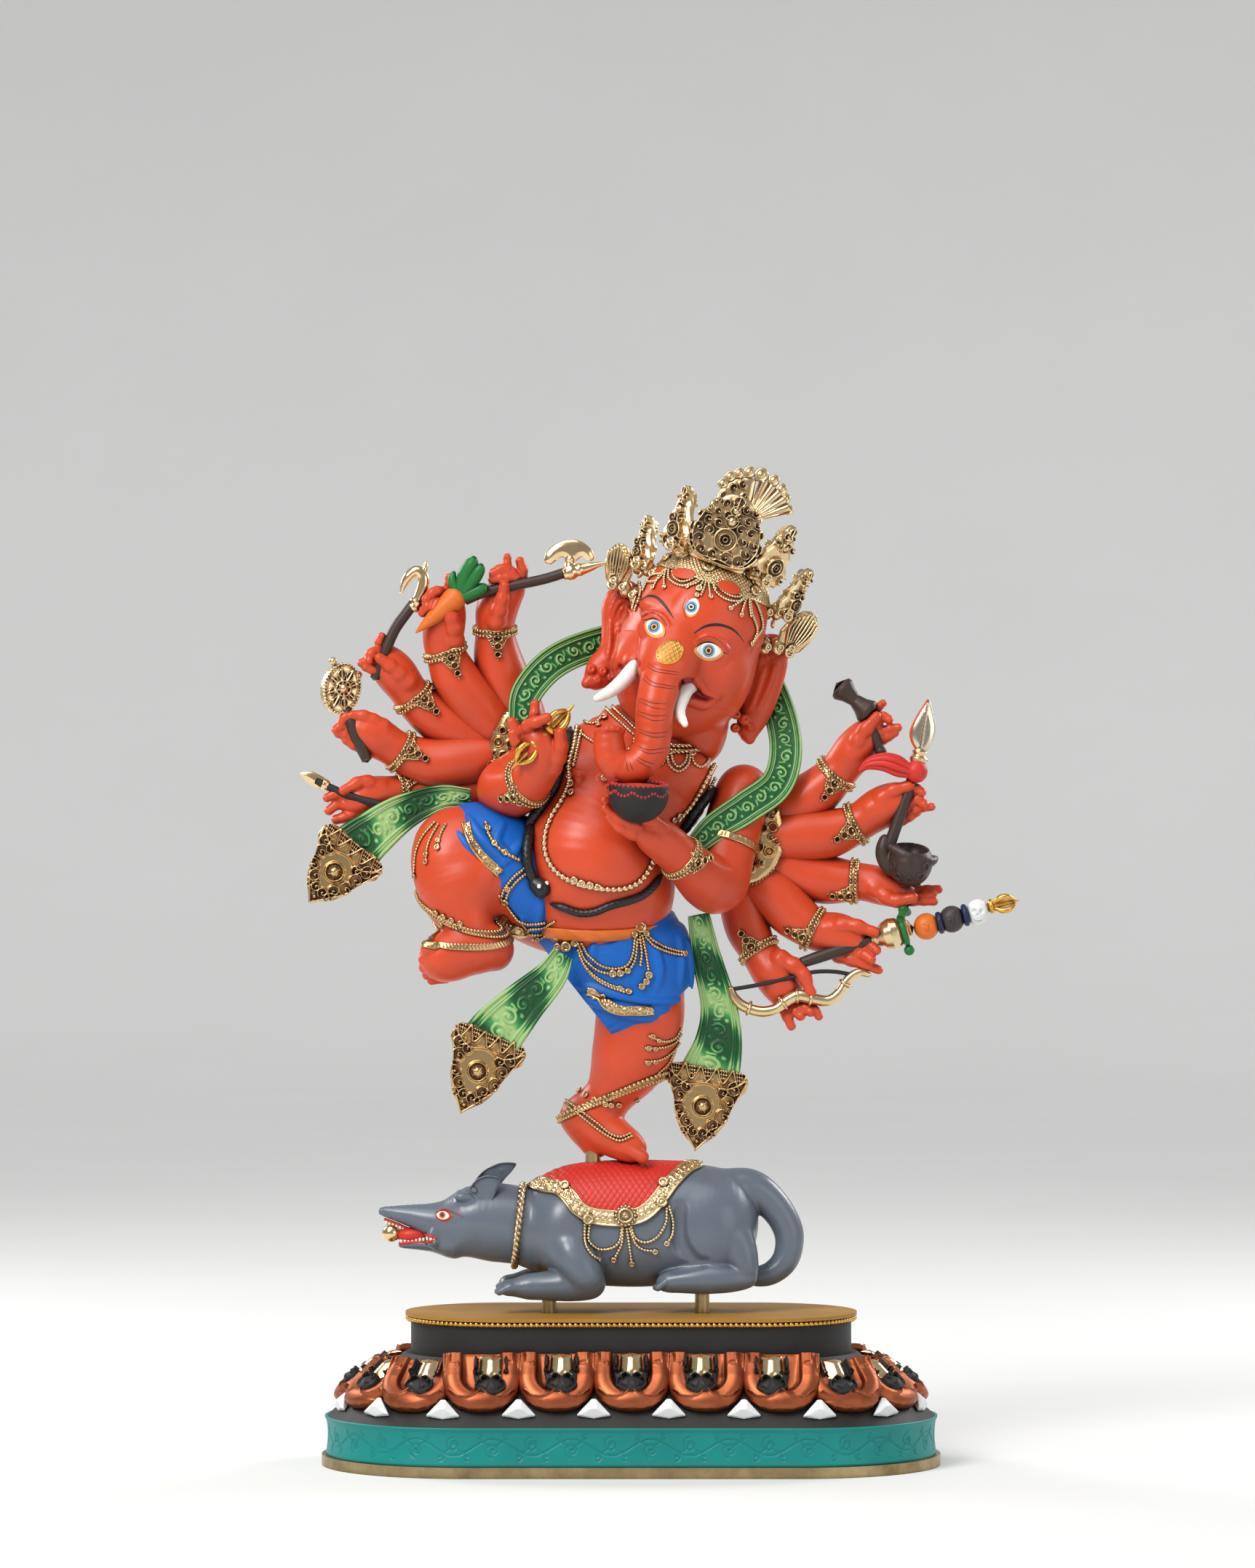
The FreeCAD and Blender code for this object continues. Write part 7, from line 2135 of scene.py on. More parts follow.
def skirt_clay():
    """The skirt over the hips, its fold over the raised thigh and the cloth hanging under it."""
    clay = Clay((-122, -56, 230), (52, 46, 368))
    rings = (
        (-12, 0, 297, 36.5, 31), (-9.5, 0, 282, 41, 33.5), (-2, 0, 264, 39.5, 32.5),
        (5, 0, 251, 33.5, 29.5), (9, 0, 245, 28.5, 26.5),
    )
    clay.loft(rings, 3, 3, 0.25)
    clay.chain(
        [(-34, 0, 306, 26.5), (-58, -6, 320, 27.8), (-76, -11, 331, 27.4), (-88, -14, 336, 25.4)], 6,
        pitch=3,
    )
    clay.loft(
        (
            (-55, 3, 316, 16, 22), (-56, 3, 300, 15, 18), (-58, 2, 286, 12.6, 13), (-60, 1, 274, 7.6, 7.6),
            (-61, 1, 270, 4, 4.4),
        ),
        7, 3, 0.4,
    )
    clay.egg((-34, -4, 287), (13, 25, 13), 5)
    folds = (
        ((-44, 264), (-26, 262), (-6, 257), (14, 254), (36, 255)),
        ((-30, 256), (-14, 252), (6, 248.6), (24, 249), (37, 251)),
        ((-20, 290), (-22, 278), (-28, 266)), ((26, 292), (28, 276), (27, 262)),
        ((31, 288), (33, 272), (33, 260)), ((12, 288), (16, 272), (14, 260)),
        ((-60, 342), (-66, 334), (-72, 328)), ((-90, 356), (-82, 344), (-70, 332)),
        ((-70, 352), (-74, 342), (-66, 334)), ((-60, 300), (-64, 288), (-62, 276)),
        ((-48, 312), (-52, 296), (-56, 282)), ((-100, 352), (-92, 342), (-84, 332)),
    )
    for fold in folds:
        line, _ = seen_spots(clay, flat_line(fold, 2.5), -0.6)
        size = 1.7 * np.sin(np.linspace(0.35, math.pi - 0.25, len(line)))
        clay.chain([(*p, s) for p, s in zip(line, size)], 2.6)
    hem = flat_line([(-36, 258.5), (-24, 256), (-8, 248), (6, 244.6), (22, 245), (33, 248)], 2.5)
    lip, _ = seen_spots(clay, hem, -1.2)
    clay.chain([(*p, 2.2) for p in lip], 2.4)
    x, y, z = (clay.low[k] + clay.step * np.arange(clay.d.shape[k]) for k in range(3))
    cut = ((x[:, None, None] + 92) * -0.78 + (z[None, None, :] - 339) * -0.62) + 0 * y[None, :, None]
    clay.d = np.maximum(clay.d, cut.astype(np.float32))
    hollow = Clay.__new__(Clay)
    hollow.step, hollow.low, hollow.d = clay.step, clay.low, np.full_like(clay.d, clay.FAR)
    hollow.loft(((4, 0, 262, 30, 27), (9, 0, 244, 26, 24), (9, 0, 236, 26, 24)), 0, 3, 0.3)
    clay.d = -smooth_min(-clay.d, hollow.d, 1.0)
    return clay


def strip_on(clay, heap, path, half, tile, length):
    """A cast scroll strip along a path seen from the front."""
    rise = thick = 0.9
    line, _ = seen_spots(clay, flat_line(path, 0.5))
    smooth_line(line, 12)
    high = tile.y.max() - 1.0

    def lift(distance, u):
        return rise * look_up(tile, distance % length, high / 2 * (1 + 0.98 * u))

    heap.add(*clay.band(line, half, lift, 17, thick=thick))


def bead_line(clays, heap, path, radius, proud=0.6):
    """A string of beads along a path seen from the front."""
    line, _ = seen_spots(clays, flat_line(path, radius * 1.4), proud)
    if len(line) > 3:
        cord_of_beads(heap, line, radius)


def bezels_on(clays, heap, spots, proud=0.8):
    """Ring settings at (x, z, radius) places seen from the front."""
    for x, z, radius in spots:
        spot, way = seen_spots(clays, [(x, z)], proud)
        if len(spot):
            bezel(heap, spot[0], way[0], radius)


def twist(heap, line, radius, turns_per_mm=0.14):
    """A rope of two strands along a line."""
    line = np.asarray(line, float)
    along = unit(np.gradient(line, axis=0))
    side = unit(np.cross(along, FRONT + 0.01))
    other = np.cross(along, side)
    run = run_of(line)
    for start in (0, math.pi):
        wave = run * turns_per_mm * 2 * math.pi + start
        across, up = np.cos(wave) * radius * 0.62, np.sin(wave) * radius * 0.62
        strand = line + side * across[:, None] + other * up[:, None]
        heap.add(*tube(strand, radius * 0.62, 7))


def make_skirt(clays):
    """Skirt cloth, its gold edges, waistband and hanging strings."""
    cloth = clays["skirt"] = skirt_clay()
    piece("skirt_cloth", cloth.mesh(), "blue", "skirt")
    gold = Heap()
    tile = scroll_tile(9.0, 5.0, 0.8)
    for path, half in (
        (((-90.5, 352), (-89, 344), (-84, 336), (-78, 330), (-72, 324.6)), 2.5),
        (((-24, 259.6), (-19, 258), (-13, 252), (-6, 249), (4, 248.6), (12, 249.4)), 2.2),
    ):
        strip_on(cloth, gold, path, half, tile, 9.0)
    torso = clays["torso"]
    bead_line([cloth, torso], gold, ((-80, 352), (-78, 345), (-71, 337), (-62, 332)), 1.2)
    bezels_on([cloth, torso], gold, ((-79, 349, 1.8), (-75, 341, 1.8), (-69, 336, 1.8)))
    strings = (
        ((-29, 286), (-25, 277), (-18, 271), (-10, 269.4), (-2, 271), (2, 277), (3.4, 288)),
        ((-27, 286), (-23, 279), (-17, 274), (-10, 272), (-3, 273.4), (0.6, 279), (2, 289)),
        ((-29, 282), (-24, 272), (-15, 265), (-5, 261), (-1, 259.6)),
        ((-28, 279), (-22, 269), (-13, 262.6), (-4, 259)),
        ((6, 290), (8, 280), (9.6, 270)), ((4.4, 291), (5.6, 281), (5, 274)),
        ((8, 291), (14, 286), (22, 282.6), (29, 281)), ((8, 289), (14, 283.6), (22, 280.6), (29, 279.4)),
        ((-59, 327), (-66, 321), (-71, 312), (-68, 300), (-58, 294), (-48, 295), (-42, 298)),
        ((-57, 325), (-64, 319), (-68.6, 311), (-66, 302), (-57, 296.6), (-48, 297.4)),
        ((-68, 290.6), (-58, 288.4), (-50, 289), (-44, 292)), ((-68, 292.6), (-58, 290.6), (-50, 291)),
    )
    for string in strings:
        bead_line([cloth, torso], gold, string, 0.95)
    bezels_on(
        [cloth, torso], gold,
        (
            (-10, 269.4, 2.2), (-6, 269.6, 2.0), (-2, 271, 1.8), (9.4, 268.6, 2.2), (8, 265, 2.0),
            (5.6, 262.4, 1.9), (-1.4, 259.4, 1.9), (-6, 261.4, 1.5), (29, 280.4, 1.8), (-69, 309, 2.2),
            (-68.6, 303.6, 2.0), (-59, 288.6, 1.8), (-52, 289.2, 1.5), (-68, 316, 1.8),
        ),
    )
    for x, z, radius in (
        (-35.4, 294.6, 2.7), (-31, 296, 2.2), (-35.4, 289.6, 2.9), (-35.4, 284.6, 3.0), (-40.6, 296.4, 2.2),
        (-28.6, 291, 2.3), (-40, 290, 2.2), (-31, 286, 2.2), (-39.4, 284.4, 2.2), (4.6, 294.4, 3.4),
        (1.6, 290.4, 1.8), (7.8, 290.8, 1.8),
    ):
        spot = cloth.front([(x, z)], 1.8)[0]
        bezel(gold, spot, unit(cloth.normal(spot) + FRONT), radius)
        gold.add(*placed(BALL, spot + vec(0, 1.6, 0), None, (radius, 2.2, radius)))
    piece("skirt_gold_trim", gold, "dark_gold", "waist_belt")
    loop = torso.around((-12, -2, 297.5), (0, -0.18, 1), 60, 200)
    waist = torso.band(
        loop, 3.4, lambda s, u: 0.5 * np.cos(u * 1.4) + 0.25 * np.sin(s * 0.5 + 2 * u), 9, True, thick=1.2,
    )
    piece("waistband", waist, "orange", "waist_belt")


# ------------------------------------------------------------------ ornaments on the body


def snake(heap, line, radius):
    """A scaly cord: a round bar with diamond dents."""
    line = np.asarray(line, float)
    rows = len(line)
    sides = 20
    run = run_of(line)
    points, faces = tube(line, radius, sides)
    around = np.arange(sides) / sides
    for i in range(rows):
        ring = points[i * sides : (i + 1) * sides]
        scale = np.maximum(
            *(np.abs(np.sin((run[i] * 0.34 + way * around * 5) * math.pi)) for way in (-1, 1))
        )
        taper = min(1.0, 0.35 + run[i] / 9, 0.35 + (run[-1] - run[i]) / 9)
        ring[:] = line[i] + (ring - line[i]) * (1 + 0.3 * (scale[:, None] - 0.7)) * taper
    heap.add(points, faces)


WRIST_BEAD = 1.05


def wrist_set(heap, clay, centre, axis, up_arm, turn, plate=(13, 15)):
    """A bracelet: two rows of beads on a collar, and a pointed plate with three settings."""
    axis = unit(axis)
    loop = clay.around(centre, axis, 18, 110)
    heap.add(*clay.band(loop, 2.5, lambda s, u: 0.5 * np.cos(u * 1.5), 9, True, thick=0.6))
    for shift in (-1.35, 1.35):
        row = clay.around(np.asarray(centre, float) + axis * shift, axis, 18, 90)
        row = row + clay.normal(row) * 1.1
        beads(heap, np.vstack([row, row[:1]]), WRIST_BEAD, WRIST_BEAD * 2.05)
    way = unit(up_arm)
    out = unit(turned(FRONT - axis * (FRONT @ axis), axis, turn))
    axes = np.column_stack([unit(np.cross(out, -way)) * -1, way, out])
    axes[:, 0] = np.cross(axes[:, 1], axes[:, 2])
    w, h = plate
    relief = Relief(w + 2, h + 2, RELIEF_STEP, low=(-w / 2 - 1, -2))
    half = [
        (-w / 2, -1), (-w * 0.46, h * 0.16), (-w * 0.3, h * 0.3), (-w * 0.26, h * 0.46),
        (-w * 0.14, h * 0.6), (-w * 0.13, h * 0.84), (0, h),
    ]
    relief.plate(mirrored(half), 1.2)
    for y, radius in ((h * 0.14, 2.1), (h * 0.44, 1.75), (h * 0.74, 1.5)):
        relief.ring(0, y, radius, 1.2, 2.9)
        relief.pit(0, y, radius * 0.72, 1.1)
    for side in (-1, 1):
        relief.scroll(side * w * 0.31, h * 0.1, 1.9, side * 80, side, 0.8, 2.1, 1.2)
        relief.scroll(side * w * 0.2, h * 0.36, 1.3, side * 60, -side, 0.7, 2.0, 1.0)
        relief.line(
            [(side * w * 0.47, 0), (side * w * 0.3, h * 0.26), (side * w * 0.16, h * 0.56)], 0.8, 1.9,
        )
    shape = relief.solid(0.8)
    heap.add(*clay.lay(shape, np.asarray(centre, float), axes, 15))


def ribbed(s, u):
    """Relief of an armlet: a row of lobes between two raised edges."""
    return 0.7 * np.abs(np.sin(s * 1.1)) * (np.abs(u) < 0.7) + 0.5 * (np.abs(u) > 0.7)


def bowed(middle, depth):
    """A bend that takes a relief's sides back, away from the line x = middle."""
    return lambda p: p + np.column_stack([0 * p[:, 0], 0 * p[:, 0], -depth * (p[:, 0] - middle) ** 2])


def settings(relief, spots, top, dip, share=0.7, wall=1.3):
    """Ring settings at (x, y, radius) spots of a relief, each with a pit in it."""
    for x, y, radius in spots:
        relief.ring(x, y, radius, wall, top)
        relief.pit(x, y, radius * share, dip)


def make_bracelets(clays):
    """Twelve bracelets, one on each wrist."""
    bracelets = Heap()
    wrists = (
        ("right0", (-75, 9, 458.6), (0.0, -0.25, 1), 8),
        ("right1", (-102.6, 5, 446.6), (-0.32, -0.25, 0.95), 12),
        ("right2", (-120, 8.6, 421.6), (-0.62, -0.3, 0.8), 20),
        ("right3", (-127, 5, 391.6), (-0.8, -0.25, 0.5), 16),
        ("right4", (-126, 10, 369), (-1, -0.25, -0.1), 40),
        ("left0", (113, 9, 379.4), (0.62, -0.25, 0.72), 12),
        ("left1", (124, 6, 351.8), (0.86, -0.2, 0.42), 10), ("left2", (123, 9, 320), (1, -0.1, -0.03), 40),
        ("left3", (100, 5, 293.6), (0.8, -0.1, -0.4), 30),
        ("left4", (70, 8.4, 281.6), (0.55, -0.2, -0.85), 10),
    )
    for name, centre, axis, turn in wrists:
        wrist_set(bracelets, clays[name], centre, axis, -np.array(axis, float), turn)
    wrist_set(
        bracelets, clays["front_right"], (-56.5, -35, 374.6), (0.5, -0.55, 0.35), (-0.6, 0.35, -0.1), 16,
        (12, 14),
    )
    wrist_set(
        bracelets, clays["front_left"], (27.6, -43.6, 333.4), (-0.62, -0.52, 0.55), (0.75, 0.4, 0.1), 10,
        (12, 15),
    )
    piece("bracelet_castings", bracelets, "dark_gold", "bracelets")


def make_shoulder_plates(clays):
    """The cast plates on both shoulders and the armlets of the two front arms."""
    plates = Heap()
    right = Relief(34, 50, RELIEF_STEP, low=(-20, -4))
    right.plate(
        [
            (0, 44), (-6, 38), (-12, 28), (-16, 16), (-17.5, 4), (-15, -2), (-9, 6), (0, 12), (8, 14),
            (9, 22), (6, 34),
        ],
        1.4,
    )
    edge = [(-1, 43), (-7.5, 37), (-13.4, 27), (-16.6, 15), (-17.6, 3), (-15.6, -2)]
    right.pearls(edge, 1.1, 2.9, 2.1)
    spots = (
        (-2, 34, 2.3), (-1, 27, 2.3), (-9, 22.6, 2.5), (-2, 21.6, 2.4), (-0.4, 15.6, 2.3), (-12.6, 10, 2.3),
        (-6.4, 29, 1.9),
    )
    settings(right, spots, 3.2, 1.4)
    for x, y, size, hand in (
        (-6, 15, 2.6, 1), (-10.6, 16.6, 2.0, -1), (3, 30, 2.2, 1), (4, 20, 2.4, -1), (-12.6, 4, 1.8, 1),
        (2.6, 37, 1.8, 1),
    ):
        right.scroll(x, y, size, 70 * hand, hand, 0.9, 2.9, 1.2)
    plates.add(*placed(right.solid(3.0, bowed(-4, 0.02)), (-64, -4, 374), FACING))
    left = Relief(32, 52, RELIEF_STEP, low=(-16, -4))
    left.plate(
        [
            (13, 42), (15.4, 30), (14.6, 18), (10, 8), (2, 1), (-9, -2), (-8, 4), (0, 12), (-2, 22),
            (0, 34), (4, 40),
        ],
        1.4,
    )
    left.pearls([(14, 41), (16, 29), (14.8, 17), (10, 8), (2, 1.6), (-8, -1.4)], 1.1, 2.9, 2.1)
    spots = (
        (4, 31.6, 2.4), (9.4, 31.8, 2.4), (2, 21, 2.3), (7.4, 18.6, 2.5), (-3, 9.6, 2.4), (11.6, 24, 1.8),
    )
    settings(left, spots, 3.2, 1.4)
    for x, y, size, hand in ((9, 38, 2.4, 1), (3.4, 12.6, 2.0, -1), (8.6, 26, 2.2, 1), (0.6, 27, 1.8, -1)):
        left.scroll(x, y, size, 70 * hand, hand, 0.9, 2.9, 1.2)
    plates.add(*placed(left.solid(3.0), (68.4, -3, 318), FACING))
    tri = Relief(24, 24, RELIEF_STEP, low=(-14, -3))
    tri.plate(
        [
            (0, 20), (-2.6, 13), (-11, 7.6), (-12, 4.4), (-4, 4), (1.4, -1.6), (4.4, 0), (4.2, 8),
            (4.4, 16), (3, 20),
        ],
        1.3,
    )
    spots = (
        (1.8, 16.6, 1.9), (0.6, 10.4, 2.4), (3.0, 8.4, 2.0), (-2.6, 7, 2.1), (2.4, 3.6, 2.0),
        (-8.4, 6.2, 1.6),
    )
    settings(tri, spots, 2.9, 1.2, wall=1.2)
    plates.add(*placed(tri.solid(2.0, bowed(-2, 0.035)), (58, -17, 329), FACING))
    for arm, centre, axis in (
        (clays["front_left"], (53.6, -7.4, 341), (0.28, 0.25, 0.92)),
        (clays["front_right"], (-55, -3, 382), (0.7, 0.45, 0.5)),
    ):
        loop = arm.around(centre, axis, 24, 120)
        plates.add(*arm.band(loop, 2.0, ribbed, 11, True, thick=0.8))
    piece("shoulder_plates", plates, "dark_gold", "armlets")


def make_anklets(clays):
    """Bead rings and strings on both legs."""
    anklets = Heap()
    raised, standing = clays["raised"], clays["standing"]
    for clay, centre, axis, radius in (
        (raised, (-92, -29, 303), (0.28, -0.42, 0.9), 1.0),
        (raised, (-91, -29.4, 300.6), (0.28, -0.42, 0.9), 0.9),
        (standing, (-11.4, 1.6, 202), (-0.42, 0.1, 1), 1.3),
        (standing, (-12.6, 2, 199), (-0.42, 0.1, 1), 1.0),
    ):
        loop = clay.around(centre, axis, 34, 150)
        loop = loop + clay.normal(loop) * 0.9
        beads(anklets, np.vstack([loop, loop[:1]]), radius, radius * 2)
    for clay, centre, axis in (
        (raised, (-92, -29, 302), (0.28, -0.42, 0.9)), (standing, (-12, 1.8, 200.6), (-0.42, 0.1, 1)),
        (raised, (-89, -30.6, 292.4), (0.1, -0.4, 0.9)),
    ):
        loop = clay.around(centre, axis, 34, 220)
        anklets.add(
            *clay.band(loop, 1.7, lambda s, u: 0.55 * np.abs(np.sin(s * 1.6 + u * 1.2)), 9, True, thick=0.8)
        )
    bezels_on(
        [raised, clays["skirt"]], anklets,
        ((-107, 303, 1.9), (-103, 300.6, 2.0), (-98.6, 298.6, 1.8), (-94, 297, 1.6), (-104, 296.6, 1.7)),
    )
    bezels_on(
        standing, anklets,
        (
            (-28, 204.6, 1.9), (-24.6, 202.4, 1.8), (-14, 197.6, 1.7), (-11, 197.2, 1.7), (-7, 197.4, 1.7),
            (3, 200, 1.6), (-20, 200, 1.5),
        ),
    )
    for path in (
        ((-36.4, 197.4), (-30, 193), (-20, 185), (-12, 179.6), (-6, 177.4), (0, 179.6)),
        ((-35.6, 199.4), (-29, 195), (-19, 187.4), (-12, 181.6), (-6, 179.4), (-1, 181)),
    ):
        bead_line(standing, anklets, path, 0.95)
    for path in (
        ((27, 239), (24, 234), (18, 232), (10, 235)), ((27, 236), (23, 231), (16, 228.6), (8, 228.4)),
        ((26, 231), (22, 226), (16, 222), (8, 221)), ((24, 228), (20, 220), (15, 215), (10, 209)),
    ):
        bead_line(standing, anklets, path, 0.9)
    bezels_on(
        standing, anklets,
        (
            (11.6, 235, 1.6), (15, 232.6, 1.4), (9.4, 228.4, 1.6), (13, 228, 1.4), (9, 220.6, 1.6),
            (13, 221, 1.4), (12, 209, 1.4),
        ),
    )
    for path in (
        ((-108, 352), (-114, 345), (-118, 336), (-119, 324)),
        ((-106, 351), (-110, 344), (-112, 338), (-112.6, 332)), ((-102, 351), (-104.6, 346), (-106, 340)),
    ):
        bead_line([raised, clays["skirt"]], anklets, path, 0.95)
    bezels_on(
        [raised, clays["skirt"]], anklets,
        (
            (-106.4, 338.6, 1.7), (-112.6, 331, 1.6), (-112.4, 335, 1.6), (-118.6, 323, 1.6),
            (-106, 342.4, 1.5),
        ),
    )
    piece("anklet_castings", anklets, "dark_gold", "anklets")


def make_necklaces(clays):
    """Bead chains, twisted collars and bead loops on the chest."""
    collar = clays["torso"]
    front_forms = [collar, clays["skirt"]]
    chains = Heap()
    long_chain = (
        (-29, 404), (-31, 394), (-34, 384), (-34, 374), (-38, 364), (-43, 356), (-46.6, 346), (-46.6, 336),
        (-43, 328), (-36, 322), (-26, 318), (-14, 316), (-4, 316.4), (4, 320), (10, 328), (13, 336),
    )
    bead_line(front_forms, chains, long_chain, 1.75, 1.1)
    bead_line(front_forms, chains, ((-27, 402), (-29, 394), (-31.6, 384)), 1.2, 0.9)
    bead_line(front_forms, chains, ((49, 391), (44, 382), (38, 371), (32, 361), (26, 354)), 1.6, 1.1)
    bead_line(front_forms, chains, ((52, 389), (47, 380), (41, 369), (35, 359)), 1.1, 0.9)
    bezels_on(
        front_forms, chains,
        (
            (-31, 321, 2.2), (-27, 319.4, 2.2), (-22.6, 318.4, 2.2), (-18.4, 317.4, 2.0), (-34, 378, 1.9),
            (-33, 373.6, 2.0), (-32.6, 368.6, 1.9), (-15.8, 377, 2.0), (26, 356, 1.9), (23, 354, 1.7),
        ),
        1.2,
    )
    bead_line(collar, chains, ((-27, 401), (-20, 396), (-10, 391)), 1.0)
    neck = ((19, 394.6), (26, 393.6), (34, 393.8), (41, 394.6))
    line = collar.front(flat_line(neck, 0.8), 1.0)
    twist(chains, line, 1.5, 0.2)
    line = collar.front(flat_line([(x, z - 2.8) for x, z in neck], 0.8), 1.0)
    twist(chains, line, 1.3, 0.2)
    for loop in (
        ((20, 391), (21, 384), (26, 380.6), (31, 384), (32.4, 390)),
        ((33, 390), (34.4, 385), (38.4, 383), (42, 386), (42.6, 391)), ((19, 389), (17.6, 385), (14, 383)),
        ((22, 390), (23.4, 385.4), (26, 383), (29.4, 385.4), (30.6, 389)),
    ):
        bead_line(collar, chains, loop, 0.95)
    bezels_on(collar, chains, ((21, 390.6, 2.3), (33, 389.8, 2.3), (42.6, 391, 2.0)), 1.0)
    for path in (
        ((-14, 420), (-8, 414), (-2, 408), (2, 404)), ((-16, 417), (-10, 411), (-4, 405.6), (1, 401)),
        ((-24, 414), (-25.6, 408), (-20, 406.6), (-16, 410)),
        ((-8, 397), (-4, 392.6), (0.6, 393.6), (1.6, 398)),
    ):
        bead_line(front_forms, chains, path, 1.0)
    bezels_on(front_forms, chains, ((-18, 415.6, 2.0), (-14.4, 409.6, 2.0), (-18, 405.6, 1.5)), 1.2)
    piece("bead_necklaces", chains, "gold", "necklaces")


def make_snakes(clays):
    """Three lengths of snake cord, and the snake's head on the belly with its eyes."""
    front_forms = [clays["torso"], clays["skirt"]]
    snakes = Heap()
    for path, radius in (
        (
            (
                (-27, 418), (-31, 408), (-34, 396), (-38, 384), (-41, 372), (-47, 362), (-54, 352),
                (-57.6, 342), (-57.6, 331), (-54.6, 322), (-50, 318),
            ),
            2.7,
        ),
        (((56, 387), (50, 380), (43, 371), (36, 361), (30, 352), (25, 345)), 2.9),
        (
            (
                (-43.6, 308), (-36, 305.6), (-28, 303), (-20, 303.6), (-12, 307), (-2, 309.6), (6, 312.6),
                (12, 318), (16, 324),
            ),
            2.1,
        ),
    ):
        line, _ = seen_spots(front_forms, flat_line(path, 0.7), radius * 0.55)
        smooth_line(line, 6)
        snake(snakes, line, radius)
    spot = seen_spots(front_forms, [(-49, 318)], 2.4)[0][0]
    skull = Clay(spot - 12, spot + 12, CLAY_STEP * 0.7)
    axes = frame_of((0.75, 0, -0.5), FRONT)
    skull.egg(spot, (4.6, 4.0, 6.2), 1, axes)
    skull.egg(spot + vec(1.5, -0.8, -1.8), (4.8, 4.0, 4.2), 2.0, axes)
    snakes.add(*skull.mesh())
    piece("snake_cords", snakes, "black", "snake_thread")
    dots = Heap()
    for x, z in ((-50.6, 317.4), (-46.4, 319)):
        at = skull.front([(x, z)])[0]
        dots.add(*placed(BALL, at, None, (1.15, 0.6, 1.3)))
    piece("snake_eyes", dots, "ivory", "snake_thread")


# ------------------------------------------------------------------ sashes and tassels


def sash_relief(length, half):
    """Raised edges, a row of pearls and scroll sprays along a sash."""
    tile = scroll_tile(20.0, 2 * half * 0.66, 1.3)
    high = tile.y.max() - 0.25

    def lift(s, u):
        hem = np.exp(-(((np.abs(u) - 0.9) / 0.07) ** 2))
        seam = np.exp(-(((np.abs(u) - 0.72) / 0.04) ** 2))
        edge = 1.3 * hem + 0.8 * seam
        inside = np.abs(u) < 0.64
        return edge + 0.95 * inside * look_up(tile, (s * length) % 20.0, high / 2 * (1 + u / 0.66))

    return lift


def sash(name, node, stations, waves=0.0):
    """One length of green sash with cast relief, from (x, y, z, half width) stations."""
    p = spaced(stations, 0.55)
    centres = p[:, :3]
    along = unit(np.gradient(centres, axis=0))
    across = unit(np.cross(along, np.broadcast_to(FRONT, along.shape)))
    length = length_of(centres)
    relief = sash_relief(length, float(p[:, 3].mean()))

    def lift(s, u):
        return relief(s, u) + waves * np.sin(s * length * 0.16 + u * 0.8)

    (points, faces), height = ribbon(centres, across, p[:, 3], 1.8, lift, 61)
    # the relief height goes to the 'lift' attribute, from which the sash paint takes its painted highlight
    # and shade
    piece(name, (points, faces), "sash", node, lift=height)


def tassel_casting(heap, top, tip, half_width, medal):
    """A flat cast tassel: ruffle on top, side points, a domed medallion and scrolls to a point."""
    top, tip = np.array(top, float), np.array(tip, float)
    way = unit(tip - top)
    height = float(np.linalg.norm(tip - top))
    w = half_width
    r = Relief(2 * w + 8, height + 14, RELIEF_STEP, low=(-w - 4, -height - 3))
    half = [
        (-w * 0.2, 5), (-w * 0.55, 6.5), (-w * 0.9, 4.4), (-w * 1.04, 1), (-w * 1.02, -height * 0.12),
        (-w * 0.86, -height * 0.22), (-w * 0.74, -height * 0.36), (-w * 0.66, -height * 0.56),
        (-w * 0.44, -height * 0.76), (-w * 0.16, -height * 0.9), (0, -height),
    ]
    r.plate(mirrored([(0, 5), *half]), 1.5)
    for k in range(5):
        x = -w * 0.8 + k * w * 0.4
        r.line([(x - w * 0.2, 5.6), (x, -2.6), (x + w * 0.2, 5.6)], 1.7, 3.9)
        for j in range(3):
            r.line([(x - w * 0.12, 4.2 - j * 2), (x + w * 0.12, 4.2 - j * 2)], 0.8, 2.9)
            r.line([(x - w * 0.1 + j * w * 0.07, 5), (x - w * 0.03 + j * w * 0.05, -1)], 0.7, 2.8)
    r.line([(-w * 1.0, 1), (-w * 0.5, -5.6), (0, -3.6), (w * 0.5, -5.6), (w * 1.0, 1)], 1.8, 3.8)
    y = -height * 0.4
    r.dome(0, y, medal * 1.2, 4.2)
    r.ring(0, y, medal * 1.2, 1.6, 4.4)
    r.dome(0, y, medal * 0.9, 5.8)
    for k in range(6):
        turn = math.radians(60 * k)
        r.line([(0, y), (medal * 0.86 * math.cos(turn), y + medal * 0.86 * math.sin(turn))], 0.9, 5.4)
    for side in (-1, 1):
        for x, yy, size, hand in (
            (0.72, -0.12, 0.16, 1), (0.62, -0.3, 0.17, -1), (0.56, -0.5, 0.17, 1), (0.34, -0.62, 0.15, -1),
            (0.36, -0.76, 0.13, 1), (0.12, -0.74, 0.12, -1), (0.46, -0.18, 0.13, -1),
        ):
            r.scroll(
                side * w * x, height * yy, w * size * 1.3, side * 90 * hand, side * hand, 1.2, 4.2, 1.4,
            )
        r.line(
            [
                (side * w * 0.98, -1), (side * w * 0.78, -height * 0.3), (side * w * 0.6, -height * 0.56),
                (0, -height * 0.97),
            ],
            1.6, 3.2,
        )
    r.dome(0, -height * 0.86, 1.6, 4.2)
    facing = unit(FRONT - way * (FRONT @ way))
    axes = np.column_stack([unit(np.cross(-way, facing)), -way, facing])
    heap.add(*placed(r.solid(1.4), top, axes))
    heap.add(*placed(r.solid(0.2), top - facing * 1.8, axes * vec(-1, 1, -1)))


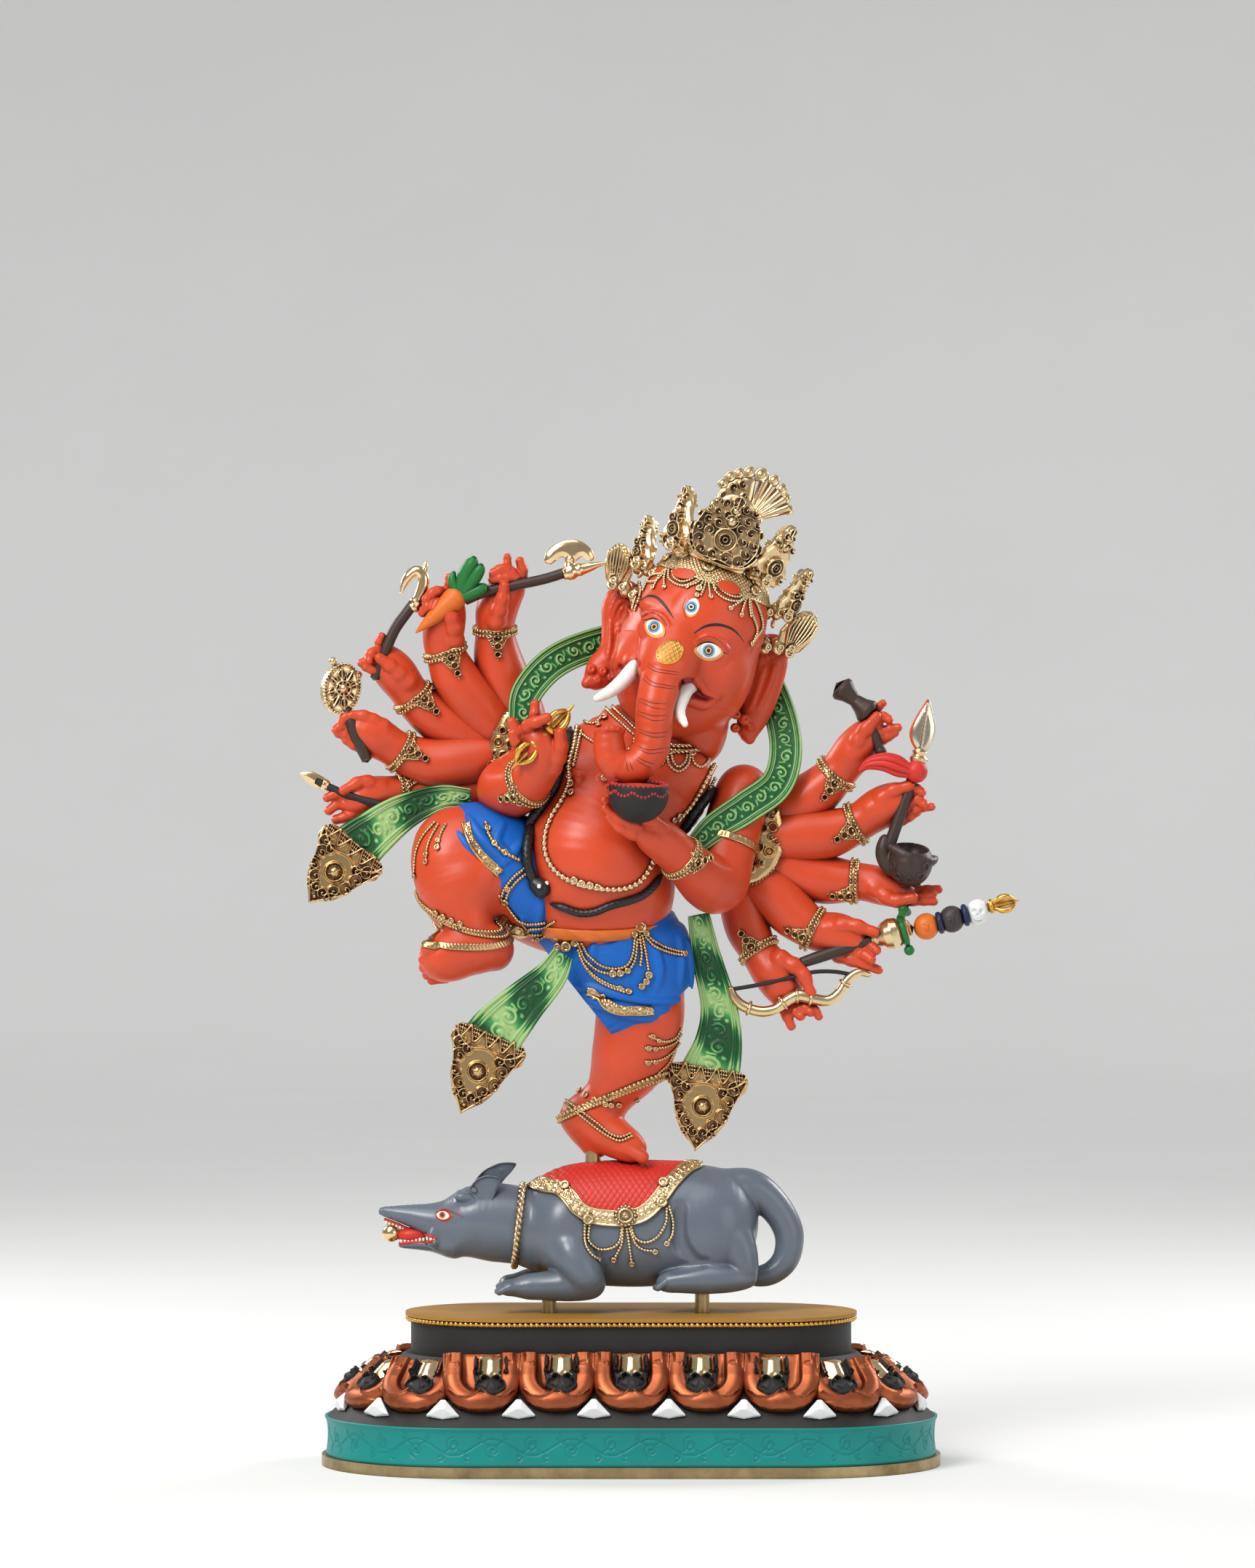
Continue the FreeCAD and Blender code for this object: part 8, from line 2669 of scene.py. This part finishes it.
def make_sashes():
    """The sash hoop, its three ends and their tassels."""
    hoop = (
        (-60, -9, 408, 7.6), (-57, -8, 424, 8.6), (-43, 0, 440, 9), (-22, 14, 450, 9), (8, 34, 457, 9),
        (40, 38, 459, 9), (66, 28, 443, 9), (80, 12, 418, 9), (85, 0, 394, 9), (80, -8, 374, 9),
        (63, -17, 361, 9), (46, -22, 350, 8), (36, -24, 341, 6),
    )
    sash("sash_hoop", "shoulder_sash", hoop)
    sash(
        "sash_end_left", "sash_left_end",
        (
            (-88, -6, 366, 5), (-105, -6, 366, 7), (-125, -7, 358, 10), (-142, -8, 346, 13),
            (-153, -8, 337, 15),
        ),
        0.9,
    )
    sash(
        "sash_end_middle", "sash_middle",
        (
            (-37, -40, 281, 6), (-44, -43, 269, 9), (-58, -43, 255, 12), (-71, -41, 241, 15),
            (-77, -40, 233, 16),
        ),
        0.9,
    )
    sash(
        "sash_end_right", "sash_right",
        ((37, -10, 302, 6), (41, -6, 280, 8), (48, -4, 252, 10), (48, -3, 232, 13), (43, -2, 213, 17)), 0.9,
    )
    tassels = Heap()
    for top, tip, half_width in (
        ((-153, -9, 337), (-177, -10, 308), 20), ((-77, -41, 233), (-93, -42, 194), 20.5),
        ((42, -3, 213), (35, -4, 171.6), 22),
    ):
        tassel_casting(tassels, top, tip, half_width, 4.2)
    piece("tassel_castings", tassels, "dark_gold", "sash_tassels")


# ------------------------------------------------------------------ things held


def swept(heap, points, radius, sides=16):
    """A round bar along a smooth curve of points, its radius one number or one at each point."""
    if np.isscalar(radius):
        heap.add(*tube(spaced(points, 0.8), radius, sides))
        return
    p = spaced([(*q, r) for q, r in zip(points, radius)], 0.8)
    heap.add(*tube(p[:, :3], p[:, 3], sides))


def turned_piece(heap, start, way, profile, sides=32):
    """A lathe-turned piece: (distance along, radius) pairs from start in a direction."""
    way = unit(way)
    along = np.array([d for d, _ in profile], float)
    radius = np.array([r for _, r in profile], float)
    fine = np.linspace(along[0], along[-1], len(along) * 6)
    line = np.asarray(start, float) + fine[:, None] * way
    heap.add(*tube(line, np.maximum(np.interp(fine, along, radius), 0.15), sides))


def four_prongs(heap, base, way, side, outline, radii, end=1):
    """Four curved prongs round an axis, from (distance along, distance out) points; end is 1 or -1."""
    for k in range(4):
        spread = turned(side, way, 90 * k + 45)
        swept(heap, [base + way * end * d + spread * o for d, o in outline], radii, 10)


def flat_casting(outline, centre, rise):
    """A plate cut to an outline given as seen from the front, and its relief to add to."""
    points = np.array(outline, float) - centre
    low, high = points.min(axis=0) - 2, points.max(axis=0) + 2
    relief = Relief(high[0] - low[0], high[1] - low[1], RELIEF_STEP, low=low)
    relief.plate(closed_line(points, 1.0), rise)
    return relief


def calm_face(clay, at, out, radius):
    """Closed eyes, nose and mouth on a small round head."""
    side = unit(np.cross(UP, out))

    def carved_line(place):
        points = [(*(at + out * radius * 0.93 + place(k)), radius * 0.06) for k in (-1, 0, 1)]
        clay.chain(points, 0.4, carve=True)

    for s in (-1, 1):
        carved_line(lambda k: side * radius * (s * 0.34 + k * 0.17) + UP * radius * (0.16 - 0.05 * abs(k)))
    clay.egg(
        at + out * radius * 0.98 - UP * radius * 0.1, (radius * 0.13, radius * 0.16, radius * 0.24), 0.6,
    )
    carved_line(lambda k: side * radius * k * 0.2 - UP * radius * (0.45 - 0.05 * abs(k)))


def make_axe():
    """An axe with a fan-shaped blade."""
    wood, shiny = Heap(), Heap()
    swept(wood, ((-91, -7, 474.5), (-80, -7, 479), (-64, -7, 482.6), (-48, -7, 486), (-35, -7, 490)), 2.9)
    piece("axe_handle", wood, "brown", "axe")
    blade = [
        (-44, 494), (-47.4, 495.4), (-47, 500), (-43, 504.4), (-36, 507.6), (-28, 507), (-22, 502.6),
        (-20.4, 497.4), (-23, 496), (-27, 498), (-30, 496), (-34, 495.6), (-38, 498),
    ]
    relief = flat_casting(blade, (-34, 495), rise=1.6)
    shiny.add(*placed(relief.solid(1.6), (-34, -7, 495), FACING))
    turned_piece(
        shiny, (-37, -7, 488.6), (0.93, 0, 0.26),
        ((0, 3.4), (2, 4.4), (5, 4.6), (7.4, 3.4), (9, 3.8), (11, 3.2), (16, 2.4), (24, 0.6)),
    )
    turned_piece(shiny, (-33.6, -7, 489), (0, 0, 1), ((0, 2.6), (3, 3.4), (6, 2.6), (8, 3.0), (10, 1.8)))
    piece("axe_blade", shiny, "shiny", "axe")


def make_radish():
    """A radish, root upwards in the hand, with its leaves."""
    root, green = Heap(), Heap()
    turned_piece(
        root, (-118, -10, 456.6), (0.7, 0.06, 0.62),
        ((0, 0.5), (5, 2.2), (12, 4.0), (20, 5.6), (27, 6.6), (31, 6.2), (33.4, 4.2), (34.4, 1.2)), 9,
    )
    piece("radish_root", root, "orange", "radish", smooth=False)
    for lobe, radii in (
        (((-94, -9, 479), (-91, -11, 488), (-87, -13, 495), (-86, -14, 498)), (3.2, 4.2, 3.6, 1.4)),
        (((-93, -9, 478), (-87, -12, 485), (-83, -14, 491), (-82, -15, 494)), (3.2, 3.8, 3.2, 1.2)),
        (((-93, -9, 476), (-86, -10, 479), (-81, -11, 481), (-78.6, -12, 481)), (3.2, 3.6, 3.0, 1.2)),
        (((-96, -9, 480), (-98, -9, 486), (-97, -10, 490)), (3.0, 2.8, 1.0)),
    ):
        swept(green, lobe, radii)
    piece("radish_leaves", green, "leaf", "radish")


def make_goad():
    """An elephant goad with a hooked end."""
    wood, gold = Heap(), Heap()
    swept(
        wood, ((-141, -4, 431.6), (-136, -5, 444), (-130, -5, 458), (-123, -5, 468), (-118.6, -4, 474)),
        (2.6, 3.0, 3.1, 3.0, 2.8),
    )
    piece("goad_handle", wood, "brown", "elephant_goad")
    swept(
        gold,
        (
            (-118.8, -4, 472), (-115, -4, 480), (-114, -4, 487), (-118, -4, 490.6), (-123.4, -4, 486),
            (-126.6, -4, 478),
        ),
        (2.6, 3.2, 3.2, 3.0, 2.6, 0.7),
    )
    turned_piece(
        gold, (-120.4, -4, 469.4), (0.5, 0, 0.86), ((0, 3.3), (1.5, 4.1), (3, 3.4), (5, 3.9), (7, 2.4)),
    )
    swept(gold, ((-116, -4, 487), (-113.4, -4, 492), (-112.4, -4, 496)), (2.4, 1.8, 0.5))
    piece("goad_hook", gold, "shiny", "elephant_goad")


def make_mace():
    """A short mace with an eight-spoked wheel."""
    wood, gold = Heap(), Heap()
    swept(
        wood, ((-156.6, -4, 415), (-154, -5, 408), (-150.6, -5, 400), (-145, -5, 386.6)),
        (2.6, 3.6, 4.0, 2.9),
    )
    piece("mace_handle", wood, "brown", "wheel_mace")
    out = unit(vec(0.45, -1, 0))
    axes = frame_of(out, (0.24, 0, 0.97))
    disc = Relief(30, 34, RELIEF_STEP, low=(-15, -17))
    disc.plate([(11 * math.cos(a), 14.4 * math.sin(a)) for a in np.linspace(0, 2 * math.pi, 49)[:-1]], 1.4)
    for k in range(8):
        a = math.radians(22.5 + 45 * k)
        tip, root_at = (9.0 * math.cos(a), 12 * math.sin(a)), (3.0 * math.cos(a), 3.6 * math.sin(a))
        mid = ((tip[0] + root_at[0]) / 2, (tip[1] + root_at[1]) / 2)
        disc.line([root_at, mid, tip], (2.2, 1.4), 3.4)
        for s in (-0.24, 0.24):
            c, d = math.cos(s), math.sin(s)
            bend = (mid[0] * 1.1 * c - mid[1] * 1.1 * d, mid[0] * 1.1 * d + mid[1] * 1.1 * c)
            disc.line([root_at, bend, tip], 0.9, 3.0)
    rim = [(10.4 * math.cos(a), 13.7 * math.sin(a)) for a in np.linspace(0, 2 * math.pi, 40)]
    disc.pearls(rim, 1.0, 2.8)
    disc.dome(0, 0, 3.4, 5.6).ring(0, 0, 4.2, 1.3, 3.8)
    at = vec(-159, -5, 426)
    gold.add(*placed(disc.solid(1.8), at, axes))
    gold.add(*placed(disc.solid(0.2), at - out * 2.2, axes * vec(-1, 1, -1)))
    for x, z in ((-163.6, 441), (-150, 433.6), (-166.6, 418), (-152.6, 411.6)):
        gold.add(*placed(BALL, vec(x, -5 + (x + 159) * 0.45, z), None, 2.3))
    piece("mace_wheel", gold, "gold", "wheel_mace")


def make_arrow():
    """An arrow, held by the shaft."""
    dark, tip = Heap(), Heap()
    swept(
        dark, ((-173, -3, 375.4), (-164, -4, 371), (-154, -5, 367), (-144, -5.5, 364), (-133.6, -6, 361)),
        2.2,
    )
    piece("arrow_shaft", dark, "matt_black", "arrow")
    edge = [(-183, 380), (-176, 380.6), (-168, 376.6), (-166.6, 372.4), (-172, 371), (-178, 374.6)]
    tip.add(*placed(flat_casting(edge, (-175, 376), rise=1.6).solid(1.6), (-175, -3, 376), FACING))
    turned_piece(tip, (-170, -3.2, 374.2), (0.9, -0.1, -0.42), ((0, 1.4), (1, 3.1), (3, 3.1), (4, 2.6)))
    piece("arrow_head", tip, "shiny", "arrow")


def make_vajra():
    """A small double sceptre with four prongs at each end."""
    gold = Heap()
    middle, way = vec(-48, -54, 399), unit(vec(20, 0, 20.5))
    turned_piece(gold, middle - way * 4, way, ((0, 1.4), (1.5, 3.2), (4, 4.1), (6.5, 3.2), (8, 1.4)))
    side = unit(np.cross(way, FRONT))
    for end in (-1, 1):
        turned_piece(
            gold, middle + way * end * 3.4, way * end,
            ((0, 2.0), (1.4, 4.4), (3, 4.8), (4.2, 2.6), (6, 2.0), (14, 1.6), (21, 0.4)),
        )
        outline = ((6, 2.2), (9.5, 5.4), (13.6, 5.8), (17.4, 3.4), (19.6, 1.2))
        four_prongs(gold, middle, way, side, outline, (1.2, 1.7, 1.7, 1.4, 0.7), end)
    piece("vajra_casting", gold, "gold_paint", "vajra")


def make_skull_cup():
    """A round bowl with a beaded rim and its filling."""
    bowl = Clay((-18, -94, 348), (26, -50, 392), CLAY_STEP * 0.8)
    tilt = unit(vec(0.05, -0.15, 1))
    axes = frame_of(tilt, FRONT)
    bowl.egg((4, -71, 369), (16.4, 14.6, 16.6), 1, axes)
    bowl.egg((4, -71.8, 374), (13.6, 11.6, 16), 1.0, axes, carve=True)
    x, y, z = (bowl.low[k] + bowl.step * np.arange(bowl.d.shape[k]) for k in range(3))
    x, y, z = x[:, None, None] - 4, y[None, :, None] + 71, z[None, None, :] - 374
    cut = x * tilt[0] + y * tilt[1] + z * tilt[2]
    bowl.d = np.maximum(bowl.d, cut.astype(np.float32))
    piece("skull_cup_shell", bowl.mesh(), "matt_black", "skull_cup")
    rim, fill = Heap(), Heap()
    ring = [
        vec(4, -71.6, 373.6) + axes[:, 0] * 14.6 * math.cos(a) + axes[:, 1] * 12.6 * math.sin(a)
        for a in np.linspace(0, 2 * math.pi, 73)
    ]
    beads(rim, np.array(ring), 1.5, 2.7)
    scallop = np.array(
        [
            p - tilt * (2.8 + 2.4 * abs(math.sin(k * math.pi / 8))) + unit(p - vec(4, -71, 373)) * 1.4
            for k, p in enumerate(ring)
        ]
    )
    beads(rim, scallop, 1.1, 2.0)
    piece("skull_cup_beads", rim, "deep_red", "skull_cup")
    top = np.array(ring)[:-1]
    middle = top.mean(axis=0)
    rings = (0.98, 0.8, 0.55, 0.3, 0.02)
    dish = np.vstack([middle + (top - middle) * k + tilt * (-1.2 + 1.6 * (1 - k)) for k in rings])
    under = np.vstack([middle + (top - middle) * k - tilt * 2.4 for k in (0.98, 0.5, 0.02)])
    fill.add(dish, grid_faces(5, len(top), False, True))
    fill.add(under, grid_faces(3, len(top), False, True)[:, ::-1])
    piece("skull_cup_filling", fill, "red", "skull_cup")


def make_pestle():
    """A waisted drum-shaped pestle on a handle."""
    drum, wood = Heap(), Heap()
    turned_piece(
        drum, (114.4, -2, 427.4), (0.72, -0.06, -0.66),
        ((0, 5.0), (1, 6.8), (3, 7.2), (7, 5.0), (11.5, 3.7), (16, 5.0), (20, 7.2), (22, 6.8), (23, 5.0)),
    )
    piece("pestle_drum", drum, "brown", "pestle")
    swept(wood, ((129, -3.6, 413), (132, -4.4, 405), (135, -5, 397), (138.4, -5, 388)), 2.7)
    for at in ((130.6, -4, 409.6), (137, -5, 391.6)):
        wood.add(*placed(BALL, at, None, 3.3))
    piece("pestle_handle", wood, "brown", "pestle")


def make_spear():
    """A spear with a red edge and a tassel."""
    wood, gold, red, steel = Heap(), Heap(), Heap(), Heap()
    swept(wood, ((158, -5, 386), (155, -5.6, 378), (151, -6, 366), (146, -6, 352), (142, -6, 340.6)), 3.3)
    piece("spear_shaft", wood, "brown", "spear")
    turned_piece(
        gold, (157.4, -5, 384.4), (0.16, 0, 0.98),
        ((0, 3.0), (1.4, 5.0), (3.4, 5.2), (5, 3.6), (7, 4.4), (8.6, 2.4)),
    )
    piece("spear_collar", gold, "gold", "spear")
    edge = [
        (158.4, 390), (154.6, 396), (153.6, 403), (157, 411), (163, 419.6), (166, 411), (167, 403),
        (165, 395), (161, 390),
    ]
    blade = flat_casting(edge, (160, 400), rise=1.5)
    blade.line([(-1.4, -9), (0.6, 4), (2.6, 17)], (1.6, 0.8), 2.4)
    steel.add(*placed(blade.solid(1.5), (160, -5, 400), FACING))
    piece("spear_blade", steel, "steel", "spear")
    lips = Heap()
    swept(
        lips,
        ((157.4, -5.2, 391.4), (154, -5.2, 398), (154, -5.2, 404), (158, -5.2, 412), (163, -5.2, 419.6)),
        0.8, 8,
    )
    piece("spear_red_edge", lips, "red", "spear")
    red.add(*placed(BALL, (156.4, -8.6, 380.4), None, (6.4, 5.6, 6.4)))
    for k in range(7):
        turn = math.radians(360 / 7 * k)
        off = vec(0, math.sin(turn) * 2.9, math.cos(turn) * 3.3)
        swept(
            red,
            (
                vec(152, -8.6, 381) + off * 0.8, vec(146, -9, 383.4) + off * 1.25,
                vec(138, -9.2, 385.6) + off * 1.0, vec(130, -9, 384.6) + off * 0.6,
                vec(125, -9, 380.6) + off * 0.2,
            ),
            (1.9, 2.2, 2.0, 1.5, 0.5), 10,
        )
    piece("spear_tassel", red, "tassel", "spear")


def make_leather_cup():
    """A cup of stitched leather with rings on it."""
    cup = Clay((132, -26, 308), (176, 16, 352), CLAY_STEP * 0.8)
    tilt = unit(vec(-0.15, -0.45, 1))
    axes = frame_of(tilt, RIGHT)
    cup.egg((153, -6, 331), (14.8, 12.4, 13.4), 1, axes)
    cup.chain([(139.4, -6, 343, 3.0), (138.4, -6, 335, 3.4), (142, -6, 327, 3.4)], 3)
    cup.chain([(142, -13, 339, 2.0), (152, -17, 334, 2.0), (163, -12, 331, 2.0), (167, -4, 332.6, 1.8)], 2)
    cup.egg((153.4, -7.4, 337.4), (11.6, 9.6, 9.4), 1.0, axes, carve=True)
    piece("leather_cup_form", cup.mesh(), "brown", "leather_cup")
    rows = Heap()
    for dx, dz in ((-6, -6), (0, -8), (6, -6), (-9, 0), (9, -1), (-3, -11.4), (4, -11.4)):
        spot = cup.front([(153 + dx, 329 + dz)])[0]
        rows.add(*placed(torus(2.0, 0.45, 14, 6), spot, frame_of(cup.normal(spot), UP)))
    piece("leather_cup_rings", rows, "cup_grey", "leather_cup")


def make_staff():
    """A staff with a vase, two heads, a skull and a small finial."""
    wood, gold, teal, orange, blue, grey, white = (Heap() for _ in range(7))
    swept(
        wood, ((93.4, -6, 275.4), (103, -6, 278.6), (118, -6, 283.6), (134, -6, 288.6)),
        (3.0, 3.4, 3.4, 3.2),
    )
    piece("staff_handle", wood, "brown", "khatvanga")
    way = unit(vec(0.94, 0, 0.22))
    turned_piece(
        gold, (132, -6, 288), (0.93, 0, 0.28),
        ((0, 3.2), (2, 5.0), (3, 4.0), (7, 7.6), (11, 9.0), (15, 8.2), (18, 5.6), (20, 6.6), (22, 4.4)),
    )
    piece("staff_vase", gold, "gold", "khatvanga")
    swept(teal, ((147.4, -14, 299.6), (150, -6, 304.6), (152, 1, 303)), 2.2)
    teal.add(*placed(torus(7.4, 1.7, 28, 10), (149.4, -6, 293.2), frame_of((0.93, 0, 0.28), UP)))
    for x, z in ((149.4, 304.4), (152.6, 282.4)):
        teal.add(*placed(BALL, (x, -7, z), None, 3.0))
    piece("staff_green_scarf", teal, "leaf", "khatvanga")
    for heap, look, at, radius, name in (
        (orange, "orange", (162, -6, 295.4), 7.0, "staff_orange_head"),
        (grey, "cup_grey", (176, -6, 299.4), 7.0, "staff_grey_head"),
        (white, "white", (190, -6, 303.8), 6.2, "staff_skull"),
    ):
        at = np.array(at, float)
        ball_clay = Clay(at - 12, at + 12, CLAY_STEP * 0.55)
        ball_clay.egg(at, (radius, radius * 0.95, radius * 1.06), 1)
        if name == "staff_skull":
            ball_clay.egg(at - UP * radius * 0.7, (radius * 0.6, radius * 0.62, radius * 0.5), 2.5)
            for s in (-1, 1):
                ball_clay.egg(
                    at + FRONT * radius * 0.92 + RIGHT * s * radius * 0.36 + UP * radius * 0.02,
                    (radius * 0.24,) * 3, 0.6, carve=True,
                )
            ball_clay.egg(
                at + FRONT * radius * 0.9 - UP * radius * 0.3, (radius * 0.12,) * 3, 0.4, carve=True,
            )
            for k in (-2, -1, 0, 1, 2):
                a = at - UP * radius * 0.86 + RIGHT * radius * 0.15 * k + FRONT * radius * 0.62
                ball_clay.chain([(*(a + UP * 1.2), 0.3), (*(a - UP * 1.6), 0.3)], 0.2, carve=True, pitch=1)
        else:
            calm_face(ball_clay, at, FRONT, radius)
        heap.add(*ball_clay.mesh())
        piece(name, heap, look, "khatvanga")
    for at in ((169.4, -6, 297.4), (183.4, -6, 301.6)):
        blue.add(*placed(torus(4.6, 1.7, 28, 10), at, frame_of(way, UP)))
        blue.add(*placed(BALL, at, frame_of(way, UP), (4.4, 4.4, 1.6)))
    piece("staff_blue_bands", blue, "navy", "khatvanga")
    finial = Heap()
    tip_way = unit(vec(0.94, 0, 0.2))
    base = vec(195.6, -6, 306)
    turned_piece(
        finial, base, tip_way, ((0, 2.0), (1.2, 4.0), (2.6, 4.2), (4, 2.4), (10, 1.8), (17.4, 0.4)),
    )
    outline = ((3.4, 2.2), (6.4, 5.0), (10, 5.2), (13, 3.2), (15.2, 1.0))
    four_prongs(finial, base, tip_way, UP, outline, (1.1, 1.5, 1.5, 1.2, 0.6))
    piece("staff_finial", finial, "gold_paint", "khatvanga")


def make_bow():
    """A bow of recurved form and its string."""
    gold, cord = Heap(), Heap()
    path = (
        (54.4, -6, 262), (57, -6, 256), (62, -7, 251.4), (71, -8, 248.6), (79, -8, 250), (86, -8, 255),
        (92, -8, 257.4), (100, -8, 255.6), (108, -7.4, 254.6), (114, -7, 258.6), (119, -6, 266),
        (125, -6, 270), (131, -6, 268.6),
    )
    swept(gold, path, (1.6, 2.6, 3.0, 3.1, 3.0, 3.3, 3.6, 3.2, 3.1, 3.0, 2.8, 2.4, 1.4))
    for at, way in (
        ((83.4, -8, 253.4), (0.8, 0, 0.55)), ((98.6, -8, 255.8), (0.95, 0, -0.2)),
        ((91, -8, 257.2), (1, 0, 0.06)), ((64.6, -7.4, 250.4), (0.9, 0, -0.3)),
        ((117.6, -6.4, 264), (0.5, 0, 0.8)),
    ):
        gold.add(*placed(torus(3.6, 0.9, 24, 8), at, frame_of(way, FRONT)))
    piece("bow_limb", gold, "gold", "bow")
    swept(
        cord,
        (
            (56, -6, 261), (68, -7, 263), (80, -8, 265.6), (90, -8, 268), (100, -8, 270.4),
            (111, -7, 270.6), (121, -6, 269),
        ),
        1.15, 12,
    )
    piece("bow_string", cord, "matt_black", "bow")


# ------------------------------------------------------------------ CAD parts whose shape is right

KEPT = {
    "foot_plate": "brass",
    "lotus_shell": "matt_black",
    "throne_drum": "matt_black",
    "top_plate": "ochre",
    "rat_pegs": "brass",
    "foot_peg": "brass",
}


def dress_kept_parts():
    """Gives each CAD part that stays visible its own material."""
    for node, look in KEPT.items():
        slots = frame["nodes"][node].data.materials
        slots.clear()
        slots.append(LOOKS[look])


bpy.context.scene.view_settings.view_transform = "Standard"
make_stage()
make_base()
make_rat()
clays = make_body()
make_skirt(clays)
make_crown(clays["head"])
make_bracelets(clays)
make_shoulder_plates(clays)
make_anklets(clays)
make_necklaces(clays)
make_snakes(clays)
make_sashes()
for make in (
    make_axe, make_radish, make_goad, make_mace, make_arrow, make_vajra, make_skull_cup, make_pestle,
    make_spear, make_leather_cup, make_staff, make_bow,
):
    make()
dress_kept_parts()
